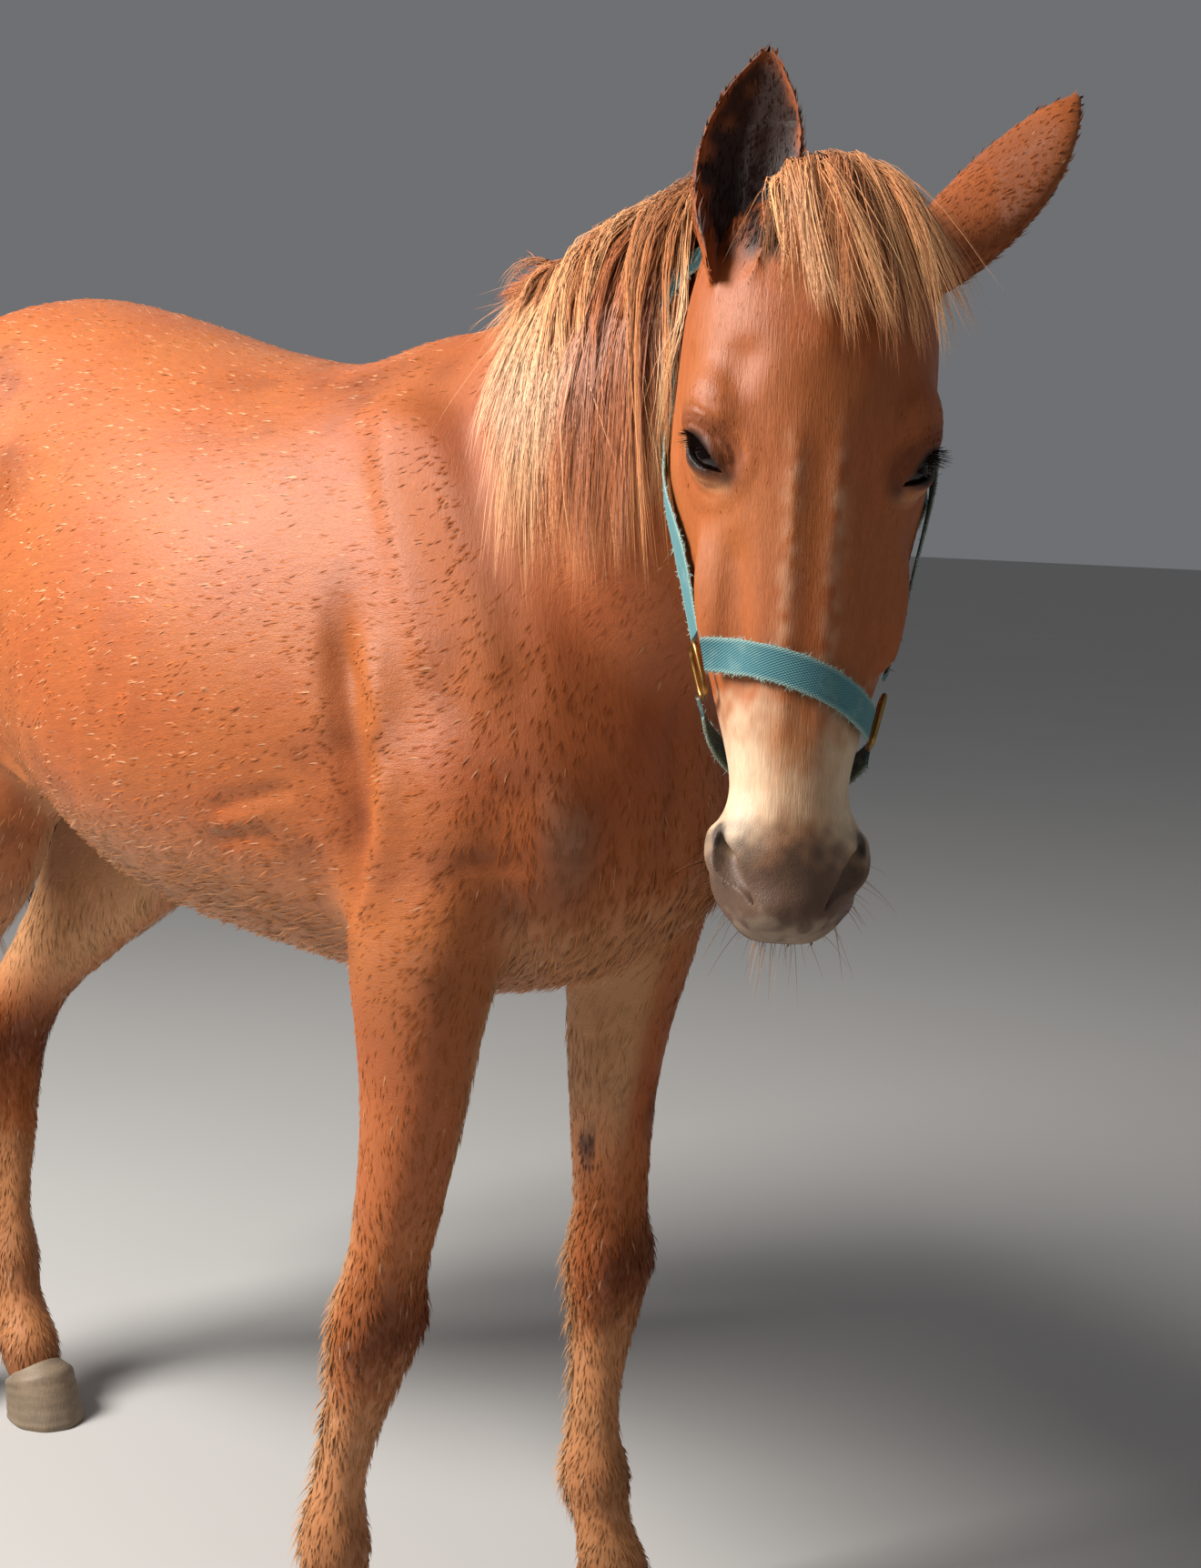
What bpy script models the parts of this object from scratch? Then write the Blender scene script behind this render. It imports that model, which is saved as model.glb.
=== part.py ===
"""A life-size mule standing with its head turned to its right, wearing a webbing halter.

Metres, +Z up, +X towards the animal's chest, +Y to its left. The body is modelled as overlapping lofts and
muscle forms, fused and smoothed as one, and parted by thin cuts into the pieces that a person would name.
Mane, forelock and tail are flat tapered locks fused to the neck, the head and the dock.
"""

import math
from random import Random

import bmesh
import bpy
import numpy as np
from mathutils import Matrix, Vector
from mathutils.bvhtree import BVHTree

# Driving dimensions of the animal
WITHERS_HEIGHT = 1.40
TRUNK_LENGTH = 1.33
TRUNK_REAR = -0.70
BARREL_HALF_WIDTH = 0.285
HEAD_LENGTH = 0.615
EYE_RADIUS = 0.0235
MANE_LENGTH = 0.310
FORELOCK_LENGTH = 0.185
TAIL_HAIR_LENGTH = 0.600
WEB_WIDTH = 0.027
WEB_THICKNESS = 0.003

# How the pieces are parted and how fine they are
GAP = 0.0004
BODY_VOXEL = 0.0085
HEAD_VOXEL = 0.0045
SEED = 7
BODY_TRIANGLES = 4600
HEAD_TRIANGLES = 2200
STRAP_STEP = 0.014
STRAP_CLEARANCE = 0.0012
# A point of each parting cut and the way it faces (the fore cut on the left side)
NECK_CUT = ((0.48, 0.0, 1.20), (0.859, 0.0, 0.512))
HIND_CUT = ((-0.46, 0.0, 0.855), (0.504, 0.0, 0.864))
FORE_CUT = ((0.435, 0.170, 0.785), (0.0, -0.6, 0.8))
# Half length and half width of each parting plate
NECK_CUT_SIZE = (0.30, 0.34)
HIND_CUT_SIZE = (0.34, 0.36)
THIGH_CUT_SIZE = (0.15, 0.34)
FORE_CUT_SIZE = (0.20, 0.145)
# Rounds of smoothing of the body, the head and its lids, and how the smoothing fades down the legs: from this
# height, over this much above it, to no less than this share
BODY_ROUNDS = 22
HEAD_ROUNDS = 14
LID_ROUNDS = 3
LEG_SOFTNESS = (0.55, 0.15, 0.12)
# How square the sections are where their tables don't say: the neck's crest and throat, the jaw and the legs
NECK_SQUARENESS = (1.65, 1.9)
JAW_SQUARENESS = 2.1
LEG_SQUARENESS = 2.1
# The knob at the point of the hock: height of its middle, place behind the joint, half lengths and tilt
HOCK_HEIGHT = 0.555
HOCK_BEHIND = (-0.046, 0, 0.0)
HOCK_RADII = (0.026, 0.022, 0.050)
HOCK_TILT = 12
# Rings along each loft and sides round it
TRUNK_GRID = (41, 48)
NECK_GRID = (25, 40)
HEAD_GRID = (41, 40)
LEG_GRID = (49, 28)
LOOKS = {
    "coat": ((0.55, 0.19, 0.055), 0.55),
    "hair": ((0.72, 0.42, 0.16), 0.60),
    "hoof": ((0.18, 0.15, 0.125), 0.50),
    "eye": ((0.02, 0.010, 0.006), 0.05),
    "webbing": ((0.045, 0.22, 0.21), 0.80),
    "brass": ((0.72, 0.55, 0.25), 0.30, 1.0),
}

# The trunk from the buttock to the breast, each row in shares of the driving dimensions:
# place along the trunk, height of the back, of the widest level and of the belly, half width,
# and how square the upper and the lower half are (2 is an ellipse, less makes a ridge)
TRUNK = (
    (0.000, 0.850, 0.800, 0.750, 0.12, 2.0, 2.0),
    (0.050, 0.940, 0.810, 0.680, 0.46, 2.1, 2.0),
    (0.140, 1.020, 0.830, 0.630, 0.76, 2.2, 2.0),
    (0.250, 1.044, 0.825, 0.610, 0.84, 2.1, 2.0),
    (0.360, 1.030, 0.780, 0.590, 0.88, 2.0, 2.1),
    (0.540, 0.992, 0.730, 0.548, 1.00, 2.0, 2.2),
    (0.680, 0.980, 0.730, 0.532, 0.93, 1.9, 2.1),
    (0.790, 1.000, 0.730, 0.528, 0.78, 1.6, 2.1),
    (0.880, 0.960, 0.715, 0.540, 0.66, 1.8, 2.1),
    (0.950, 0.880, 0.700, 0.570, 0.50, 2.0, 2.1),
    (1.000, 0.760, 0.690, 0.625, 0.20, 2.0, 2.0),
)

# The neck from inside the shoulders to the poll: centre, half depth and half width
NECK = (
    ((0.34, 0.000, 1.140), 0.245, 0.130),
    ((0.48, 0.000, 1.210), 0.225, 0.118),
    ((0.60, -0.004, 1.285), 0.188, 0.096),
    ((0.71, -0.022, 1.348), 0.153, 0.080),
    ((0.79, -0.055, 1.385), 0.122, 0.074),
)

# The head hangs from the poll: its place, its turn to the right, the nose's way forwards, and its roll
POLL = Vector((0.834, -0.068, 1.498))
HEAD_TURN = math.radians(-43.0)
NOSE_FORWARD = math.radians(14.0)
HEAD_ROLL = math.radians(-2.5)

# The head from the poll to the lips, in shares of its length: place down the face, how far the face line and
# the jaw line stand from the head's axis, half width, where the widest level lies, and how square the face is
HEAD = (
    (0.000, 0.000, -0.055, 0.052, -0.030, 2.0),
    (0.025, 0.040, -0.095, 0.100, -0.030, 2.0),
    (0.080, 0.085, -0.140, 0.138, -0.030, 2.1),
    (0.160, 0.118, -0.185, 0.162, -0.035, 2.2),
    (0.280, 0.134, -0.255, 0.172, -0.050, 2.3),
    (0.360, 0.130, -0.285, 0.174, -0.078, 2.2),
    (0.470, 0.118, -0.268, 0.156, -0.085, 2.0),
    (0.600, 0.102, -0.185, 0.126, -0.055, 2.1),
    (0.720, 0.090, -0.125, 0.094, -0.030, 2.3),
    (0.820, 0.084, -0.108, 0.076, -0.010, 2.4),
    (0.905, 0.080, -0.118, 0.098, -0.010, 2.4),
    (0.965, 0.060, -0.095, 0.074, -0.012, 2.3),
    (1.000, 0.024, -0.050, 0.045, -0.014, 2.0),
)

# Fore legs: height, half depth fore and aft, half width; the places come from the joints below
FORE_SECTIONS = (
    (0.950, 0.110, 0.062),
    (0.820, 0.088, 0.066),
    (0.700, 0.066, 0.052),
    (0.560, 0.046, 0.042),
    (0.480, 0.042, 0.040),
    (0.430, 0.047, 0.047),
    (0.385, 0.040, 0.039),
    (0.310, 0.033, 0.026),
    (0.230, 0.033, 0.026),
    (0.188, 0.041, 0.035),
    (0.135, 0.032, 0.030),
    (0.080, 0.040, 0.040),
    (0.035, 0.030, 0.030),
)
# Hind legs, the same
HIND_SECTIONS = (
    (1.100, 0.200, 0.090),
    (0.950, 0.220, 0.100),
    (0.880, 0.192, 0.092),
    (0.800, 0.146, 0.078),
    (0.690, 0.094, 0.058),
    (0.590, 0.060, 0.043),
    (0.520, 0.058, 0.044),
    (0.445, 0.045, 0.038),
    (0.350, 0.035, 0.028),
    (0.240, 0.035, 0.028),
    (0.198, 0.043, 0.036),
    (0.140, 0.033, 0.031),
    (0.080, 0.040, 0.040),
    (0.035, 0.030, 0.030),
)
# Where each leg's joints stand: x and y at each of the heights named in its row
FORE_JOINT_HEIGHTS = (0.95, 0.80, 0.65, 0.43, 0.188, 0.035)
HIND_JOINT_HEIGHTS = (1.10, 0.95, 0.80, 0.69, 0.52, 0.36, 0.198, 0.035)
LEGS = {
    "foreleg_right": (
        (0.455, -0.135), (0.452, -0.152), (0.440, -0.153), (0.388, -0.150), (0.338, -0.160), (0.385, -0.170)
    ),
    "foreleg_left": (
        (0.455, 0.135), (0.425, 0.152), (0.406, 0.152), (0.406, 0.152), (0.398, 0.148), (0.450, 0.146)
    ),
    "hindleg_right": (
        (-0.47, -0.125), (-0.44, -0.145), (-0.440, -0.155), (-0.525, -0.150),
        (-0.675, -0.138), (-0.668, -0.145), (-0.660, -0.150), (-0.585, -0.158)
    ),
    "hindleg_left": (
        (-0.47, 0.125), (-0.45, 0.130), (-0.450, 0.115), (-0.520, 0.080),
        (-0.628, 0.035), (-0.612, 0.016), (-0.592, 0.000), (-0.508, -0.008)
    ),
}

# Muscle and bone forms on each side: centre (y for the left side), half lengths, and how far the top leans
# forwards in degrees
SIDE_FORMS = {
    "shoulder blade": ((0.425, 0.112, 1.110), (0.130, 0.055, 0.240), -28),
    "upper arm": ((0.445, 0.140, 0.950), (0.120, 0.068, 0.125), 25),
    "breast": ((0.535, 0.075, 0.955), (0.082, 0.085, 0.145), -8),
    "thigh": ((-0.475, 0.120, 1.090), (0.205, 0.110, 0.250), -16),
    "point of hip": ((-0.300, 0.180, 1.270), (0.080, 0.048, 0.050), 20),
    "stifle": ((-0.335, 0.145, 0.895), (0.066, 0.060, 0.105), -20),
}

# Forms of the head, each centre down the face from the poll, out of the face and to the left, with half
# lengths out of the face, across and down it
HEAD_SIDE_FORMS = {
    "cheek": ((0.215, -0.085, 0.068), (0.070, 0.036, 0.090)),
    "facial crest": ((0.330, 0.012, 0.066), (0.020, 0.016, 0.075)),
    "brow": ((0.205, 0.022, 0.069), (0.044, 0.036, 0.046)),
    "nostril wing": ((0.548, 0.008, 0.047), (0.026, 0.015, 0.032)),
}
HEAD_MIDDLE_FORMS = {
    "upper lip": ((0.590, 0.022, 0.0), (0.030, 0.040, 0.024)),
    "chin": ((0.574, -0.032, 0.026), (0.030, 0.036, 0.028)),
}

# Eyes on the right: the middle of the slit on the skin, the way the eye looks, and the line of the slit, each
# as out of the face, to the left and up
EYE_AT = (0.243, 0.036, -0.085)
EYE_DEPTH = 0.0195
EYE_SIDES = 14
EYE_LOOK = Vector((0.53, -0.84, -0.05)).normalized()
EYE_SLIT = Vector((0.50, 0.38, -0.70)).normalized()
LID_THICKNESS = 0.0052
SLIT_HALF_LENGTH = 0.0250
SLIT_HALF_HEIGHT = 0.0105

NOSTRIL_AT = (0.548, 0.044, -0.049)
NOSTRIL_RADII = (0.016, 0.0075, 0.025)
NOSTRIL_TILT = math.radians(-20)

# The line between the lips from the right corner to the middle of the front
MOUTH_LINE = ((0.520, -0.032, -0.050), (0.555, -0.026, -0.052), (0.590, -0.016, -0.038), (0.612, -0.010, 0.0))
MOUTH_DEPTH = 0.0022

# Ears: root and tip in head space, the way the cup faces as out of the face, to the left and up, and how far
# the middle bows
EARS = {
    "ear_right": ((0.112, 0.044, -0.071), (-0.072, 0.062, -0.054), (0.96, -0.22, 0.0), (-0.006, -0.002, 0.0)),
    "ear_left": ((0.098, 0.000, 0.055), (-0.095, -0.030, 0.210), (-0.72, 0.10, -0.60), (0.0, 0.006, -0.008)),
}
# Sections of an ear: share of its length, half width, depth, half angle of the wall in degrees, thickness
EAR_SECTIONS = (
    (0.00, 0.026, 0.026, 150, 0.0150),
    (0.14, 0.030, 0.026, 135, 0.0070),
    (0.32, 0.040, 0.025, 108, 0.0040),
    (0.52, 0.046, 0.023, 92, 0.0036),
    (0.72, 0.041, 0.019, 84, 0.0034),
    (0.88, 0.026, 0.012, 80, 0.0030),
    (0.97, 0.011, 0.006, 80, 0.0026),
    (1.00, 0.005, 0.004, 80, 0.0022),
)

# Hooves: half length and half width on the ground and at the coronet, coronet height at the toe and the heel
HOOF_GROUND = (0.057, 0.050)
HOOF_CORONET = (0.046, 0.043)
HOOF_TOE_HEIGHT = 0.082
HOOF_HEEL_HEIGHT = 0.048
HOOF_SLOPE = 0.022

# The dock of the tail: place and radius
TAIL_DOCK = (
    ((-0.640, 0.000, 1.225), 0.038),
    ((-0.695, 0.000, 1.195), 0.034),
    ((-0.725, 0.004, 1.120), 0.029),
    ((-0.730, 0.012, 1.020), 0.021),
    ((-0.728, 0.020, 0.950), 0.010),
)

# Straps of the halter in head space, from end to end, and how far each hangs clear of the skin
RING_HALF_WIDTH = 0.014
RING_HALF_LENGTH = 0.021
RING_WIRE = 0.0022
RING_CLEAR = 0.0055
RINGS = {
    "right": ((0.406, -0.014, -0.078), (0.350, -0.024, -0.086)),
    "left": ((0.440, -0.010, 0.080), (0.380, -0.020, 0.084)),
}
STRAPS = {
    "noseband": (
        ((0.396, 0.018, -0.072), (0.401, 0.040, -0.058), (0.408, 0.060, -0.025), (0.418, 0.066, 0.008),
         (0.430, 0.056, 0.040), (0.440, 0.036, 0.060), (0.445, 0.012, 0.074)), 0.0026),
    "chin_strap": (
        ((0.434, -0.026, -0.074), (0.452, -0.048, -0.064), (0.472, -0.075, -0.038), (0.482, -0.090, 0.0),
         (0.484, -0.080, 0.035), (0.474, -0.052, 0.066), (0.464, -0.026, 0.078)), 0.0090),
    "headpiece": (
        ((0.378, -0.014, -0.083), (0.310, -0.026, -0.097), (0.250, -0.066, -0.102), (0.205, -0.108, -0.092),
         (0.150, -0.124, -0.080), (0.080, -0.112, -0.056), (0.032, -0.100, 0.0), (0.045, -0.096, 0.045),
         (0.100, -0.088, 0.078), (0.165, -0.074, 0.096), (0.235, -0.048, 0.104), (0.300, -0.030, 0.098),
         (0.402, -0.020, 0.084)), 0.0026),
    "throat_strap": (
        ((0.270, -0.118, -0.096), (0.290, -0.145, -0.080), (0.308, -0.176, -0.050), (0.315, -0.190, 0.0),
         (0.300, -0.165, 0.060), (0.270, -0.110, 0.100), (0.238, -0.072, 0.108)), 0.0030),
}

# Hair: how many locks, their length, width and thickness
MANE = (17, MANE_LENGTH, 0.048, 0.0085)
MANE_START = 0.40
MANE_REACH = 0.51
FORELOCK = (9, FORELOCK_LENGTH, 0.030, 0.0070)
TAIL = (8, TAIL_HAIR_LENGTH, 0.056, 0.0150)
ROOT_DEPTH = 0.010


def material(name, colour, roughness, metallic=0.0):
    made = bpy.data.materials.new(name)
    made.use_nodes = True
    shader = made.node_tree.nodes["Principled BSDF"]
    shader.inputs["Base Color"].default_value = (*colour, 1.0)
    shader.inputs["Roughness"].default_value = roughness
    shader.inputs["Metallic"].default_value = metallic
    made.diffuse_color = (*colour, 1.0)
    return made


def spline(knots, values, places):
    """A smooth curve through the values at the knots, read at the places: cubic, with neighbours' slopes."""
    knots, values = np.asarray(knots, float), np.asarray(values, float)
    if values.ndim == 1:
        return spline(knots, values[:, None], places)[:, 0]
    slopes = np.gradient(values, knots, axis=0)
    i = np.clip(np.searchsorted(knots, places, side="right") - 1, 0, len(knots) - 2)
    step = (knots[i + 1] - knots[i])[:, None]
    t = (np.asarray(places, float)[:, None] - knots[i][:, None]) / step
    return (
        (2 * t**3 - 3 * t**2 + 1) * values[i]
        + (t**3 - 2 * t**2 + t) * step * slopes[i]
        + (3 * t**2 - 2 * t**3) * values[i + 1]
        + (t**3 - t**2) * step * slopes[i + 1]
    )


def unit(vectors):
    return vectors / np.linalg.norm(vectors, axis=-1, keepdims=True)


def rings(centres, side, up, width, top, bottom, square_top, square_bottom, count):
    """Superellipse rings, one for each centre: width along side, top and bottom along up."""

    def column(value):
        return np.broadcast_to(np.asarray(value, float), (len(centres),))[:, None]

    angles = np.linspace(0, 2 * math.pi, count, endpoint=False)
    c, s = np.cos(angles), np.sin(angles)
    power = 2 / np.where(s >= 0, column(square_top), column(square_bottom))
    across = np.sign(c) * np.abs(c) ** power * column(width)
    along = np.sign(s) * np.abs(s) ** power * np.where(s >= 0, column(top), column(bottom))
    side = np.broadcast_to(side, centres.shape)
    up = np.broadcast_to(up, centres.shape)
    return centres[:, None] + across[..., None] * side[:, None] + along[..., None] * up[:, None]


def lofted(stack):
    """Vertices and faces of a closed tube through a stack of rings, with a fan at each end."""
    count, around = stack.shape[:2]
    points = np.concatenate([stack.reshape(-1, 3), [stack[0].mean(0)], [stack[-1].mean(0)]])
    row = np.arange(count - 1)[:, None] * around
    j = np.arange(around)[None]
    k = (j + 1) % around
    quads = np.stack([row + j, row + k, row + around + k, row + around + j], -1).reshape(-1, 4)
    first, last = count * around, count * around + 1
    end = (count - 1) * around
    faces = quads.tolist()
    faces += [[first, b, a] for a, b in zip(j[0].tolist(), k[0].tolist())]
    faces += [[last, end + a, end + b] for a, b in zip(j[0].tolist(), k[0].tolist())]
    return points, faces


def ball(centre, radii, tilt=0.0, turn=None, around=24):
    """Vertices and faces of an ellipsoid, tilted about +Y in degrees and then turned by a matrix."""
    levels = np.linspace(-math.pi / 2, math.pi / 2, around // 2 + 3)[1:-1]
    heights = np.stack([0 * levels, 0 * levels, np.sin(levels)], -1)
    stack = rings(heights, (1, 0, 0), (0, 1, 0), np.cos(levels), np.cos(levels), np.cos(levels), 2, 2, around)
    points, faces = lofted(stack)
    points[-2:] = [[0, 0, -1], [0, 0, 1]]
    matrix = Matrix.Rotation(math.radians(tilt), 3, "Y") @ Matrix.Diagonal(Vector(radii))
    if turn is not None:
        matrix = turn @ matrix
    return points @ np.array(matrix).T + np.array(centre), faces


def mesh_object(name, points, faces):
    mesh = bpy.data.meshes.new(name)
    mesh.from_pydata([tuple(p) for p in points], [], [tuple(f) for f in faces])
    body = bmesh.new()
    body.from_mesh(mesh)
    bmesh.ops.triangulate(body, faces=body.faces)
    bmesh.ops.recalc_face_normals(body, faces=body.faces)
    body.to_mesh(mesh)
    body.free()
    made = bpy.data.objects.new(name, mesh)
    bpy.context.scene.collection.objects.link(made)
    return made


def joined(name, pieces):
    """One object from several closed shapes that overlap."""
    points, faces, start = [], [], 0
    for piece_points, piece_faces in pieces:
        points.append(piece_points)
        faces += [[start + i for i in face] for face in piece_faces]
        start += len(piece_points)
    return mesh_object(name, np.concatenate(points), faces)


def baked(made):
    """Replaces an object's mesh with what its modifiers make of it."""
    graph = bpy.context.evaluated_depsgraph_get()
    mesh = bpy.data.meshes.new_from_object(made.evaluated_get(graph))
    body = bmesh.new()
    body.from_mesh(mesh)
    bmesh.ops.triangulate(body, faces=body.faces)
    body.to_mesh(mesh)
    body.free()
    made.modifiers.clear()
    old, made.data = made.data, mesh
    bpy.data.meshes.remove(old)
    return made


def places_of(mesh):
    points = np.empty(len(mesh.vertices) * 3, np.float32)
    mesh.vertices.foreach_get("co", points)
    return points.reshape(-1, 3).astype(float)


def normals_of(mesh):
    normals = np.empty(len(mesh.vertices) * 3, np.float32)
    mesh.vertex_normals.foreach_get("vector", normals)
    return normals.reshape(-1, 3).astype(float)


def set_places(mesh, points):
    mesh.vertices.foreach_set("co", points.astype(np.float32).ravel())
    mesh.update()


def relax(mesh, weights, rounds):
    """Moves each vertex half way to the mean of its neighbours, times its weight, a number of times."""
    edges = np.empty(len(mesh.edges) * 2, np.int32)
    mesh.edges.foreach_get("vertices", edges)
    a, b = edges.reshape(-1, 2).T
    points = places_of(mesh)
    count = np.bincount(np.concatenate([a, b]), minlength=len(points))[:, None]
    for _ in range(rounds):
        total = np.zeros_like(points)
        for axis in range(3):
            total[:, axis] = np.bincount(a, points[b, axis], len(points)) + np.bincount(
                b, points[a, axis], len(points)
            )
        points += 0.5 * weights[:, None] * (total / count - points)
    set_places(mesh, points)


def fused(name, pieces, voxel):
    """The overlapping pieces as one skin of even faces."""
    made = joined(name, pieces)
    remesh = made.modifiers.new("fuse", "REMESH")
    remesh.mode = "VOXEL"
    remesh.voxel_size = voxel
    return baked(made)


def thinned(made, triangles):
    """Fewer faces, so that the solid has about this many triangles."""
    made.data.calc_loop_triangles()
    ratio = triangles / len(made.data.loop_triangles)
    if ratio < 1:
        decimate = made.modifiers.new("thin", "DECIMATE")
        decimate.ratio = ratio
        decimate.use_collapse_triangulate = True
        baked(made)
    return made


def boolean(made, others, operation):
    """One Boolean of an object with several closed ones, which are then removed."""
    tools = bpy.data.collections.new("tools")
    bpy.context.scene.collection.children.link(tools)
    for other in others:
        bpy.context.scene.collection.objects.unlink(other)
        tools.objects.link(other)
    cut = made.modifiers.new("boolean", "BOOLEAN")
    cut.operation = operation
    cut.operand_type = "COLLECTION"
    cut.collection = tools
    cut.solver = "EXACT"
    cut.use_self = operation == "UNION"
    baked(made)
    for other in others:
        bpy.data.objects.remove(other)
    bpy.data.collections.remove(tools)
    return made


def islands(made):
    """The closed surfaces of a mesh as lists of face indices, largest first."""
    body = bmesh.new()
    body.from_mesh(made.data)
    body.faces.ensure_lookup_table()
    seen, groups = set(), []
    for face in body.faces:
        if face.index in seen:
            continue
        group, front = [], [face]
        seen.add(face.index)
        while front:
            here = front.pop()
            group.append(here.index)
            for edge in here.edges:
                for other in edge.link_faces:
                    if other.index not in seen:
                        seen.add(other.index)
                        front.append(other)
        groups.append(group)
    body.free()
    return sorted(groups, key=len, reverse=True)


def kept(made, faces):
    """The object with only these faces."""
    wanted = set(faces)
    body = bmesh.new()
    body.from_mesh(made.data)
    bmesh.ops.delete(body, geom=[f for f in body.faces if f.index not in wanted], context="FACES")
    body.to_mesh(made.data)
    body.free()
    return made


def whole(made):
    """Only the largest closed surface of an object."""
    return kept(made, islands(made)[0])


def slab(name, centre, normal, along, half_length, half_width):
    """A thin plate across a direction, its length along another, used to part two pieces."""
    normal = Vector(normal).normalized()
    along = (Vector(along) - normal * normal.dot(along)).normalized()
    axes = Matrix((along * half_length, normal.cross(along) * half_width, normal * GAP / 2)).transposed()
    flat = [(-1, -1), (1, -1), (1, 1), (-1, 1)]
    points = [axes @ Vector((x, y, z)) + Vector(centre) for z in (-1, 1) for x, y in flat]
    faces = [[3, 2, 1, 0], [4, 5, 6, 7]] + [[i, (i + 1) % 4, (i + 1) % 4 + 4, i + 4] for i in range(4)]
    return mesh_object(name, points, faces)


def finished(made, look, root, flat_angle=math.radians(40)):
    """Gives a node its look, its own origin in its middle, and its parent."""
    made.data.materials.clear()
    made.data.materials.append(look)
    made.data.shade_smooth()
    made.data.set_sharp_from_angle(angle=flat_angle)
    points = places_of(made.data)
    middle = (points.min(0) + points.max(0)) / 2
    set_places(made.data, points - middle)
    made.location = middle
    made.parent = root
    return made


def head_matrix():
    """Head space: X out of the face, Y to the animal's left, Z up the face from the lips to the poll."""
    turn = Matrix.Rotation(HEAD_TURN, 4, "Z")
    lean = Matrix.Rotation(-NOSE_FORWARD, 4, "Y")
    roll = Matrix.Rotation(HEAD_ROLL, 4, "X")
    return Matrix.Translation(POLL) @ turn @ roll @ lean


def head_place(down, out, left=0.0):
    """A point of the head: down the face from the poll, out of the face and to the left, in metres."""
    return head_matrix() @ Vector((out, left, -down))


def trunk_rings():
    rows = np.array(TRUNK)
    steps, around = TRUNK_GRID
    shares = np.linspace(0, 1, steps)
    top, wide, bottom, width, ridge, keel = spline(rows[:, 0], rows[:, 1:], shares).T
    centres = np.stack([TRUNK_REAR + shares * TRUNK_LENGTH, 0 * shares, wide * WITHERS_HEIGHT], -1)
    return rings(
        centres, (0, 1, 0), (0, 0, 1), width * BARREL_HALF_WIDTH,
        (top - wide) * WITHERS_HEIGHT, (wide - bottom) * WITHERS_HEIGHT, ridge, keel, around,
    )


def neck_axis(shares):
    """Centres, side and up directions, half depths and half widths along the neck."""
    centres = np.array([row[0] for row in NECK])
    sizes = np.array([row[1:] for row in NECK])
    knots = np.linspace(0, 1, len(NECK))
    middle = spline(knots, centres, shares)
    ahead = unit(spline(knots, centres, shares + 0.01) - spline(knots, centres, shares - 0.01))
    side = unit(np.cross((0, 0, 1), ahead))
    depth, width = spline(knots, sizes, shares).T
    return middle, side, np.cross(ahead, side), depth, width


def neck_rings():
    steps, around = NECK_GRID
    middle, side, up, depth, width = neck_axis(np.linspace(0, 1, steps))
    return rings(middle, side, up, width, depth, depth, *NECK_SQUARENESS, around)


def head_rings():
    rows = np.array(HEAD) * np.array([1, 1, 1, 1, 1, 1 / HEAD_LENGTH])
    steps, around = HEAD_GRID
    shares = np.linspace(0, 1, steps)
    face, jaw, width, wide, square = (spline(rows[:, 0], rows[:, 1:], shares) * HEAD_LENGTH).T
    to_world = np.array(head_matrix())
    centres = np.stack([wide, 0 * shares, -shares * HEAD_LENGTH], -1) @ to_world[:3, :3].T + to_world[:3, 3]
    return rings(
        centres, to_world[:3, 1], to_world[:3, 0],
        width, face - wide, wide - jaw, square, JAW_SQUARENESS, around,
    )


def leg_axis(name, heights):
    """The places of a leg's middle at these heights."""
    joints = FORE_JOINT_HEIGHTS if name.startswith("fore") else HIND_JOINT_HEIGHTS
    flat = spline(np.array(joints[::-1]), np.array(LEGS[name][::-1]), heights)
    return np.column_stack([flat, heights])


def leg_rings(name):
    rows = np.array(FORE_SECTIONS if name.startswith("fore") else HIND_SECTIONS)
    steps, around = LEG_GRID
    heights = np.linspace(rows[0, 0], rows[-1, 0], steps)
    depth, width = spline(rows[::-1, 0], rows[::-1, 1:], heights).T
    centres = leg_axis(name, heights)
    down = unit(leg_axis(name, heights - 0.01) - leg_axis(name, heights + 0.01))
    # Level rings at the foot, square to the leg above it
    down[-1] = (0, 0, -1)
    ahead = unit(np.cross((0, 1, 0), down) * (-1, -1, -1))
    return rings(centres, (0, 1, 0), ahead, width, depth, depth, LEG_SQUARENESS, LEG_SQUARENESS, around)


def side_balls():
    made = []
    for centre, radii, tilt in SIDE_FORMS.values():
        for side in (-1, 1):
            made.append(ball((centre[0], centre[1] * side, centre[2]), radii, tilt))
    return made


def hock_points():
    """The point of each hock, a bony knob behind the joint with the tendon above it."""
    made = []
    for name in ("hindleg_right", "hindleg_left"):
        hock = leg_axis(name, np.array([HOCK_HEIGHT]))[0]
        made.append(ball(hock + HOCK_BEHIND, HOCK_RADII, HOCK_TILT))
    return made


def body_solid():
    lofts = [lofted(trunk_rings()), lofted(neck_rings())]
    lofts += [lofted(leg_rings(name)) for name in LEGS]
    made = fused("body", lofts + side_balls() + hock_points(), BODY_VOXEL)
    height = places_of(made.data)[:, 2]
    start, over, least = LEG_SOFTNESS
    relax(made.data, np.clip((height - start) / over, least, 1.0), BODY_ROUNDS)
    return thinned(made, BODY_TRIANGLES)


def head_turn():
    """The turn of head space alone, from out, left and up to the world."""
    return head_matrix().to_3x3()


def eye_centre(side):
    down, out, left = EYE_AT
    look = Vector((EYE_LOOK.x, -side * EYE_LOOK.y, EYE_LOOK.z))
    return head_place(down, out, -side * left) - head_turn() @ look * EYE_DEPTH


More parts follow.
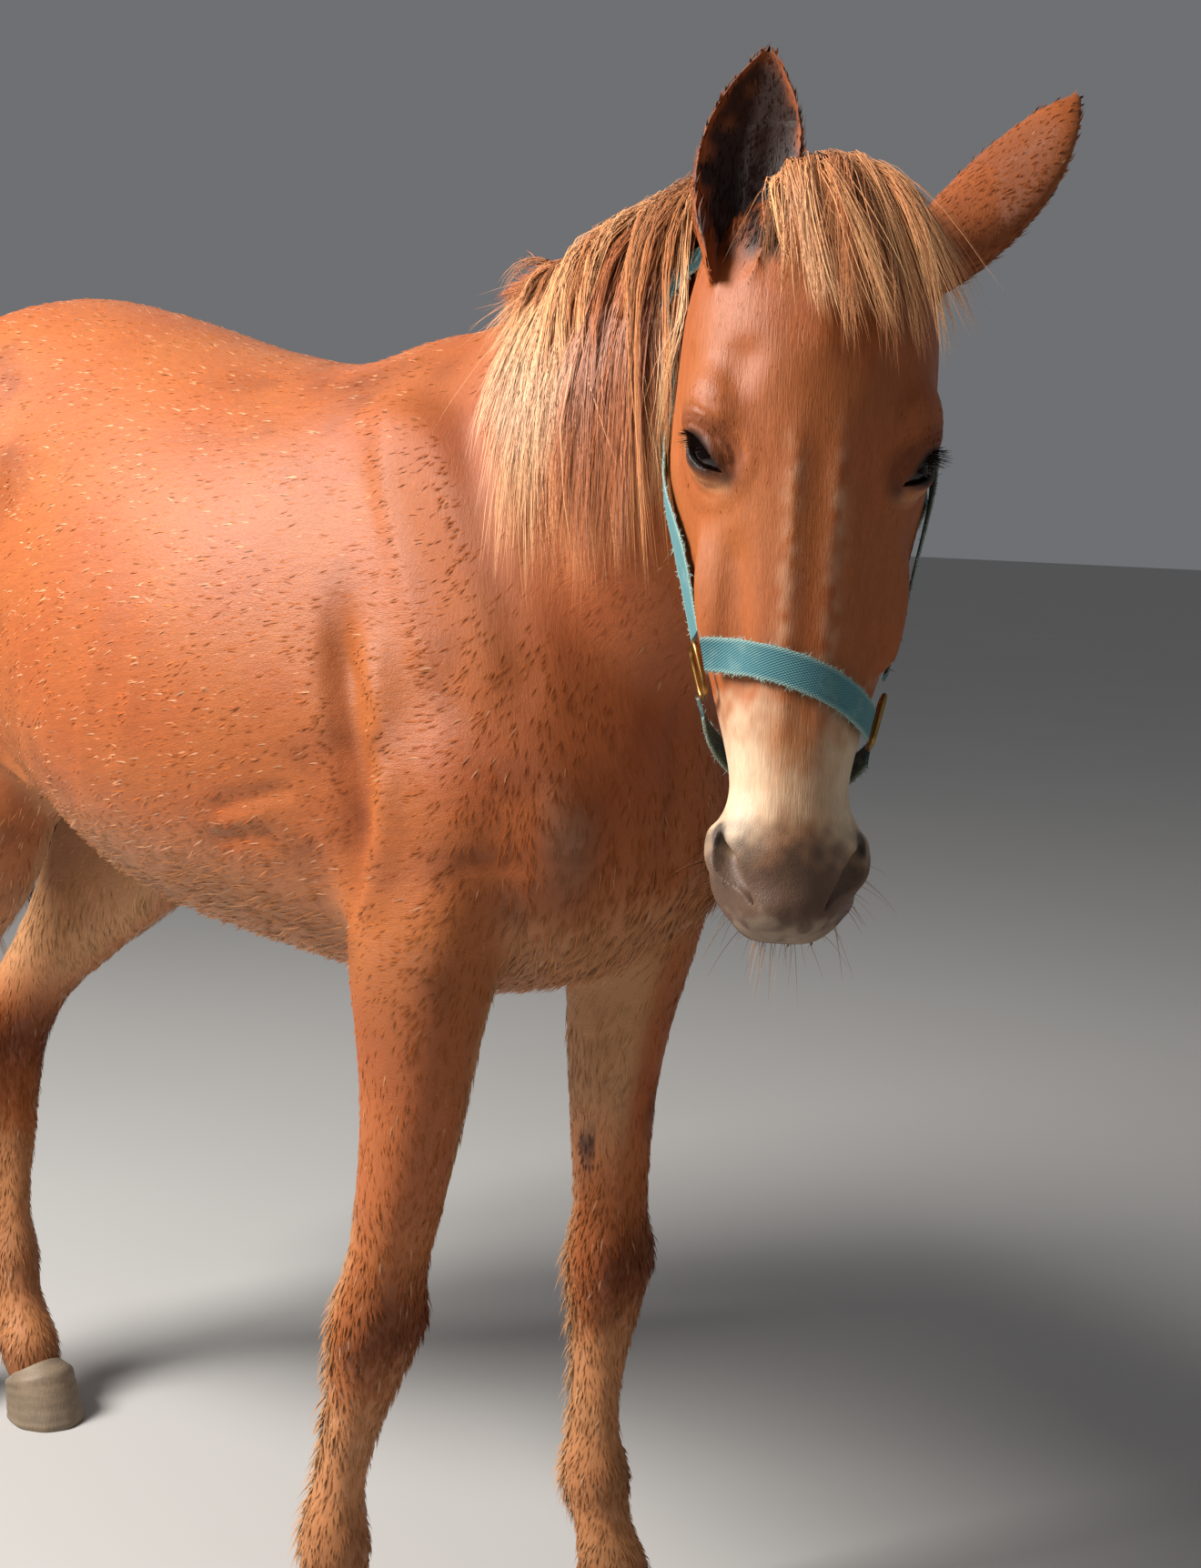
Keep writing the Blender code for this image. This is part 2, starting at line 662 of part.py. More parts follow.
def eye_axes(side):
    """Columns along the slit, across it and out of the eye."""
    look = head_turn() @ Vector((EYE_LOOK.x, -side * EYE_LOOK.y, EYE_LOOK.z))
    slit = head_turn() @ Vector((EYE_SLIT.x, -side * EYE_SLIT.y, EYE_SLIT.z))
    slit = (slit - look * slit.dot(look)).normalized()
    return Matrix((slit, look.cross(slit), look)).transposed()


def head_balls():
    turn = head_turn()
    made = []
    for (down, out, left), radii in HEAD_SIDE_FORMS.values():
        for side in (-1, 1):
            made.append(ball(head_place(down, out, side * left), radii, turn=turn))
    for (down, out, left), radii in HEAD_MIDDLE_FORMS.values():
        made.append(ball(head_place(down, out, left), radii, turn=turn))
    return made


def lid_balls():
    radius = EYE_RADIUS + LID_THICKNESS
    return [ball(eye_centre(side), (radius,) * 3) for side in (-1, 1)]


def tube(points, radii, sides=6, closed=False):
    """Vertices and faces of a round tube along a path."""
    points = np.asarray(points, float)
    if closed:
        along = unit(np.roll(points, -1, 0) - np.roll(points, 1, 0))
    else:
        along = unit(np.gradient(points, axis=0))
    middle = np.cross(points[len(points) // 2] - points[0], points[-1] - points[0])
    normal = middle / (np.linalg.norm(middle) + 1e-12)
    if np.linalg.norm(middle) < 1e-9:
        normal = np.array((0.0, 1.0, 0.0))
    side = unit(np.cross(along, normal))
    up = np.cross(side, along)
    stack = rings(points, side, up, radii, radii, radii, 2, 2, sides)
    if not closed:
        return lofted(stack)
    count = len(points)
    row = np.arange(count)[:, None] * sides
    j = np.arange(sides)[None]
    k = (j + 1) % sides
    ahead = np.roll(row, -1, 0)
    faces = np.stack([row + j, row + k, ahead + k, ahead + j], -1).reshape(-1, 4)
    return stack.reshape(-1, 3), faces.tolist()


def eye_cutters():
    made = []
    for side in (-1, 1):
        centre, axes = eye_centre(side), eye_axes(side)
        socket = ball(centre, (EYE_RADIUS + 2 * GAP,) * 3, turn=axes, around=EYE_SIDES)
        slit = ball(
            centre + axes.col[2] * (EYE_RADIUS + LID_THICKNESS / 2),
            (SLIT_HALF_LENGTH, SLIT_HALF_HEIGHT, 0.016), turn=axes, around=12,
        )
        made += [mesh_object("socket", *socket), mesh_object("slit", *slit)]
    return made


def nostril_cutters():
    made = []
    for side in (-1, 1):
        down, out, left = NOSTRIL_AT
        turn = head_turn() @ Matrix.Rotation(side * NOSTRIL_TILT, 3, "X")
        shape = ball(head_place(down, out, -side * left), NOSTRIL_RADII, turn=turn, around=12)
        made.append(mesh_object("nostril", *shape))
    return made


def surface_of(*pieces):
    """The skins of some objects as one tree that finds the nearest place on them."""
    places, faces = [], []
    for piece in pieces:
        start = len(places)
        places += [vertex.co.copy() for vertex in piece.data.vertices]
        faces += [[start + i for i in face.vertices] for face in piece.data.polygons]
    return BVHTree.FromPolygons(places, faces)


def mouth_cutter(surface):
    """A thin tube along the line between the lips, half sunk in the skin."""
    half = [Vector(place) for place in MOUTH_LINE]
    whole_line = half + [Vector((p.x, p.y, -p.z)) for p in half[-2::-1]]
    knots = np.linspace(0, 1, len(whole_line))
    line = spline(knots, np.array(whole_line), np.linspace(0, 1, 19))
    points = [surface.find_nearest(head_place(*p))[0] for p in line]
    radii = MOUTH_DEPTH * np.sin(np.linspace(0.15, math.pi - 0.15, len(points))) ** 0.35
    return mesh_object("mouth", *tube(points, radii, 6))


def head_solid():
    made = fused("head", [lofted(head_rings())] + head_balls(), HEAD_VOXEL)
    relax(made.data, np.ones(len(made.data.vertices)), HEAD_ROUNDS)
    skin = (places_of(made.data), [list(face.vertices) for face in made.data.polygons])
    bpy.data.objects.remove(made)
    made = fused("head", [skin] + lid_balls(), HEAD_VOXEL)
    relax(made.data, np.ones(len(made.data.vertices)), LID_ROUNDS)
    thinned(made, HEAD_TRIANGLES)
    cutters = eye_cutters() + nostril_cutters() + [mouth_cutter(surface_of(made))]
    return whole(boolean(made, cutters, "DIFFERENCE"))


def shell(stack):
    """A closed wall from rings that run out along its outer side and back along its inner side."""
    points, faces = lofted(stack)
    count, around = stack.shape[:2]
    half = around // 2
    sides = faces[: (count - 1) * around]
    ends = []
    for start, turned in ((0, False), ((count - 1) * around, True)):
        for i in range(half - 1):
            quad = [start + i, start + i + 1, start + around - 2 - i, start + around - 1 - i]
            ends.append(quad if turned else quad[::-1])
    return points[:-2], sides + ends


def ear_shape(name):
    """A leaf-shaped cup: each section is an arc of wall round the back of the ear."""
    root, tip, opening, bow = EARS[name]
    root, tip = head_place(*root), head_place(*tip)
    along = (tip - root).normalized()
    out = head_turn() @ Vector(opening)
    out = (out - along * out.dot(along)).normalized()
    side = along.cross(out)
    rows = np.array(EAR_SECTIONS)
    shares = np.concatenate([np.linspace(0, 0.88, 8), [0.95, 1.0]])
    width, depth, angle, wall = spline(rows[:, 0], rows[:, 1:], shares).T[..., None]
    around = np.linspace(-1, 1, 8)[None] * np.radians(angle)
    middle = np.array(root)[None] + shares[:, None] * (tip - root).length * np.array(along)[None]
    middle = middle + np.sin(shares * math.pi)[:, None] * np.array(head_turn() @ Vector(bow))[None]
    outer = (width * np.sin(around), -depth * np.cos(around))
    back = around[:, ::-1]
    inner = ((width - wall) * np.sin(back), -(depth - wall) * np.cos(back))
    across = np.concatenate([outer[0], inner[0]], 1)[..., None]
    deep = np.concatenate([outer[1], inner[1]], 1)[..., None]
    return shell(middle[:, None] + across * np.array(side) + deep * np.array(out))


def hoof_shape(name):
    """A cone cut level at the ground and on a slope at the coronet."""
    x, y = leg_axis(name, np.array([0.04]))[0, :2]
    levels = np.linspace(0, 1, 4)[:, None]
    angles = np.linspace(0, 2 * math.pi, 20, endpoint=False)[None]
    length = HOOF_GROUND[0] + levels * (HOOF_CORONET[0] - HOOF_GROUND[0])
    width = HOOF_GROUND[1] + levels * (HOOF_CORONET[1] - HOOF_GROUND[1])
    toe, heel = HOOF_TOE_HEIGHT, HOOF_HEEL_HEIGHT
    height = (toe + heel) / 2 + np.cos(angles) * (toe - heel) / 2
    points = np.stack([
        x + HOOF_SLOPE * (1 - levels) + length * np.cos(angles),
        y + width * np.sin(angles),
        levels * height,
    ], -1)
    return lofted(points)


def swollen(made, by=2 * GAP):
    """A copy of an object, larger all round by the gap, used to keep pieces apart."""
    copy = bpy.data.objects.new(made.name + "_gap", made.data.copy())
    bpy.context.scene.collection.objects.link(copy)
    set_places(copy.data, places_of(copy.data) + by * normals_of(copy.data))
    return copy


def ribbon(path, normals, width, thickness):
    """A flat band along a path: four corners to a ring, or a width and a thickness for each ring."""
    path, normals = np.asarray(path, float), unit(np.asarray(normals, float))
    along = unit(np.gradient(path, axis=0))
    side = unit(np.cross(normals, along))
    normals = np.cross(along, side)
    width = np.broadcast_to(width, (len(path),))[:, None] / 2
    thickness = np.broadcast_to(thickness, (len(path),))[:, None] / 2
    corners = [
        side * width - normals * thickness, side * width + normals * thickness,
        -side * width + normals * thickness, -side * width - normals * thickness,
    ]
    return np.stack([path + corner for corner in corners], 1)


def boxed(stack):
    """A closed band from rings of four corners, with flat ends."""
    points, faces = lofted(stack)
    count = len(stack)
    sides = faces[: (count - 1) * 4]
    end = (count - 1) * 4
    return points[:-2], sides + [[3, 2, 1, 0], [end, end + 1, end + 2, end + 3]]


def draped(name, places, lift, surface):
    """A strap laid over the head along places in head space, kept clear of it all along its width."""
    places = np.array(places)
    knots = np.concatenate([[0], np.cumsum(np.linalg.norm(np.diff(places, axis=0), axis=1))])
    count = int(knots[-1] / STRAP_STEP)
    line = spline(knots, places, np.linspace(0, knots[-1], count))
    hits = [surface.find_nearest(head_place(*p)) for p in line]
    normals = np.array([hit[1] for hit in hits])
    for _ in range(3):
        normals[1:-1] = unit(normals[:-2] + 2 * normals[1:-1] + normals[2:])
    path = np.array([hit[0] for hit in hits]) + normals * (lift + WEB_THICKNESS / 2)
    path[1:-1] = (path[:-2] + 2 * path[1:-1] + path[2:]) / 4
    stack = ribbon(path, normals, WEB_WIDTH, WEB_THICKNESS)
    short = np.array([max(clear_by(surface, corner) for corner in ring[[0, 3]]) for ring in stack])
    short = np.maximum(short, np.maximum(np.roll(short, 1), np.roll(short, -1)))
    short[1:-1] = np.maximum(short[1:-1], (short[:-2] + short[2:]) / 2)
    return mesh_object(name, *boxed(stack + (short[:, None] * normals)[:, None]))


def clear_by(surface, corner):
    """How far a corner of a strap must move out to stand clear of the skin."""
    place, normal = surface.find_nearest(Vector(corner))[:2]
    return max(0.0, STRAP_CLEARANCE - (Vector(corner) - place).dot(normal))


def ring_shape(place, surface, up_to):
    """A rectangular wire loop that lies on the cheek, its length towards another place."""
    spot, normal = surface.find_nearest(head_place(*place))[:2]
    up = head_place(*up_to) - spot
    up = (up - normal * up.dot(normal)).normalized()
    side = up.cross(normal)
    centre = spot + normal * (RING_WIRE + RING_CLEAR)
    angles = np.linspace(0, 2 * math.pi, 20, endpoint=False)
    c, s = np.cos(angles), np.sin(angles)
    across = np.sign(c) * np.abs(c) ** 0.5 * RING_HALF_WIDTH
    along = np.sign(s) * np.abs(s) ** 0.5 * RING_HALF_LENGTH
    points = np.array(centre) + across[:, None] * np.array(side) + along[:, None] * np.array(up)
    return tube(points, RING_WIRE, 5, closed=True)


def lock(root, start, facing, fall, size, lift, surface, steps=5):
    """A flat tapered lock that leaves the skin, then follows its fall and lies along the surface below."""
    length, width, thickness = size
    place, heading, fall = Vector(root), Vector(start).normalized(), Vector(fall).normalized()
    facing = Vector(facing).normalized()
    path, normals = [np.array(place)], [np.array(facing)]
    for i in range(steps):
        heading = heading.lerp(fall, 0.45).normalized() if i else heading
        place = place + heading * length / steps
        spot, normal = surface.find_nearest(place)[:2]
        short = lift - (place - spot).dot(normal)
        if short > 0:
            place = place + normal * short
            facing = facing.lerp(normal, 0.5).normalized()
        path.append(np.array(place))
        normals.append(np.array(facing))
    path = np.array(path)
    path[1:-1] = (path[:-2] + 2 * path[1:-1] + path[2:]) / 4
    shares = np.linspace(0, 1, steps + 1)
    widths = width * (0.7 + 0.5 * shares) * (1 - shares**2.5) + 0.0022
    depths = thickness * (1 - 0.75 * shares) + 0.0008
    return boxed(ribbon(path, normals, widths, depths))


def mane_locks(surface, random):
    count, length, width, thickness = MANE
    made = []
    for i in range(count):
        share = MANE_START + MANE_REACH * (i + random.uniform(-0.3, 0.3)) / (count - 1)
        middle, side, up, depth, _ = (row[0] for row in neck_axis(np.array([share])))
        right, up = Vector(-side), Vector(up)
        low = random.uniform(0.0, 1.0)
        root = Vector(middle) + up * (depth - ROOT_DEPTH) + right * (0.002 + 0.012 * low)
        fall = (random.uniform(-0.34, -0.16), -0.02, -1.0)
        start = right + up * (0.45 - 0.35 * low) - Vector((0.0, 0, 0.2))
        grown = random.uniform(0.85, 1.05) * (0.45 + 0.65 * min(1.0, (share - 0.39) / 0.25))
        size = (length * grown, width * min(1.0, 0.3 + grown * 0.7), thickness)
        made.append(lock(root, start, up + right * 0.8, fall, size, 0.008 + 0.006 * (1 - low), surface))
    return made


def forelock_locks(surface, random):
    count, length, width, thickness = FORELOCK
    turn = head_turn()
    made = []
    for i in range(count):
        across = -0.012 + 0.066 * (i + random.uniform(-0.4, 0.4)) / (count - 1)
        down = 0.012 + random.uniform(0, 0.022)
        spot, normal = surface.find_nearest(head_place(down, -0.005, across))[:2]
        fall = turn @ Vector((0.10, 0.20 + 2.4 * across + random.uniform(-0.12, 0.12), -1.0))
        start = turn @ Vector((0.9, across * 3, 0.20))
        size = (length * random.uniform(0.72, 1.08), width, thickness)
        made.append(
            lock(spot - normal * ROOT_DEPTH, start, normal, fall, size, random.uniform(0.004, 0.012), surface)
        )
    return made


def tail_locks(surface, random):
    count, length, width, thickness = TAIL
    rows = np.array([place for place, _ in TAIL_DOCK])
    radii = np.array([radius for _, radius in TAIL_DOCK])
    knots = np.linspace(0, 1, len(rows))
    made = []
    for i in range(count):
        share = 0.40 + 0.55 * i / (count - 1)
        centre = Vector(spline(knots, rows, np.array([share]))[0])
        angle = math.radians(100 * (-1 if i % 2 else 1) * random.uniform(0.1, 1.0))
        out = Vector((-math.cos(angle), math.sin(angle), 0.0))
        root = centre + out * (float(np.interp(share, knots, radii)) - 0.008)
        fall = (random.uniform(-0.10, 0.0), 0.48 + 0.16 * math.sin(angle), -1.0)
        start = out * 0.35 + Vector((0, 0, -1.0))
        size = (length * random.uniform(0.75, 1.0) * (1.15 - 0.35 * share), width, thickness)
        made.append(lock(root, start, out, fall, size, 0.006, surface))
    return made


def tufted(made, locks, neighbours=()):
    """The object with the locks fused to it, and then kept clear of the pieces next to it."""
    pieces = [mesh_object("lock", *shape) for shape in locks]
    boolean(made, pieces, "UNION")
    if neighbours:
        boolean(made, [swollen(piece, GAP) for piece in neighbours], "DIFFERENCE")
    return whole(made)


def tail_solid():
    rows = np.array([place for place, _ in TAIL_DOCK])
    radii = np.array([radius for _, radius in TAIL_DOCK])
    knots = np.linspace(0, 1, len(rows))
    shares = np.linspace(0, 1, 11)
    return mesh_object("tail", *tube(spline(knots, rows, shares), spline(knots, radii, shares), 12))


def parting_slabs():
    """The thin plates that part the neck and the legs from the trunk, and the thighs from each other."""
    left = (0, 1, 0)
    made = [
        slab("neck_cut", *NECK_CUT, left, *NECK_CUT_SIZE),
        slab("hind_cut", *HIND_CUT, left, *HIND_CUT_SIZE),
    ]
    centre, normal = (Vector(v) for v in HIND_CUT)
    low = centre - normal * (THIGH_CUT_SIZE[0] - GAP * 4)
    made.append(slab("thigh_cut", low, left, normal, *THIGH_CUT_SIZE))
    for side in (-1, 1):
        (x, y, z), (across, level, up) = FORE_CUT
        facing = (across, side * level, up)
        made.append(slab("fore_cut", (x, side * y, z), facing, (1, 0, 0), *FORE_CUT_SIZE))
    return made


def piece_name(low, high):
    """Which piece of the body a box holds."""
    side = "right" if low.y + high.y < 0 else "left"
    if low.z < 0.3:
        return ("foreleg_" if low.x + high.x > 0 else "hindleg_") + side
    return "neck" if low.x > 0.3 else "torso"


def parted_body(keep_clear):
    made = boolean(body_solid(), parting_slabs() + keep_clear, "DIFFERENCE")
    pieces = {}
    for faces in islands(made):
        if len(faces) < 60:
            continue
        copy = bpy.data.objects.new("piece", made.data.copy())
        bpy.context.scene.collection.objects.link(copy)
        kept(copy, faces)
        points = places_of(copy.data)
        name = piece_name(Vector(points.min(0)), Vector(points.max(0)))
        if name in pieces:
            bpy.data.objects.remove(copy)
            continue
        copy.name = name
        pieces[name] = copy
    bpy.data.objects.remove(made)
    return pieces


def centring(nodes):
    """The move that brings the middle of the bottom of everything's bounding box to the origin."""
    bpy.context.view_layer.update()
    corners = np.array([node.matrix_world @ Vector(corner) for node in nodes for corner in node.bound_box])
    low, high = corners.min(0), corners.max(0)
    return Vector((-(low[0] + high[0]) / 2, -(low[1] + high[1]) / 2, -low[2]))


def clear_scene():
    for old in list(bpy.data.objects):
        bpy.data.objects.remove(old)


def main():
    clear_scene()
    random = Random(SEED)
    head = head_solid()
    hooves = [mesh_object(name.replace("leg", "hoof"), *hoof_shape(name)) for name in LEGS]
    body = parted_body([swollen(piece) for piece in [head, *hooves]])
    head_surface, torso_surface = surface_of(head), surface_of(body["torso"])
    neck_surface = surface_of(body["neck"], body["torso"])
    drape = fused("drape", [lofted(head_rings()), lofted(neck_rings())] + head_balls(), HEAD_VOXEL)
    cloth = surface_of(drape)
    bpy.data.objects.remove(drape)
    straps = [draped(name, places, lift, cloth) for name, (places, lift) in STRAPS.items()]
    loops = [
        mesh_object("ring_" + side, *ring_shape(place, cloth, up_to))
        for side, (place, up_to) in RINGS.items()
    ]
    ears = [mesh_object(name, *ear_shape(name)) for name in EARS]
    for ear in ears:
        whole(boolean(ear, [swollen(head)], "DIFFERENCE"))
    tail = boolean(tail_solid(), [swollen(body["torso"])], "DIFFERENCE")
    tufted(tail, tail_locks(torso_surface, random))
    tufted(head, forelock_locks(head_surface, random), [*ears, *straps])
    tufted(body["neck"], mane_locks(neck_surface, random), [head, body["torso"], *ears, *straps])
    eyes = [
        mesh_object(name, *ball(eye_centre(side), (EYE_RADIUS,) * 3, turn=eye_axes(side), around=EYE_SIDES))
        for name, side in (("eye_right", -1), ("eye_left", 1))
    ]
    kinds = {
        "coat": [head, *ears, *body.values()], "hair": [tail], "hoof": hooves, "eye": eyes,
        "webbing": straps, "brass": loops,
    }
    root = bpy.data.objects.new("mule", None)
    bpy.context.scene.collection.objects.link(root)
    for kind, nodes in kinds.items():
        look = material(kind, *LOOKS[kind])
        for node in nodes:
            finished(node, look, root)
    root.location = centring([node for nodes in kinds.values() for node in nodes])


if __name__ == "__main__":
    main()
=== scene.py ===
"""A life-size mule standing with its head turned to its right, wearing a webbing halter.

Metres, +Z up, +X towards the animal's chest, +Y to its left. One skin stands for the pieces of flesh, with
short coat, mane, forelock, tail, lashes and whiskers as joined mesh tufts on it. The shapes are worked out in
the space that the solids were drawn in, and each finished piece is then moved by the same step as they were.
"""

import math

import bmesh
import bpy
import numpy as np
from mathutils import Matrix, Vector
from mathutils.bvhtree import BVHTree


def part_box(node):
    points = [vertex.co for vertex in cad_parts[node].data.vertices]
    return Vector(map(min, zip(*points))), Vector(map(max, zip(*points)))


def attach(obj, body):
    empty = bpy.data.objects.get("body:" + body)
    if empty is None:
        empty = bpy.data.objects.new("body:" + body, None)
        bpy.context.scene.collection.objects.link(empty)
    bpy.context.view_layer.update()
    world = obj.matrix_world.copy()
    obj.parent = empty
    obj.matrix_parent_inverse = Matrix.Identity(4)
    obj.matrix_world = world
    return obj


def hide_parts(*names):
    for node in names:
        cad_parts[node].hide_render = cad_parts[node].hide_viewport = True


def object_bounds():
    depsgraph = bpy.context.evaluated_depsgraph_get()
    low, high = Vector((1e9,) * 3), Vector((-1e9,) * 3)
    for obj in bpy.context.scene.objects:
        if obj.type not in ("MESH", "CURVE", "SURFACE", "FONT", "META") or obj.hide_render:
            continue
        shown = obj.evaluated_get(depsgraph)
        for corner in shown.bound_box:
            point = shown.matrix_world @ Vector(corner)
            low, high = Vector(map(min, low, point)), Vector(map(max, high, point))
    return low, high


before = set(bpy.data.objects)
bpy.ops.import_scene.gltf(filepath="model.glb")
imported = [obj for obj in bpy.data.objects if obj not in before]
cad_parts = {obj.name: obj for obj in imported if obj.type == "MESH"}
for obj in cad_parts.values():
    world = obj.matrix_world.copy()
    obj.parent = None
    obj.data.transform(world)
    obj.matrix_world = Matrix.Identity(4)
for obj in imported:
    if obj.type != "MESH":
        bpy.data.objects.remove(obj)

CAD_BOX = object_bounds()

bl_info = {
    "name": "Standing mule in a webbing halter",
    "version": (1, 0, 0),
    "blender": (4, 5, 0),
    "location": "View3D > Sidebar > Mule",
    "description": "Builds the skin, hair, eyes, hooves and halter of a life-size mule round its solids",
    "category": "Add Mesh",
}

# Driving dimensions of the animal, the same as in the solids
WITHERS_HEIGHT = 1.40
TRUNK_LENGTH = 1.33
TRUNK_REAR = -0.70
BARREL_HALF_WIDTH = 0.285
HEAD_LENGTH = 0.615
EYE_RADIUS = 0.0235
MANE_LENGTH = 0.310
FORELOCK_LENGTH = 0.185
TAIL_HAIR_LENGTH = 0.600
WEB_WIDTH = 0.027
WEB_THICKNESS = 0.003

# How fine the skin is, and how far it lies inside the solids so that the coat ends where they do
BODY_VOXEL = 0.0060
HEAD_VOXEL = 0.0026
BODY_TRIANGLES = 62000
HEAD_TRIANGLES = 88000
LID_ROUNDS = 9
COAT_DEPTH = 0.0015
GAP = 0.0004

# The solids' own fineness for body and head: voxel, and rounds of relaxing
SOLID_VOXELS = (0.0085, 0.0045)
SOLID_ROUNDS = (22, 14)
# Rings and points round of each loft, and how square its sections are, as in the solids
TRUNK_GRID = (41, 48)
NECK_GRID = (25, 40)
HEAD_GRID = (41, 40)
LEG_GRID = (49, 28)
NECK_SQUARENESS = (1.65, 1.9)
JAW_SQUARENESS = 2.1
LEG_SQUARENESS = 2.1

# The trunk from the buttock to the breast, each row in shares of the driving dimensions:
# place along the trunk, height of the back, of the widest level and of the belly, half width,
# and how square the upper and the lower half are (2 is an ellipse, less makes a ridge)
TRUNK = (
    (0.000, 0.850, 0.800, 0.750, 0.12, 2.0, 2.0),
    (0.050, 0.940, 0.810, 0.680, 0.46, 2.1, 2.0),
    (0.140, 1.020, 0.830, 0.630, 0.76, 2.2, 2.0),
    (0.250, 1.044, 0.825, 0.610, 0.84, 2.1, 2.0),
    (0.360, 1.030, 0.780, 0.590, 0.88, 2.0, 2.1),
    (0.540, 0.992, 0.730, 0.548, 1.00, 2.0, 2.2),
    (0.680, 0.980, 0.730, 0.532, 0.93, 1.9, 2.1),
    (0.790, 1.000, 0.730, 0.528, 0.78, 1.6, 2.1),
    (0.880, 0.960, 0.715, 0.540, 0.66, 1.8, 2.1),
    (0.950, 0.880, 0.700, 0.570, 0.50, 2.0, 2.1),
    (1.000, 0.760, 0.690, 0.625, 0.20, 2.0, 2.0),
)

# The neck from inside the shoulders to the poll: centre, half depth and half width
NECK = (
    ((0.34, 0.000, 1.140), 0.245, 0.130),
    ((0.48, 0.000, 1.210), 0.225, 0.118),
    ((0.60, -0.004, 1.285), 0.188, 0.096),
    ((0.71, -0.022, 1.348), 0.153, 0.080),
    ((0.79, -0.055, 1.385), 0.122, 0.074),
)

# The head hangs from the poll: place, turn to the right, how far the nose points forwards, and roll
POLL = Vector((0.834, -0.068, 1.498))
HEAD_TURN = math.radians(-43.0)
NOSE_FORWARD = math.radians(14.0)
HEAD_ROLL = math.radians(-2.5)

# The head from the poll to the lips, in shares of its length: place down the face, how far the face line and
# the jaw line stand from the head's axis, half width, where the widest level lies, and how square the face is
HEAD = (
    (0.000, 0.000, -0.055, 0.052, -0.030, 2.0),
    (0.025, 0.040, -0.095, 0.100, -0.030, 2.0),
    (0.080, 0.085, -0.140, 0.138, -0.030, 2.1),
    (0.160, 0.118, -0.185, 0.162, -0.035, 2.2),
    (0.280, 0.134, -0.255, 0.172, -0.050, 2.3),
    (0.360, 0.130, -0.285, 0.174, -0.078, 2.2),
    (0.470, 0.118, -0.268, 0.156, -0.085, 2.0),
    (0.600, 0.102, -0.185, 0.126, -0.055, 2.1),
    (0.720, 0.090, -0.125, 0.094, -0.030, 2.3),
    (0.820, 0.084, -0.108, 0.076, -0.010, 2.4),
    (0.905, 0.080, -0.118, 0.098, -0.010, 2.4),
    (0.965, 0.060, -0.095, 0.074, -0.012, 2.3),
    (1.000, 0.024, -0.050, 0.045, -0.014, 2.0),
)

# Fore legs: height, half depth fore and aft, half width; the places come from the joints below
FORE_SECTIONS = (
    (0.950, 0.110, 0.062),
    (0.820, 0.088, 0.066),
    (0.700, 0.066, 0.052),
    (0.560, 0.046, 0.042),
    (0.480, 0.042, 0.040),
    (0.430, 0.047, 0.047),
    (0.385, 0.040, 0.039),
    (0.310, 0.033, 0.026),
    (0.230, 0.033, 0.026),
    (0.188, 0.041, 0.035),
    (0.135, 0.032, 0.030),
    (0.080, 0.040, 0.040),
    (0.035, 0.030, 0.030),
)
# Hind legs, the same
HIND_SECTIONS = (
    (1.100, 0.200, 0.090),
    (0.950, 0.220, 0.100),
    (0.880, 0.192, 0.092),
    (0.800, 0.146, 0.078),
    (0.690, 0.094, 0.058),
    (0.590, 0.060, 0.043),
    (0.520, 0.058, 0.044),
    (0.445, 0.045, 0.038),
    (0.350, 0.035, 0.028),
    (0.240, 0.035, 0.028),
    (0.198, 0.043, 0.036),
    (0.140, 0.033, 0.031),
    (0.080, 0.040, 0.040),
    (0.035, 0.030, 0.030),
)
# Where each leg's joints stand: x and y at each of the heights named in its row
FORE_JOINT_HEIGHTS = (0.95, 0.80, 0.65, 0.43, 0.188, 0.035)
HIND_JOINT_HEIGHTS = (1.10, 0.95, 0.80, 0.69, 0.52, 0.36, 0.198, 0.035)
LEGS = {
    "foreleg_right": (
        (0.455, -0.135), (0.452, -0.152), (0.440, -0.153), (0.388, -0.150), (0.338, -0.160), (0.385, -0.170)
    ),
    "foreleg_left": (
        (0.455, 0.135), (0.425, 0.152), (0.406, 0.152), (0.406, 0.152), (0.398, 0.148), (0.450, 0.146)
    ),
    "hindleg_right": (
        (-0.47, -0.125), (-0.44, -0.145), (-0.440, -0.155), (-0.525, -0.150),
        (-0.675, -0.138), (-0.668, -0.145), (-0.660, -0.150), (-0.585, -0.158)
    ),
    "hindleg_left": (
        (-0.47, 0.125), (-0.45, 0.130), (-0.450, 0.115), (-0.520, 0.080),
        (-0.628, 0.035), (-0.612, 0.016), (-0.592, 0.000), (-0.508, -0.008)
    ),
}

# The point of each hock: height, how far it stands behind the leg's middle, half sizes and lean in degrees
HOCK_HEIGHT = 0.555
HOCK_BEHIND = 0.046
HOCK_RADII = (0.026, 0.022, 0.050)
HOCK_TILT = 12

# Muscle and bone forms on each side: centre (y for the left side), half lengths, and how far the top leans
# forwards in degrees
SIDE_FORMS = {
    "shoulder blade": ((0.425, 0.112, 1.110), (0.130, 0.055, 0.240), -28),
    "upper arm": ((0.445, 0.140, 0.950), (0.120, 0.068, 0.125), 25),
    "breast": ((0.535, 0.075, 0.955), (0.082, 0.085, 0.145), -8),
    "thigh": ((-0.475, 0.120, 1.090), (0.205, 0.110, 0.250), -16),
    "point of hip": ((-0.300, 0.180, 1.270), (0.080, 0.048, 0.050), 20),
    "stifle": ((-0.335, 0.145, 0.895), (0.066, 0.060, 0.105), -20),
}

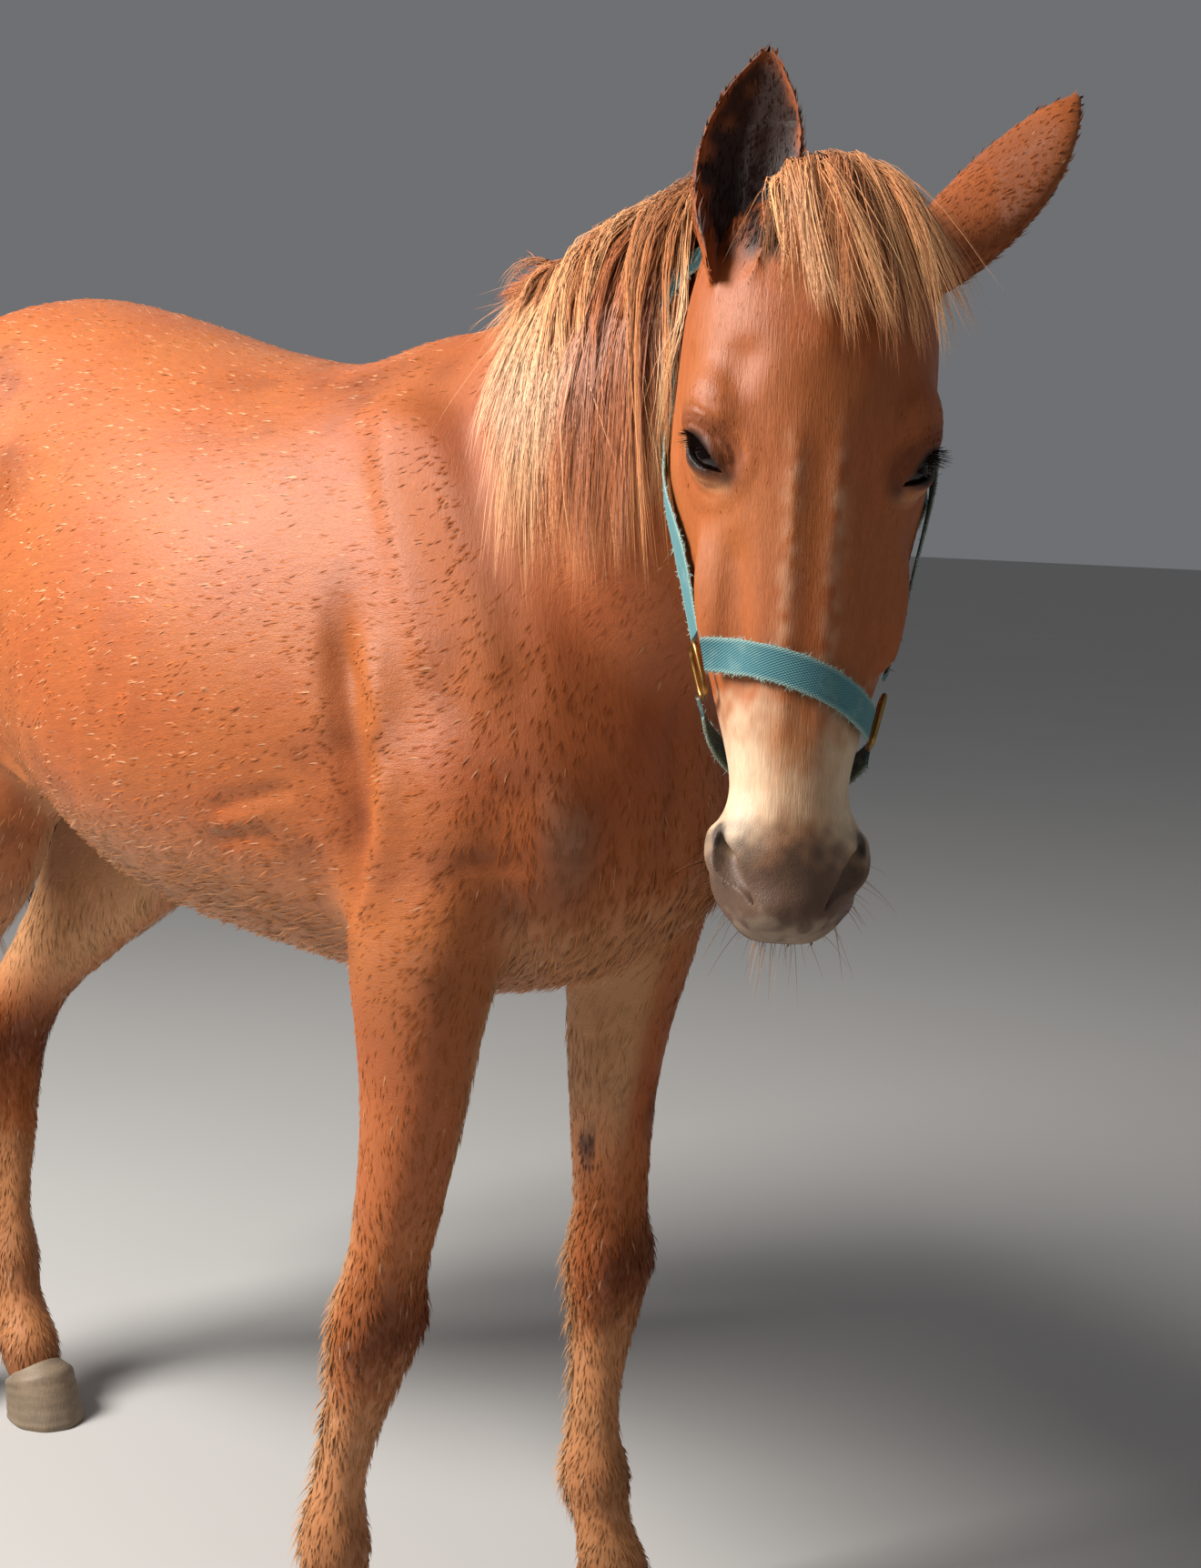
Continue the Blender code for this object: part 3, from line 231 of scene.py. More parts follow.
# Forms of the head, each centre down the face from the poll, out of the face and to the left, with half
# lengths out of the face, across and down it
HEAD_SIDE_FORMS = {
    "cheek": ((0.215, -0.085, 0.068), (0.070, 0.036, 0.090)),
    "facial crest": ((0.330, 0.012, 0.066), (0.020, 0.016, 0.075)),
    "brow": ((0.205, 0.022, 0.069), (0.044, 0.036, 0.046)),
    "nostril wing": ((0.548, 0.008, 0.047), (0.026, 0.015, 0.032)),
}
HEAD_MIDDLE_FORMS = {
    "upper lip": ((0.590, 0.022, 0.0), (0.030, 0.040, 0.024)),
    "chin": ((0.574, -0.032, 0.026), (0.030, 0.036, 0.028)),
}

# Eyes on the right: the middle of the slit on the skin, the way the eye looks, and the line of the slit, each
# as out of the face, to the left and up
EYE_AT = (0.243, 0.036, -0.085)
EYE_DEPTH = 0.0195
EYE_LOOK = Vector((0.53, -0.84, -0.05)).normalized()
EYE_SLIT = Vector((0.50, 0.38, -0.70)).normalized()
LID_THICKNESS = 0.0052
# The opening between the lids: half its length, and how far it opens above and below its line
SLIT_HALF_LENGTH = 0.0250
SLIT_UPPER = 0.0076
SLIT_LOWER = 0.0066
# Rings and points round of an eyeball, and how far its cornea bulges
EYE_GRID = (48, 64)
CORNEA_BULGE = 0.0010

# The line between the lips from the right corner to the middle of the front
MOUTH_LINE = ((0.520, -0.032, -0.050), (0.555, -0.026, -0.052), (0.590, -0.016, -0.038), (0.612, -0.010, 0.0))

# Ears: root and tip in head space, the way the cup faces as out of the face, to the left and up, and how far
# the middle bows
EARS = {
    "ear_right": ((0.112, 0.044, -0.071), (-0.072, 0.062, -0.054), (0.96, -0.22, 0.0), (-0.006, -0.002, 0.0)),
    "ear_left": ((0.098, 0.000, 0.055), (-0.095, -0.030, 0.210), (-0.72, 0.10, -0.60), (0.0, 0.006, -0.008)),
}
# Rings of an ear, and points across each side of its wall
EAR_GRID = (44, 26)
# Sections of an ear: share of its length, half width, depth, half angle of its wall in degrees, thickness
EAR_SECTIONS = (
    (0.00, 0.026, 0.026, 150, 0.0150),
    (0.14, 0.030, 0.026, 135, 0.0070),
    (0.32, 0.040, 0.025, 108, 0.0040),
    (0.52, 0.046, 0.023, 92, 0.0036),
    (0.72, 0.041, 0.019, 84, 0.0034),
    (0.88, 0.026, 0.012, 80, 0.0030),
    (0.97, 0.011, 0.006, 80, 0.0026),
    (1.00, 0.005, 0.004, 80, 0.0022),
)

# Hooves: half length and half width on the ground and at the coronet, coronet height at the toe and the heel
HOOF_GROUND = (0.057, 0.050)
HOOF_CORONET = (0.046, 0.043)
HOOF_TOE_HEIGHT = 0.082
HOOF_HEEL_HEIGHT = 0.048
HOOF_SLOPE = 0.022
HOOF_GRID = (30, 72)

# The dock of the tail: place and radius
TAIL_DOCK = (
    ((-0.640, 0.000, 1.225), 0.038),
    ((-0.695, 0.000, 1.195), 0.034),
    ((-0.725, 0.004, 1.120), 0.029),
    ((-0.730, 0.012, 1.020), 0.021),
    ((-0.728, 0.020, 0.950), 0.010),
)

# Loops of the halter: half sizes, radius of the wire, how far they stand off the skin, and for each one its
# place and the place that its long side points to
RING_HALF_WIDTH = 0.014
RING_HALF_LENGTH = 0.021
RING_WIRE = 0.0022
RING_CLEAR = 0.0055
RINGS = {
    "right": ((0.406, -0.014, -0.078), (0.350, -0.024, -0.086)),
    "left": ((0.440, -0.010, 0.080), (0.380, -0.020, 0.084)),
}
# Straps of the halter in head space, from end to end, and how far each hangs clear of the skin
STRAPS = {
    "noseband": (
        ((0.396, 0.018, -0.072), (0.401, 0.040, -0.058), (0.408, 0.060, -0.025), (0.418, 0.066, 0.008),
         (0.430, 0.056, 0.040), (0.440, 0.036, 0.060), (0.445, 0.012, 0.074)), 0.0026),
    "chin_strap": (
        ((0.434, -0.026, -0.074), (0.452, -0.048, -0.064), (0.472, -0.075, -0.038), (0.482, -0.090, 0.0),
         (0.484, -0.080, 0.035), (0.474, -0.052, 0.066), (0.464, -0.026, 0.078)), 0.0090),
    "headpiece": (
        ((0.378, -0.014, -0.083), (0.310, -0.026, -0.097), (0.250, -0.066, -0.102), (0.205, -0.108, -0.092),
         (0.150, -0.124, -0.080), (0.080, -0.112, -0.056), (0.032, -0.100, 0.0), (0.045, -0.096, 0.045),
         (0.100, -0.088, 0.078), (0.165, -0.074, 0.096), (0.235, -0.048, 0.104), (0.300, -0.030, 0.098),
         (0.402, -0.020, 0.084)), 0.0026),
    "throat_strap": (
        ((0.270, -0.118, -0.096), (0.290, -0.145, -0.080), (0.308, -0.176, -0.050), (0.315, -0.190, 0.0),
         (0.300, -0.165, 0.060), (0.270, -0.110, 0.100), (0.238, -0.072, 0.108)), 0.0030),
}

# How deep under the skin a tuft of the coat has its root
ROOT_DEPTH = 0.0010
# Steps along a strap while it is laid on the head, as in the solids, and in its finished mesh
SOLID_STRAP_STEP = 0.014
FINE_STRAP_STEP = 0.0035
STRAP_CLEARANCE = 0.0012
# The weave: one wave of the ribs along a strap and of the yarns across it, each two threads long
RIB_PITCH = 0.0032
YARN_PITCH = 0.0022
# The angle over which an edge of a hoof or strap stays sharp
SHARP_ANGLE = math.radians(50)

# Seed of the random draws, how many strands each part of the hair has in all, steps along one, and the side
# of the patch of the map that each takes
SEED = 7
MANE_STRANDS = 4200
FORELOCK_STRANDS = 3000
TAIL_STRANDS = 3700
LASHES = 90
WHISKERS = 120
STRAND_STEPS = 8
LASH_STEPS = 7
WHISKER_STEPS = 8
MAP_PATCH = 0.003

# Bare horny patches on the legs: which leg, height, and how far forwards and to the left, with half sizes
CALLOSITIES = (
    ("foreleg_left", (0.560, 0.004, -0.040), (0.012, 0.018, 0.026)),
    ("foreleg_right", (0.560, 0.004, 0.040), (0.012, 0.018, 0.026)),
    ("hindleg_left", (0.470, -0.010, -0.036), (0.010, 0.016, 0.020)),
    ("hindleg_right", (0.470, -0.010, 0.036), (0.010, 0.016, 0.020)),
)
# The photograph's view: place, turn, lean and roll in degrees, and focal length in its pixels
CAMERA_AT = (2.01, -1.45, 1.24)
CAMERA_TURNS = (135.6, 7.5, 1.5)
CAMERA_FOCAL = 2412.0
PHOTO_HEIGHT = 1724
SENSOR_HEIGHT = 36.0
# The studio: half the floor's side, and place and side of each square light; all look at one point
FLOOR_HALF = 40.0
KEY_LIGHT = ((-1.2, -2.5, 3.3), 1.5)
FILL_LIGHT = ((3.4, 0.6, 2.2), 3.0)
RIM_LIGHT = ((-2.4, 1.6, 3.0), 2.0)
RIM_POWER = 1.2
LIGHTS_LOOK_AT = (0.1, 0, 1.0)
LIGHT_COLOUR = (1.0, 0.97, 0.93)
SKY_COLOUR = (0.93, 0.95, 1.0, 1.0)

# Colours of the coat, hair, hooves and halter, as they look in plain daylight
COAT_RED = "#A4532A"
COAT_DARK = "#5A2814"
COAT_GOLD = "#BB743C"
COAT_PALE = "#CFA173"
COAT_FLECK = "#DDAE8A"
MUZZLE_GREY = "#5B463A"
MUZZLE_CREAM = "#E0C8A8"
EYE_SKIN = "#382620"
EAR_CUP_SKIN_AND_SHADE = "#200F09"
CHESTNUT_DARK = "#3A2018"
NOSTRIL_SKIN_AND_SHADE = "#2A1D1C"
LID_RIM = "#100807"
EAR_CUP_SHADE = "#120807"
EYE_EDGE = "#2A1712"
IRIS_BROWN = "#1C0D06"
PUPIL_BLACK = "#050405"
LASH_DARK = "#1A1110"
WHISKER_GOLD = "#C08A5C"
HAIR_FLAXEN = "#F2B684"
FORELOCK_ROOT = "#D8834C"
FORELOCK_TIP = "#FFBF88"
HAIR_RED = "#CD8048"
MANE_UNDER_ROOT = "#96502C"
MANE_UNDER_TIP = "#CC8854"
TAIL_RED = "#4E2A1C"
TAIL_TIP = "#7E4A30"
HAIR_WARM = "#A85A30"
HAIR_SHEEN = "#F6DDC2"
HORN = "#6E6154"
HOOF_DUST = "#9A8468"
WEB_TEAL = "#4F8890"
WEB_DARK = "#1F3B3E"
FRAY = "#A9C3B8"
BRASS = "#B99352"
BRASS_DULL = "#7A5A30"

# Folds of the body on each side, x, y (left) and z along each, with half width and height (minus is a groove)
BODY_FOLDS = (
    (((0.44, 0.10, 1.31), (0.52, 0.13, 1.17), (0.585, 0.135, 1.03)), 0.022, -0.0060),
    (((0.366, 0.19, 1.15), (0.402, 0.215, 1.03), (0.418, 0.22, 0.965), (0.408, 0.215, 0.885),
      (0.392, 0.19, 0.820)), 0.020, -0.0150),
    (((0.410, 0.19, 1.12), (0.446, 0.215, 1.02), (0.462, 0.22, 0.965), (0.450, 0.21, 0.890),
      (0.430, 0.19, 0.830)), 0.022, 0.0090),
    (((0.442, 0.15, 1.327), (0.507, 0.17, 1.28), (0.545, 0.18, 1.229)), 0.014, 0.0045),
    (((0.554, 0.15, 1.281), (0.582, 0.16, 1.242), (0.604, 0.17, 1.201)), 0.012, 0.0040),
    (((0.35, 0.11, 1.30), (0.43, 0.15, 1.17), (0.50, 0.17, 1.06)), 0.014, 0.0030),
    (((0.36, 0.17, 1.11), (0.44, 0.19, 1.02), (0.49, 0.19, 0.95)), 0.011, -0.0030),
    (((0.17, 0.25, 1.16), (0.14, 0.275, 1.02), (0.10, 0.26, 0.88)), 0.014, 0.0016),
    (((0.10, 0.26, 1.16), (0.07, 0.285, 1.02), (0.03, 0.27, 0.87)), 0.014, 0.0018),
    (((0.03, 0.26, 1.16), (0.00, 0.29, 1.01), (-0.04, 0.27, 0.86)), 0.014, 0.0018),
    (((-0.04, 0.26, 1.15), (-0.07, 0.285, 1.01), (-0.11, 0.26, 0.88)), 0.014, 0.0016),
    (((-0.18, 0.24, 0.88), (-0.26, 0.215, 0.93), (-0.31, 0.20, 0.99)), 0.014, 0.0070),
    (((-0.17, 0.23, 1.24), (-0.24, 0.21, 1.16), (-0.26, 0.20, 1.08)), 0.040, -0.0080),
    (((0.21, 0.20, 0.86), (0.24, 0.17, 0.82), (0.26, 0.12, 0.79)), 0.006, -0.0026),
    (((0.185, 0.21, 0.855), (0.21, 0.18, 0.81), (0.23, 0.12, 0.775)), 0.006, -0.0022),
    (((-0.62, 0.09, 1.18), (-0.64, 0.115, 1.00), (-0.60, 0.12, 0.84)), 0.016, -0.0060),
    (((0.46, 0.07, 0.86), (0.50, 0.09, 0.90), (0.55, 0.10, 0.93)), 0.009, -0.0045),
    (((0.225, 0.235, 0.925), (0.29, 0.24, 0.945), (0.345, 0.225, 0.955)), 0.009, -0.0036),
    (((0.215, 0.225, 0.895), (0.27, 0.225, 0.905), (0.31, 0.215, 0.905)), 0.008, -0.0030),
    (((0.235, 0.23, 0.912), (0.30, 0.23, 0.925)), 0.007, 0.0020),
)
# Folds of the head on each side, down the face, out of it and to the left, the same way
HEAD_FOLDS = (
    (
        ((0.200, 0.080, 0.017), (0.330, 0.070, 0.018), (0.420, 0.062, 0.017), (0.480, 0.056, 0.015)), 0.0080,
        0.0022,
    ),
    (((0.292, 0.012, 0.090), (0.345, 0.010, 0.080), (0.405, 0.008, 0.068)), 0.0080, 0.0050),
    (((0.300, 0.045, 0.062), (0.380, 0.040, 0.055), (0.450, 0.034, 0.048)), 0.013, -0.0045),
    (((0.175, 0.055, 0.055), (0.190, 0.052, 0.062)), 0.016, -0.0080),
    (((0.150, 0.020, 0.085), (0.190, -0.005, 0.092), (0.240, -0.030, 0.096)), 0.014, -0.0035),
    (
        ((0.120, -0.080, 0.088), (0.200, -0.110, 0.092), (0.275, -0.140, 0.075), (0.335, -0.135, 0.050)),
        0.009, 0.0030,
    ),
    (((0.300, -0.040, 0.094), (0.345, -0.075, 0.082), (0.390, -0.090, 0.066)), 0.009, -0.0040),
    (
        ((0.300, -0.010, 0.090), (0.345, -0.022, 0.084), (0.395, -0.018, 0.074), (0.440, 0.010, 0.060)),
        0.0026, 0.0017,
    ),
    (((0.385, -0.010, 0.073), (0.430, -0.020, 0.062), (0.480, -0.018, 0.054)), 0.0022, 0.0014),
    (
        ((0.522, 0.006, 0.058), (0.545, 0.008, 0.064), (0.568, 0.020, 0.060), (0.590, 0.034, 0.049)), 0.0065,
        0.0050,
    ),
    (
        ((0.525, 0.046, 0.048), (0.545, 0.053, 0.044), (0.565, 0.058, 0.038), (0.585, 0.058, 0.030)), 0.0050,
        0.0034,
    ),
    (((0.505, 0.034, 0.034), (0.540, 0.048, 0.028)), 0.012, -0.0030),
    (
        ((0.560, -0.020, 0.052), (0.585, -0.006, 0.046), (0.604, 0.006, 0.028), (0.612, 0.008, 0.008)),
        0.0060, 0.0026,
    ),
    (((0.545, -0.040, 0.048), (0.580, -0.034, 0.042), (0.603, -0.028, 0.020)), 0.0060, 0.0028),
    (((0.515, -0.030, 0.052), (0.524, -0.012, 0.056)), 0.0030, -0.0016),
)
# Folds down the middle of the face, chin and breast, in head space and in the body's
HEAD_MIDDLE_FOLDS = (
    (((0.230, 0.080, 0.0), (0.330, 0.070, 0.0), (0.450, 0.060, 0.0)), 0.010, -0.0012),
    (((0.590, 0.050, 0.0), (0.606, 0.030, 0.0), (0.614, 0.008, 0.0)), 0.004, -0.0016),
    (((0.100, 0.075, 0.0), (0.160, 0.082, 0.0)), 0.018, 0.0030),
)
BODY_MIDDLE_FOLDS = (
    (((0.640, 0.0, 1.08), (0.635, 0.0, 0.98), (0.585, 0.0, 0.86)), 0.012, -0.0060),
)
# Creases of the lids: how far each stands from the middle of the slit, its half width and its depth
LID_CREASES = ((0.0185, 0.0014, -0.0014), (0.0235, 0.0018, -0.0016), (0.0295, 0.0022, -0.0014))

# The opening of the right nostril: places in head space and half widths across
NOSTRIL_PATH = (
    (0.534, 0.022, -0.056),
    (0.550, 0.030, -0.058),
    (0.566, 0.037, -0.054),
    (0.581, 0.044, -0.046),
    (0.594, 0.047, -0.037),
)
NOSTRIL_WIDTHS = (0.0055, 0.0115, 0.0120, 0.0070, 0.0028)
NOSTRIL_SINK = 0.020
LIP_GAP = 0.0011
LIP_SINK = 0.0065


def spline(knots, values, places):
    """A smooth curve through the values at the knots, read at the places (cubic, slopes from neighbours)."""
    knots, values = np.asarray(knots, float), np.asarray(values, float)
    if values.ndim == 1:
        return spline(knots, values[:, None], places)[:, 0]
    slopes = np.gradient(values, knots, axis=0)
    i = np.clip(np.searchsorted(knots, places, side="right") - 1, 0, len(knots) - 2)
    step = (knots[i + 1] - knots[i])[:, None]
    t = (np.asarray(places, float)[:, None] - knots[i][:, None]) / step
    return (
        (2 * t**3 - 3 * t**2 + 1) * values[i]
        + (t**3 - 2 * t**2 + t) * step * slopes[i]
        + (3 * t**2 - 2 * t**3) * values[i + 1]
        + (t**3 - t**2) * step * slopes[i + 1]
    )


def unit(vectors):
    return vectors / np.linalg.norm(vectors, axis=-1, keepdims=True)


def rings(centres, side, up, width, top, bottom, square_top, square_bottom, count):
    """Superellipse rings, one for each centre: width along side, top and bottom along up."""
    angles = np.linspace(0, 2 * math.pi, count, endpoint=False)
    c, s = np.cos(angles), np.sin(angles)

    def column(value):
        return np.broadcast_to(np.asarray(value, float), (len(centres),))[:, None]

    power = 2 / np.where(s >= 0, column(square_top), column(square_bottom))
    across = np.sign(c) * np.abs(c) ** power * column(width)
    along = np.sign(s) * np.abs(s) ** power * np.where(s >= 0, column(top), column(bottom))
    side = np.broadcast_to(side, centres.shape)
    up = np.broadcast_to(up, centres.shape)
    return centres[:, None] + across[..., None] * side[:, None] + along[..., None] * up[:, None]


def lofted(stack):
    """Vertices and faces of a closed tube through a stack of rings, with a fan at each end."""
    count, around = stack.shape[:2]
    points = np.concatenate([stack.reshape(-1, 3), [stack[0].mean(0)], [stack[-1].mean(0)]])
    row = np.arange(count - 1)[:, None] * around
    j = np.arange(around)[None]
    k = (j + 1) % around
    quads = np.stack([row + j, row + k, row + around + k, row + around + j], -1).reshape(-1, 4)
    first, last = count * around, count * around + 1
    end = (count - 1) * around
    faces = quads.tolist()
    faces += [[first, b, a] for a, b in zip(j[0].tolist(), k[0].tolist())]
    faces += [[last, end + a, end + b] for a, b in zip(j[0].tolist(), k[0].tolist())]
    return points, faces


def ball(centre, radii, tilt=0.0, turn=None, around=24):
    """Vertices and faces of an ellipsoid, tilted about +Y in degrees and then turned by a matrix."""
    levels = np.linspace(-math.pi / 2, math.pi / 2, around // 2 + 3)[1:-1]
    heights = np.stack([0 * levels, 0 * levels, np.sin(levels)], -1)
    stack = rings(heights, (1, 0, 0), (0, 1, 0), np.cos(levels), np.cos(levels), np.cos(levels), 2, 2, around)
    points, faces = lofted(stack)
    points[-2:] = [[0, 0, -1], [0, 0, 1]]
    matrix = Matrix.Rotation(math.radians(tilt), 3, "Y") @ Matrix.Diagonal(Vector(radii))
    if turn is not None:
        matrix = turn @ matrix
    return points @ np.array(matrix).T + np.array(centre), faces


def mesh_object(name, points, faces):
    mesh = bpy.data.meshes.new(name)
    mesh.from_pydata([tuple(p) for p in points], [], [tuple(f) for f in faces])
    body = bmesh.new()
    body.from_mesh(mesh)
    bmesh.ops.triangulate(body, faces=body.faces)
    bmesh.ops.recalc_face_normals(body, faces=body.faces)
    body.to_mesh(mesh)
    body.free()
    made = bpy.data.objects.new(name, mesh)
    bpy.context.scene.collection.objects.link(made)
    return made


def joined(name, pieces):
    """One object from several closed shapes that overlap."""
    points, faces, start = [], [], 0
    for piece_points, piece_faces in pieces:
        points.append(piece_points)
        faces += [[start + i for i in face] for face in piece_faces]
        start += len(piece_points)
    return mesh_object(name, np.concatenate(points), faces)


def baked(made):
    """Replaces an object's mesh with what its modifiers make of it."""
    graph = bpy.context.evaluated_depsgraph_get()
    mesh = bpy.data.meshes.new_from_object(made.evaluated_get(graph))
    body = bmesh.new()
    body.from_mesh(mesh)
    bmesh.ops.triangulate(body, faces=body.faces)
    body.to_mesh(mesh)
    body.free()
    made.modifiers.clear()
    old, made.data = made.data, mesh
    bpy.data.meshes.remove(old)
    return made


def places_of(mesh):
    points = np.empty(len(mesh.vertices) * 3, np.float32)
    mesh.vertices.foreach_get("co", points)
    return points.reshape(-1, 3).astype(float)


def normals_of(mesh):
    normals = np.empty(len(mesh.vertices) * 3, np.float32)
    mesh.vertex_normals.foreach_get("vector", normals)
    return normals.reshape(-1, 3).astype(float)


def set_places(mesh, points):
    mesh.vertices.foreach_set("co", points.astype(np.float32).ravel())
    mesh.update()


def relax(mesh, weights, rounds):
    """Moves each vertex half way to the mean of its neighbours, times its weight, a number of times."""
    edges = np.empty(len(mesh.edges) * 2, np.int32)
    mesh.edges.foreach_get("vertices", edges)
    a, b = edges.reshape(-1, 2).T
    points = places_of(mesh)
    count = np.bincount(np.concatenate([a, b]), minlength=len(points))[:, None]
    for _ in range(rounds):
        total = np.zeros_like(points)
        for axis in range(3):
            total[:, axis] = np.bincount(a, points[b, axis], len(points)) + np.bincount(
                b, points[a, axis], len(points)
            )
        points += 0.5 * weights[:, None] * (total / count - points)
    set_places(mesh, points)


def fused(name, pieces, voxel):
    """The overlapping pieces as one skin of even faces."""
    made = joined(name, pieces)
    remesh = made.modifiers.new("fuse", "REMESH")
    remesh.mode = "VOXEL"
    remesh.voxel_size = voxel
    return baked(made)


def thinned(made, triangles):
    """Fewer faces, so that the solid has about this many triangles."""
    made.data.calc_loop_triangles()
    ratio = triangles / len(made.data.loop_triangles)
    if ratio < 1:
        decimate = made.modifiers.new("thin", "DECIMATE")
        decimate.ratio = ratio
        decimate.use_collapse_triangulate = True
        baked(made)
    return made


def boolean(made, others, operation):
    """One Boolean of an object with several closed ones, which are then removed."""
    tools = bpy.data.collections.new("tools")
    bpy.context.scene.collection.children.link(tools)
    for other in others:
        bpy.context.scene.collection.objects.unlink(other)
        tools.objects.link(other)
    cut = made.modifiers.new("boolean", "BOOLEAN")
    cut.operation = operation
    cut.operand_type = "COLLECTION"
    cut.collection = tools
    cut.solver = "MANIFOLD"
    baked(made)
    for other in others:
        bpy.data.objects.remove(other)
    bpy.data.collections.remove(tools)
    return made


def islands(made):
    """The closed surfaces of a mesh as lists of face indices, largest first."""
    body = bmesh.new()
    body.from_mesh(made.data)
    body.faces.ensure_lookup_table()
    seen, groups = set(), []
    for face in body.faces:
        if face.index in seen:
            continue
        group, front = [], [face]
        seen.add(face.index)
        while front:
            here = front.pop()
            group.append(here.index)
            for edge in here.edges:
                for other in edge.link_faces:
                    if other.index not in seen:
                        seen.add(other.index)
                        front.append(other)
        groups.append(group)
    body.free()
    return sorted(groups, key=len, reverse=True)


def kept(made, faces):
    """The object with only these faces."""
    wanted = set(faces)
    body = bmesh.new()
    body.from_mesh(made.data)
    bmesh.ops.delete(body, geom=[f for f in body.faces if f.index not in wanted], context="FACES")
    body.to_mesh(made.data)
    body.free()
    return made


def whole(made):
    """Only the largest closed surface of an object."""
    return kept(made, islands(made)[0])


def head_matrix():
    """Head space: X out of the face, Y to the animal's left, Z up the face from the lips to the poll."""
    turn = Matrix.Rotation(HEAD_TURN, 4, "Z")
    lean = Matrix.Rotation(-NOSE_FORWARD, 4, "Y")
    roll = Matrix.Rotation(HEAD_ROLL, 4, "X")
    return Matrix.Translation(POLL) @ turn @ roll @ lean


def head_place(down, out, left=0.0):
    """A point of the head: down the face from the poll, out of the face and to the left, in metres."""
    return head_matrix() @ Vector((out, left, -down))


def trunk_rings():
    rows = np.array(TRUNK)
    shares = np.linspace(0, 1, TRUNK_GRID[0])
    top, wide, bottom, width, ridge, keel = spline(rows[:, 0], rows[:, 1:], shares).T
    centres = np.stack([TRUNK_REAR + shares * TRUNK_LENGTH, 0 * shares, wide * WITHERS_HEIGHT], -1)
    return rings(
        centres, (0, 1, 0), (0, 0, 1), width * BARREL_HALF_WIDTH,
        (top - wide) * WITHERS_HEIGHT, (wide - bottom) * WITHERS_HEIGHT, ridge, keel, TRUNK_GRID[1],
    )


def neck_axis(shares):
    """Centres, side and up directions, half depths and half widths along the neck."""
    centres = np.array([row[0] for row in NECK])
    sizes = np.array([row[1:] for row in NECK])
    knots = np.linspace(0, 1, len(NECK))
    middle = spline(knots, centres, shares)
    ahead = unit(spline(knots, centres, shares + 0.01) - spline(knots, centres, shares - 0.01))
    side = unit(np.cross((0, 0, 1), ahead))
    depth, width = spline(knots, sizes, shares).T
    return middle, side, np.cross(ahead, side), depth, width


def neck_rings():
    middle, side, up, depth, width = neck_axis(np.linspace(0, 1, NECK_GRID[0]))
    return rings(middle, side, up, width, depth, depth, *NECK_SQUARENESS, NECK_GRID[1])


def head_rings():
    rows = np.array(HEAD) * np.array([1, 1, 1, 1, 1, 1 / HEAD_LENGTH])
    shares = np.linspace(0, 1, HEAD_GRID[0])
    face, jaw, width, wide, square = (spline(rows[:, 0], rows[:, 1:], shares) * HEAD_LENGTH).T
    to_world = np.array(head_matrix())
    centres = np.stack([wide, 0 * shares, -shares * HEAD_LENGTH], -1) @ to_world[:3, :3].T + to_world[:3, 3]
    return rings(
        centres, to_world[:3, 1], to_world[:3, 0], width,
        face - wide, wide - jaw, square, JAW_SQUARENESS, HEAD_GRID[1],
    )


def leg_axis(name, heights):
    """The places of a leg's middle at these heights."""
    joints = FORE_JOINT_HEIGHTS if name.startswith("fore") else HIND_JOINT_HEIGHTS
    flat = spline(np.array(joints[::-1]), np.array(LEGS[name][::-1]), heights)
    return np.column_stack([flat, heights])


def leg_rings(name):
    rows = np.array(FORE_SECTIONS if name.startswith("fore") else HIND_SECTIONS)
    heights = np.linspace(rows[0, 0], rows[-1, 0], LEG_GRID[0])
    depth, width = spline(rows[::-1, 0], rows[::-1, 1:], heights).T
    centres = leg_axis(name, heights)
    down = unit(leg_axis(name, heights - 0.01) - leg_axis(name, heights + 0.01))
    # Level rings at the foot, square to the leg above it
    down[-1] = (0, 0, -1)
    ahead = unit(np.cross((0, 1, 0), down) * (-1, -1, -1))
    return rings(centres, (0, 1, 0), ahead, width, depth, depth, LEG_SQUARENESS, LEG_SQUARENESS, LEG_GRID[1])


def side_balls():
    made = []
    for centre, radii, tilt in SIDE_FORMS.values():
        for side in (-1, 1):
            made.append(ball((centre[0], centre[1] * side, centre[2]), radii, tilt))
    return made


def hock_points():
    """The point of each hock, a bony knob behind the joint with the tendon above it."""
    made = []
    for name in ("hindleg_right", "hindleg_left"):
        hock = leg_axis(name, np.array([HOCK_HEIGHT]))[0]
        made.append(ball(hock - (HOCK_BEHIND, 0, 0), HOCK_RADII, HOCK_TILT))
    return made


def head_turn():
    """The turn of head space alone, from out, left and up to the world."""
    return head_matrix().to_3x3()


def eye_centre(side):
    down, out, left = EYE_AT
    look = Vector((EYE_LOOK.x, -side * EYE_LOOK.y, EYE_LOOK.z))
    return head_place(down, out, -side * left) - head_turn() @ look * EYE_DEPTH


def eye_axes(side):
    """Columns along the slit, across it and out of the eye."""
    look = head_turn() @ Vector((EYE_LOOK.x, -side * EYE_LOOK.y, EYE_LOOK.z))
    slit = head_turn() @ Vector((EYE_SLIT.x, -side * EYE_SLIT.y, EYE_SLIT.z))
    slit = (slit - look * slit.dot(look)).normalized()
    return Matrix((slit, look.cross(slit), look)).transposed()


def head_balls():
    turn = head_turn()
    made = []
    for (down, out, left), radii in HEAD_SIDE_FORMS.values():
        for side in (-1, 1):
            made.append(ball(head_place(down, out, side * left), radii, turn=turn))
    for (down, out, left), radii in HEAD_MIDDLE_FORMS.values():
        made.append(ball(head_place(down, out, left), radii, turn=turn))
    return made


def lid_balls():
    radius = EYE_RADIUS + LID_THICKNESS
    return [ball(eye_centre(side), (radius,) * 3) for side in (-1, 1)]


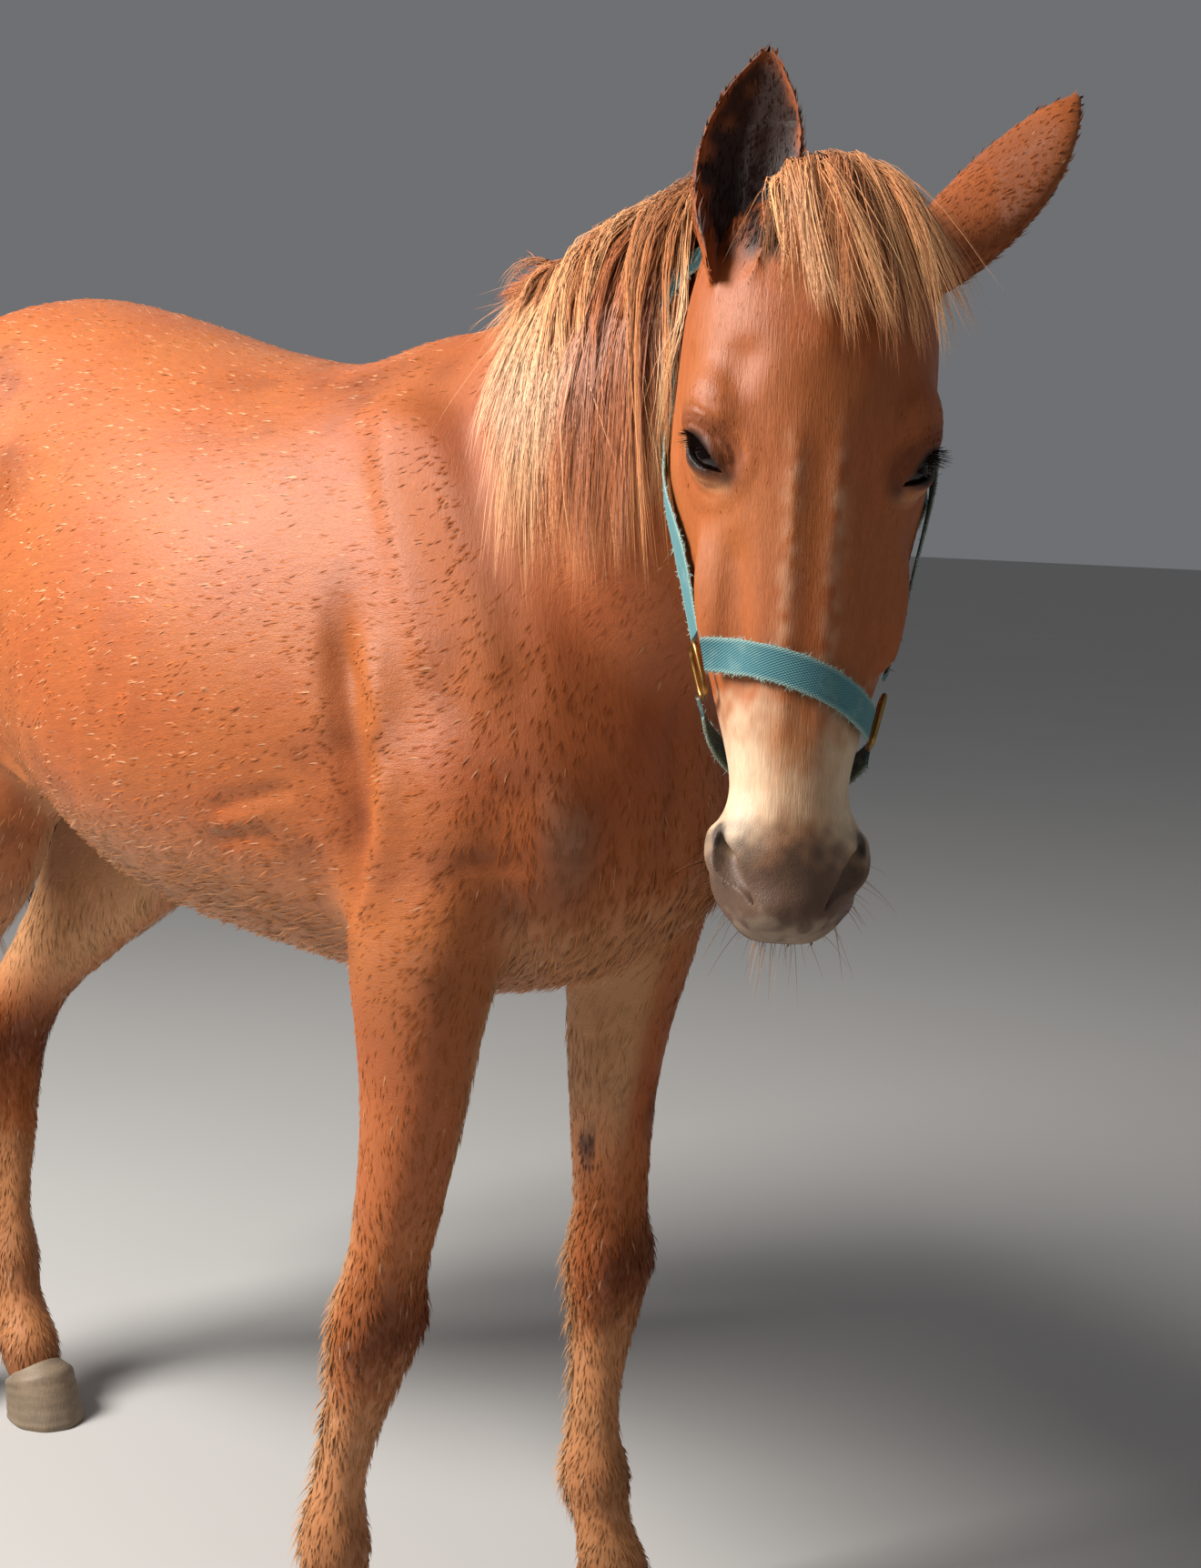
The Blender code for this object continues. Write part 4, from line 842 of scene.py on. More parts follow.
def tube(points, radii, sides, closed=False):
    """Vertices and faces of a round tube along a path."""
    points = np.asarray(points, float)
    if closed:
        along = unit(np.roll(points, -1, 0) - np.roll(points, 1, 0))
    else:
        along = unit(np.gradient(points, axis=0))
    middle = np.cross(points[len(points) // 2] - points[0], points[-1] - points[0])
    normal = middle / (np.linalg.norm(middle) + 1e-12)
    if np.linalg.norm(middle) < 1e-9:
        normal = np.array((0.0, 1.0, 0.0))
    side = unit(np.cross(along, normal))
    up = np.cross(side, along)
    stack = rings(points, side, up, radii, radii, radii, 2, 2, sides)
    if not closed:
        return lofted(stack)
    count = len(points)
    row = np.arange(count)[:, None] * sides
    j = np.arange(sides)[None]
    k = (j + 1) % sides
    ahead = np.roll(row, -1, 0)
    faces = np.stack([row + j, row + k, ahead + k, ahead + j], -1).reshape(-1, 4)
    return stack.reshape(-1, 3), faces.tolist()


def surface_of(*pieces):
    """The skins of some objects as one tree that finds the nearest place on them."""
    places, faces = [], []
    for piece in pieces:
        start = len(places)
        places += [vertex.co.copy() for vertex in piece.data.vertices]
        faces += [[start + i for i in face.vertices] for face in piece.data.polygons]
    return BVHTree.FromPolygons(places, faces)


def shell(stack):
    """A closed wall from rings that run out along its outer side and back along its inner side."""
    points, faces = lofted(stack)
    count, around = stack.shape[:2]
    half = around // 2
    sides = faces[: (count - 1) * around]
    ends = []
    for start, turned in ((0, False), ((count - 1) * around, True)):
        for i in range(half - 1):
            quad = [start + i, start + i + 1, start + around - 2 - i, start + around - 1 - i]
            ends.append(quad if turned else quad[::-1])
    return points[:-2], sides + ends


def ribbon(path, normals, width, thickness):
    """A flat band along a path: four corners to a ring, or a width and a thickness for each ring."""
    path, normals = np.asarray(path, float), unit(np.asarray(normals, float))
    along = unit(np.gradient(path, axis=0))
    side = unit(np.cross(normals, along))
    normals = np.cross(along, side)
    width = np.broadcast_to(width, (len(path),))[:, None] / 2
    thickness = np.broadcast_to(thickness, (len(path),))[:, None] / 2
    corners = [
        side * width - normals * thickness, side * width + normals * thickness,
        -side * width + normals * thickness, -side * width - normals * thickness,
    ]
    return np.stack([path + corner for corner in corners], 1)


def clear_by(surface, corner):
    """How far a corner of a strap must move out to stand clear of the skin."""
    place, normal = surface.find_nearest(Vector(corner))[:2]
    return max(0.0, STRAP_CLEARANCE - (Vector(corner) - place).dot(normal))


# From the space of the shapes to the place of the solids, found from the middle of the right eye
OFFSET = np.array(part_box("eye_right")).mean(0) - np.array(eye_centre(-1))


def linear(code):
    """An sRGB hex colour as linear red, green and blue: each share s becomes ((s + 0.055) / 1.055)^2.4."""
    shares = np.array([int(code[i : i + 2], 16) / 255 for i in (1, 3, 5)])
    return np.where(shares <= 0.04045, shares / 12.92, ((shares + 0.055) / 1.055) ** 2.4)


def smooth(low, high, values):
    """Rises from 0 at low to 1 at high as 3t² - 2t³, and falls where low is the higher."""
    share = np.clip((values - low) / (high - low), 0, 1)
    return share * share * (3 - 2 * share)


def mottle(points, size, seed=0.0):
    """A soft wandering value between about -1 and 1: the mean of three sines of places that are turned."""
    turned = points @ np.array([[0.80, 0.36, -0.48], [-0.60, 0.48, -0.64], [0.0, 0.80, 0.60]]) / size
    x, y, z = (turned + seed).T
    return (
        np.sin(x + 1.7 * np.sin(1.3 * y))
        + np.sin(1.31 * y + 1.9 * np.sin(0.9 * z + 2.0))
        + np.sin(1.73 * z + 1.5 * np.sin(1.1 * x + 4.0))
    ) / 3


def blended(colour, other, share):
    """A colour for each point moved towards another one by its share."""
    return colour + (other - colour) * np.asarray(share)[:, None]


def head_coords(points):
    """Places in the body's space as down the face, out of it and to the left."""
    back = np.array(head_matrix().inverted())
    local = points @ back[:3, :3].T + back[:3, 3]
    return np.stack([-local[:, 2], local[:, 0], local[:, 1]], -1)


def near_line(points, line):
    """How far each point is from a line of places, and how far along the line its nearest place is."""
    start, step = line[:-1], np.diff(line, axis=0)
    ahead = points[:, None] - start[None]
    share = np.clip((ahead * step).sum(-1) / (step**2).sum(-1), 0, 1)
    gap = np.linalg.norm(ahead - share[..., None] * step, axis=-1)
    best = gap.argmin(1)
    rows = np.arange(len(points))
    return gap[rows, best], (best + share[rows, best]) / len(step)


def curve_of(places, steps):
    places = np.array(places, float)
    return spline(np.linspace(0, 1, len(places)), places, np.linspace(0, 1, steps))


def add_folds(mesh, folds, coords, snap=False):
    """Moves each vertex along its normal by height × exp(-(distance / half width)²), faded at both ends.

    Where snap is set, the line of a fold is first laid on the skin.
    """
    points, normals = places_of(mesh), normals_of(mesh)
    here = coords(points)
    for path, width, height in folds:
        line = curve_of(path, 3 * len(path))
        if snap:
            line = here[[np.abs(here - place).sum(1).argmin() for place in line]]
            line[1:-1] = (line[:-2] + 2 * line[1:-1] + line[2:]) / 4
        low, high = line.min(0) - 3 * width, line.max(0) + 3 * width
        near = np.flatnonzero(((here > low) & (here < high)).all(1))
        if not len(near):
            continue
        gap, share = near_line(here[near], line)
        fade = smooth(-0.02, 0.18, share) * smooth(1.02, 0.82, share) if len(path) > 2 else 1.0
        points[near] += normals[near] * (height * np.exp(-((gap / width) ** 2)) * fade)[:, None]
    set_places(mesh, points)


def mirrored_folds(folds, axis=2):
    """The folds and their mirror images across the middle."""
    flip = np.ones(3)
    flip[axis] = -1
    return [*folds, *((np.array(path) * flip, width, height) for path, width, height in folds)]


def rounds_for(voxel, solid):
    """Rounds of relaxing that smooth a finer skin like the solid's: they grow as the fineness squared."""
    return int(round(SOLID_ROUNDS[solid] * (SOLID_VOXELS[solid] / voxel) ** 2))


def dock_shape():
    """The dock as a round tube through its places."""
    rows = np.array([place for place, _ in TAIL_DOCK])
    radii = np.array([radius for _, radius in TAIL_DOCK])
    knots, shares = np.linspace(0, 1, len(rows)), np.linspace(0, 1, 15)
    return tube(spline(knots, rows, shares), spline(knots, radii, shares) - COAT_DEPTH, 16)


def body_skin():
    lofts = [lofted(trunk_rings()), lofted(neck_rings()), dock_shape()]
    lofts += [lofted(leg_rings(name)) for name in LEGS]
    made = fused("body", lofts + side_balls() + hock_points(), BODY_VOXEL)
    height = places_of(made.data)[:, 2]
    relax(made.data, np.clip((height - 0.55) / 0.15, 0.12, 1.0), rounds_for(BODY_VOXEL, 0))
    add_folds(made.data, mirrored_folds(BODY_FOLDS, 1) + list(BODY_MIDDLE_FOLDS), np.copy, snap=True)
    add_folds(made.data, leg_folds(), np.copy)
    return thinned(made, BODY_TRIANGLES)


def leg_folds():
    """Grooves between bone and tendon on both faces of each cannon, and the knobs of knee and fetlock."""
    made = []
    for name in LEGS:
        fore = name.startswith("fore")
        high, low = (0.40, 0.22) if fore else (0.46, 0.23)
        cannon = leg_axis(name, np.linspace(high, low, 5))
        for side in (-1, 1):
            made.append((cannon + (-0.008, side * 0.027, 0), 0.0055, -0.0032))
        made.append((cannon + (-0.036, 0, 0), 0.008, 0.0020))
        fetlock = leg_axis(name, np.array([0.200, 0.185]))
        made.append((fetlock + (-0.045, 0, 0), 0.012, 0.0050))
        if fore:
            knee = leg_axis(name, np.array([0.455, 0.425]))
            for side in (-1, 1):
                made.append((knee + (0.028, side * 0.032, 0), 0.013, 0.0035))
            made.append((leg_axis(name, np.array([0.470, 0.420])) + (-0.048, 0, 0), 0.012, 0.0060))
    return made


def slit_shape(side):
    """The opening between the lids as a closed lens: half height (1 - t²)^0.7 along it, higher above."""
    centre, axes = np.array(eye_centre(side)), np.array(eye_axes(side))
    shares = np.sin(np.linspace(-1, 1, 41) * math.pi / 2)
    lens = (1 - shares**2) ** 0.7 + 0.015
    centres = centre + axes[:, 0] * (shares * SLIT_HALF_LENGTH)[:, None]
    centres = centres + axes[:, 2] * (EYE_RADIUS + LID_THICKNESS / 2)
    lift = -side * axes[:, 1]
    return lofted(rings(
        centres, axes[:, 2], lift, 0.018, SLIT_UPPER * lens, SLIT_LOWER * lens, 2, 2, 24,
    ))


def nostril_shape(side):
    """A comma sunk into the muzzle: ellipses along its path, narrow across it and deep along the normal."""
    path = curve_of(NOSTRIL_PATH, 25) * (1, 1, -side)
    shares = np.linspace(0, 1, 25)
    half = spline(np.linspace(0, 1, len(NOSTRIL_WIDTHS)), np.array(NOSTRIL_WIDTHS), shares)
    half = half * np.sin(np.linspace(0.12, math.pi - 0.12, 25)) ** 0.4
    points = np.array([head_place(*place) for place in path])
    out = np.array(head_turn() @ Vector((0.55, side * 0.80, -0.20)).normalized())
    ahead = unit(np.gradient(points, axis=0))
    across = unit(np.cross(out, ahead))
    into = np.cross(ahead, across)
    return lofted(rings(points, across, into, half, NOSTRIL_SINK, NOSTRIL_SINK, 2, 2, 20))


def lip_shape(surface):
    """The gap between the lips: thin flat ellipses along the line of the mouth, sunk square to the skin."""
    half = [Vector(place) for place in MOUTH_LINE]
    line = curve_of([tuple(p) for p in half + [Vector((p.x, p.y, -p.z)) for p in half[-2::-1]]], 49)
    hits = [surface.find_nearest(head_place(*place)) for place in line]
    points, normals = (np.array([hit[i] for hit in hits]) for i in (0, 1))
    for _ in range(4):
        points[1:-1] = (points[:-2] + 2 * points[1:-1] + points[2:]) / 4
        normals[1:-1] = unit(normals[:-2] + 2 * normals[1:-1] + normals[2:])
    ahead = unit(np.gradient(points, axis=0))
    across = unit(np.cross(normals, ahead))
    taper = np.sin(np.linspace(0.1, math.pi - 0.1, len(points))) ** 0.3
    return lofted(
        rings(points, across, normals, LIP_GAP * taper, LIP_SINK * taper, LIP_SINK * taper, 2, 2, 10)
    )


def eye_coords(points, side):
    """Places as along an eye's slit, up across it and out of the eye, and how far each is from its centre."""
    axes, centre = np.array(eye_axes(side)), np.array(eye_centre(side))
    along, across, out = ((points - centre) @ axes).T
    return along, across * -side, out, np.linalg.norm(points - centre, axis=1)


def nostril_gap(places, side, steps):
    """How far each place of head space is from the line of a nostril, and 1 where it is nowhere near it."""
    path = curve_of(NOSTRIL_PATH, steps) * (1, 1, -side)
    near = np.flatnonzero(np.abs(places - path.mean(0)).max(1) < 0.06)
    gap = np.full(len(places), 1.0)
    gap[near] = near_line(places[near], path)[0]
    return gap


def lid_creases(mesh):
    """Folds round each eye: grooves at set distances from the slit, deepest above it, gone at its corners."""
    points, normals = places_of(mesh), normals_of(mesh)
    for side in (-1, 1):
        along, across, out, _ = eye_coords(points, side)
        reach = np.sqrt((along * 0.72) ** 2 + across**2)
        above = smooth(-0.002, 0.010, across) + 0.55 * smooth(0.0, -0.010, across)
        front = smooth(-0.005, 0.010, out) * smooth(0.036, 0.024, np.abs(along))
        for middle, width, height in LID_CREASES:
            push = height * np.exp(-(((reach - middle) / width) ** 2)) * above * front
            points += normals * push[:, None]
        rim = np.exp(-(((reach - 0.0125) / 0.0030) ** 2)) * front
        points += normals * (0.0010 * rim)[:, None]
    set_places(mesh, points)


def head_skin():
    made = fused("head", [lofted(head_rings())] + head_balls(), HEAD_VOXEL)
    relax(made.data, np.ones(len(made.data.vertices)), rounds_for(HEAD_VOXEL, 1))
    skin = (places_of(made.data), [list(face.vertices) for face in made.data.polygons])
    bpy.data.objects.remove(made)
    made = fused("head", [skin] + lid_balls(), HEAD_VOXEL)
    relax(made.data, np.ones(len(made.data.vertices)), LID_ROUNDS)
    add_folds(made.data, mirrored_folds(HEAD_FOLDS) + list(HEAD_MIDDLE_FOLDS), head_coords)
    lid_creases(made.data)
    cutters = [mesh_object("lips", *lip_shape(surface_of(made)))]
    for side in (-1, 1):
        socket = ball(eye_centre(side), (EYE_RADIUS + 2 * GAP,) * 3, turn=eye_axes(side), around=64)
        cutters += [mesh_object("socket", *socket), mesh_object("slit", *slit_shape(side))]
        cutters.append(mesh_object("nostril", *nostril_shape(side)))
    whole(boolean(made, cutters, "DIFFERENCE"))
    soften_rims(made.data)
    return thinned(made, HEAD_TRIANGLES)


def soften_rims(mesh):
    """Rounds the cut edges of lids, nostrils and lips by relaxing only the points that stand near them."""
    points = places_of(mesh)
    here = head_coords(points)
    weight = np.zeros(len(points))
    for side in (-1, 1):
        along, across, out, far = eye_coords(points, side)
        lens = np.abs(across) - SLIT_UPPER * np.clip(1 - (along / SLIT_HALF_LENGTH) ** 2, 0, 1) ** 0.7
        lid = (far > EYE_RADIUS + 0.0012) * (out > 0) * (np.abs(along) < 0.027)
        weight = np.maximum(weight, smooth(0.0045, 0.0015, np.abs(lens)) * lid)
        weight = np.maximum(weight, smooth(0.020, 0.012, nostril_gap(here, side, 12)) * 0.8)
    relax(mesh, weight, 4)


def ear_shape(name):
    """A leaf-shaped cup: each section is an arc of wall round the ear's back, ridged down its middle."""
    root, tip, opening, bow = EARS[name]
    root, tip = head_place(*root), head_place(*tip)
    along = (tip - root).normalized()
    out = head_turn() @ Vector(opening)
    out = (out - along * out.dot(along)).normalized()
    side = along.cross(out)
    rows = np.array(EAR_SECTIONS)
    shares = np.sin(np.linspace(0, 1, EAR_GRID[0]) * math.pi / 2)
    width, depth, angle, wall = spline(rows[:, 0], rows[:, 1:], shares).T[..., None]
    spread = np.linspace(-1, 1, EAR_GRID[1])[None]
    around = spread * np.radians(angle)
    middle = np.array(root)[None] + shares[:, None] * (tip - root).length * np.array(along)[None]
    middle = middle + np.sin(shares * math.pi)[:, None] * np.array(head_turn() @ Vector(bow))[None]
    inset = COAT_DEPTH * np.minimum(1.0, 6 * (1 - shares))[:, None]
    curl = 1 - 0.10 * smooth(0.75, 1.0, np.abs(spread)) * smooth(0.2, 0.5, shares)[:, None]
    outer = ((width - inset) * np.sin(around) * curl, -(depth - inset) * np.cos(around))
    back = around[:, ::-1]
    thin = np.maximum(wall - inset, 0.0012) * (0.45 + 0.55 * np.cos(spread * 1.2))
    inner = ((width - inset - thin) * np.sin(back) * curl[:, ::-1], -(depth - inset - thin) * np.cos(back))
    fold = 0.0022 * np.exp(-((spread / 0.10) ** 2)) * np.sin(shares * math.pi)[:, None]
    inner = (inner[0], inner[1] + fold)
    across = np.concatenate([outer[0], inner[0]], 1)[..., None]
    deep = np.concatenate([outer[1], inner[1]], 1)[..., None]
    return shell(middle[:, None] + across * np.array(side) + deep * np.array(out))


def ear_axis(name):
    """Root and tip of an ear, and the way its cup faces."""
    root, tip, opening, _ = EARS[name]
    return np.array(head_place(*root)), np.array(head_place(*tip)), np.array(head_turn() @ Vector(opening))


def ear_share(points):
    """How much each point belongs to an ear, how far up the ear it is, and the way that ear's cup faces."""
    share, level, toward = np.zeros(len(points)), np.zeros(len(points)), np.zeros((len(points), 3))
    for name in EARS:
        root, tip, opening = ear_axis(name)
        along = tip - root
        high = (points - root) @ along / (along @ along)
        off = points - root - np.clip(high, 0, 1)[:, None] * along
        inside = smooth(0.075, 0.055, np.linalg.norm(off, axis=1)) * smooth(0.08, 0.20, high)
        better = inside > share
        level = np.where(better, high, level)
        toward[better] = unit(opening - along * (opening @ along) / (along @ along))
        share = np.maximum(share, inside)
    return share, level, toward


def head_share(points):
    """How much each point belongs to the head: it grows across a plane behind the jaw and poll."""
    down, out, left = head_coords(points).T
    ahead = out + 0.155 - 0.34 * np.maximum(0, 0.25 - down) + 0.4 * np.maximum(0, down - 0.25)
    near = smooth(0.20, 0.14, np.abs(left)) * smooth(0.72, 0.66, down) * smooth(-0.08, -0.02, down)
    return smooth(-0.025, 0.025, ahead) * near


def neck_share(points):
    """How much each point belongs to the neck: it grows across a plane through the shoulders."""
    centre, normal = np.array(((0.48, 0.0, 1.20), (0.859, 0.0, 0.512)))
    return smooth(-0.06, 0.06, (points - centre) @ normal) * (1 - head_share(points))


def leg_share(points):
    """How much each point belongs to a leg: it grows from the belly's height down."""
    return smooth(0.84, 0.66, points[:, 2])


def inset_share(points):
    """Share of the coat depth by which the skin lies in the solids: none at lids, lips, nostrils and ears."""
    down = head_coords(points)[:, 0]
    keep = smooth(0.49, 0.52, down) * head_share(points)
    for side in (-1, 1):
        far = np.linalg.norm(points - np.array(eye_centre(side)), axis=1)
        keep = np.maximum(keep, smooth(0.050, 0.040, far))
    return 1 - np.clip(keep + ear_share(points)[0], 0, 1)


def joined_skin():
    """The body, head and ears as one closed surface, relaxed where they meet."""
    made = body_skin()
    ears = [mesh_object(name, *ear_shape(name)) for name in EARS]
    boolean(made, [head_skin(), *ears], "UNION")
    whole(made)
    points = places_of(made.data)
    down, out, left = head_coords(points).T
    ahead = out + 0.150 - 0.34 * np.maximum(0, 0.25 - down) + 0.4 * np.maximum(0, down - 0.25)
    seam = smooth(0.055, 0.02, np.abs(ahead)) * smooth(0.22, 0.16, np.abs(left)) * smooth(0.42, 0.36, down)
    seam *= smooth(-0.10, -0.05, down)
    for name in EARS:
        root, tip, _ = ear_axis(name)
        level = (points - root) @ (tip - root) / ((tip - root) @ (tip - root))
        off = np.linalg.norm(points - root, axis=1)
        seam = np.maximum(seam, smooth(0.055, 0.035, off) * smooth(0.20, 0.12, level) * 0.7)
    relax(made.data, seam, 14)
    return made


def lie_of_coat(points, normals):
    """The way the hairs lie: down the face, back along neck and trunk, down the legs and up the ears."""
    to_world = np.array(head_turn())
    down, out, left = head_coords(points).T
    face = np.stack(
        [-0.40 * smooth(0.0, -0.10, out), 0.10 * np.sign(left), -np.ones(len(points))], -1
    ) @ to_world.T
    head, neck, legs = head_share(points), neck_share(points), leg_share(points)
    ear, _, _ = ear_share(points)
    neck_way = unit(np.array(NECK[0][0]) - np.array(NECK[-1][0])) + (0, 0, -0.45)
    side = np.sign(points[:, 1:2])
    flank = smooth(0.10, -0.25, points[:, :1]) * smooth(1.15, 0.95, points[:, 2:3])
    trunk = np.array((-1.0, 0.0, -0.22)) + flank * np.array((0.35, 0, -0.35)) + side * (0, 0.05, 0)
    breast = smooth(0.48, 0.58, points[:, 0])[:, None]
    trunk = trunk * (1 - breast) + np.array((-0.2, 0.0, -1.0)) * breast
    legs, neck, head, ear = legs[:, None], neck[:, None], head[:, None], ear[:, None]
    way = trunk * (1 - legs) + np.array((-0.12, 0.0, -1.0)) * legs
    way = way * (1 - neck) + neck_way * neck
    way = way * (1 - head) + face * head
    for name in EARS:
        root, tip, _ = ear_axis(name)
        near = ear * (np.linalg.norm(points - (root + tip) / 2, axis=1) < 0.14)[:, None]
        way = way * (1 - near) + unit(tip - root) * near
    way = way - normals * (way * normals).sum(1)[:, None]
    return unit(way + 1e-9)


def markings(points, normals):
    """Colour of the coat at each point, as linear red, green and blue, with painted highlight and shade in
    places, and how bare the skin is there.
    """
    red, dark, gold, pale = linear(COAT_RED), linear(COAT_DARK), linear(COAT_GOLD), linear(COAT_PALE)
    x, y, z = points.T
    places = head_coords(points)
    down, out, left = places.T
    head, neck, legs = head_share(points), neck_share(points), leg_share(points)
    ear, ear_level, toward = ear_share(points)
    cup = (normals * toward).sum(1)
    body = (1 - head) * (1 - neck)
    soft = 0.12 * mottle(points, 0.035) + 0.10 * mottle(points, 0.11, 3.0)
    colour = blended(np.tile(red, (len(points), 1)), gold, np.clip(0.22 + soft, 0, 1))
    smudge = mottle(points, 0.022, 7.0) * smooth(0.1, 0.5, mottle(points, 0.15, 1.0) + 0.5)
    colour = blended(colour, dark, np.clip(0.55 * smudge, 0, 0.6) * body)
    colour = blended(
        colour, dark, 0.10 * head * smooth(0.50, 0.40, down) * smooth(-0.06, 0.02, out) + 0.15 * ear
    )
    # Painted highlight: the front of the face, from the brow down the bridge, is lightened towards gold as
    # where the light falls on it
    brow = head * smooth(0.0, 0.03, out) * smooth(0.12, 0.20, down) * smooth(0.46, 0.40, down)
    colour = blended(colour, gold, 0.15 * brow)
    # Painted shade: the coat is darkened along each deep groove of the body, where shade falls in the crease
    for fold, width, height in mirrored_folds(BODY_FOLDS, 1):
        line = curve_of(fold, 3 * len(fold))
        near = np.flatnonzero((np.abs(points - line.mean(0)).max(1) < 0.25) & (height < -0.004))
        crease_shade = np.zeros(len(points))
        crease_shade[near] = smooth(1.6 * width, 0.3 * width, near_line(points[near], line)[0])
        colour = blended(colour, dark, 0.28 * crease_shade * body)
    under = smooth(-0.15, -0.80, normals[:, 2] + 0.15 * soft) * smooth(0.98, 0.86, z) * body
    low_side = smooth(1.00, 0.80, z) * body * (1 - legs)
    colour = blended(colour, gold, 0.20 * low_side)
    colour = blended(colour, pale, 0.35 * under * (1 - 0.6 * smooth(0.60, 0.45, z)))
    inner = smooth(0.15, 0.75, -normals[:, 1] * np.sign(y)) * smooth(0.50, 0.64, z) * smooth(1.0, 0.86, z)
    colour = blended(colour, pale, 0.70 * inner * body)
    shin = smooth(0.60, 0.50, z)
    colour = blended(colour, gold, 0.30 * shin)
    colour = blended(colour, pale, 0.34 * smooth(0.40, 0.34, z + 0.03 * mottle(points, 0.03, 2.0)))
    back = smooth(0.0, -0.8, normals[:, 0]) * shin * smooth(0.12, 0.20, z)
    colour = blended(colour, pale, 0.60 * back)
    fore = x > 0
    knee = np.exp(-(((z - np.where(fore, 0.435, 0.50)) / 0.055) ** 2)) * smooth(-0.5, 0.6, normals[:, 0])
    fetlock = np.exp(-(((z - 0.19) / 0.035) ** 2)) * smooth(-0.4, 0.6, normals[:, 0])
    colour = blended(colour, dark, np.clip(0.75 * knee + 0.35 * fetlock, 0, 1) * legs)
    coronet = smooth(0.115, 0.085, z)
    colour = blended(colour, dark, 0.5 * coronet)
    jaw = smooth(-0.02, -0.14, out) * head
    colour = blended(colour, gold, 0.50 * jaw)
    ragged = down + 0.012 * mottle(points, 0.0045) + 0.006 * mottle(points, 0.012, 5.0)
    aside = np.abs(left) + 0.008 * mottle(points, 0.012, 5.0)
    colour = blended(colour, pale, 0.45 * head * smooth(0.40, 0.50, ragged) * smooth(-0.03, 0.02, out))
    cheek = smooth(0.009, 0.046, aside) * head * smooth(0.41, 0.48, ragged)
    colour = blended(colour, linear(MUZZLE_CREAM), 0.85 * cheek * smooth(0.60, 0.52, down))
    # Pale hair tips along the two ridges of the nasal bone, with a painted highlight on them; the patchy
    # share below breaks the band up
    ridge = (
        np.exp(-(((np.abs(left) - 0.018) / 0.008) ** 2)) * smooth(0.20, 0.27, down) * smooth(0.46, 0.40, down)
    )
    worn = np.clip(0.55 + 0.9 * mottle(points, 0.005, 1.0) + 0.5 * mottle(points, 0.014, 6.0), 0, 1.2)
    colour = blended(
        colour, linear(COAT_FLECK), np.clip(0.34 * ridge * worn, 0, 1) * head * smooth(0.0, 0.03, out)
    )
    muzzle = smooth(0.510, 0.566, ragged + 0.10 * np.maximum(0, -out - 0.01)) * head
    cream = np.exp(-(((ragged - 0.508) / 0.024) ** 2)) * head
    colour = blended(colour, linear(MUZZLE_CREAM), 0.42 * cream)
    colour = blended(colour, linear(MUZZLE_GREY), 0.93 * muzzle)
    rim = smooth(0.596, 0.612, ragged) * smooth(0.02, 0.05, out + 0.04) * head
    colour = blended(colour, linear(MUZZLE_CREAM), 0.22 * rim)
    for side in (-1, 1):
        # Each nostril: its own dark skin, with painted shade in its opening
        depth = smooth(0.0105, 0.0060, nostril_gap(places, side, 12))
        colour = blended(colour, linear(NOSTRIL_SKIN_AND_SHADE), 0.85 * depth)
        along, across, look, far = eye_coords(points, side)
        reach = np.sqrt((along * 0.62) ** 2 + across**2)
        front = smooth(0.0, 0.010, look) * (far < 0.07)
        below = np.exp(-(((reach - 0.020) / 0.005) ** 2)) * front * smooth(0.0, -0.006, across)
        colour = blended(colour, pale, 0.30 * below)
        above = np.exp(-(((reach - 0.020) / 0.009) ** 2)) * front * smooth(-0.002, 0.004, across)
        colour = blended(colour, dark, 0.60 * above)
        colour = blended(colour, linear(EYE_SKIN), 0.85 * smooth(0.0165, 0.0120, reach) * front)
        tear = np.exp(-(((along - 0.030) / 0.008) ** 2 + ((across + 0.002) / 0.007) ** 2)) * front
        colour = blended(colour, linear(EYE_SKIN), 0.75 * tear)
        colour = blended(colour, linear(LID_RIM), 0.92 * smooth(0.0120, 0.0098, reach) * front)
    # The ear's cup: its own dark skin with painted shade over it, and more painted shade that deepens towards
    # the root of the cup
    inside = ear * smooth(1.0, 0.93, ear_level) * smooth(0.68, 0.93, cup + 0.14 * mottle(points, 0.006, 4.0))
    colour = blended(colour, linear(EAR_CUP_SKIN_AND_SHADE), 0.92 * inside)
    colour = blended(colour, linear(EAR_CUP_SHADE), 0.75 * inside * smooth(0.90, 0.45, ear_level))
    tip = ear * smooth(0.86, 1.0, ear_level)
    colour = blended(colour, dark, 0.20 * tip)
    bare = np.clip(muzzle, 0, 1)
    for name, place, size in CALLOSITIES:
        middle = leg_axis(name, np.array([place[0]]))[0] + (place[1], place[2], 0)
        gap = np.linalg.norm((points - middle) / size, axis=1)
        spot = smooth(1.15, 0.85, gap + 0.12 * mottle(points, 0.008))
        colour = blended(colour, linear(CHESTNUT_DARK), 0.9 * spot)
        bare = np.maximum(bare, spot)
    return np.clip(colour, 0, 1), bare


def coat_streaks(points):
    """Coordinates that run with the lie of the coat: along it, across it and out, in metres."""
    head, neck, legs = head_share(points), neck_share(points), leg_share(points)
    to_world = np.array(head_turn())
    frames = (
        (np.array((-1.0, 0.0, -0.22)), 1.0),
        (np.array((0.0, 0.0, -1.0)), legs),
        (unit(np.array(NECK[0][0]) - np.array(NECK[-1][0])), neck),
        (-to_world[:, 2], head),
    )
    made = np.zeros((len(points), 3))
    for way, share in frames:
        way = unit(np.asarray(way, float))
        side = unit(np.cross(way, (0.02, 1.0, 0.1)))
        turned = points @ np.stack([way, side, np.cross(way, side)], 1)
        share = np.broadcast_to(share, (len(points),))[:, None]
        made = made * (1 - share) + turned * share
    return made


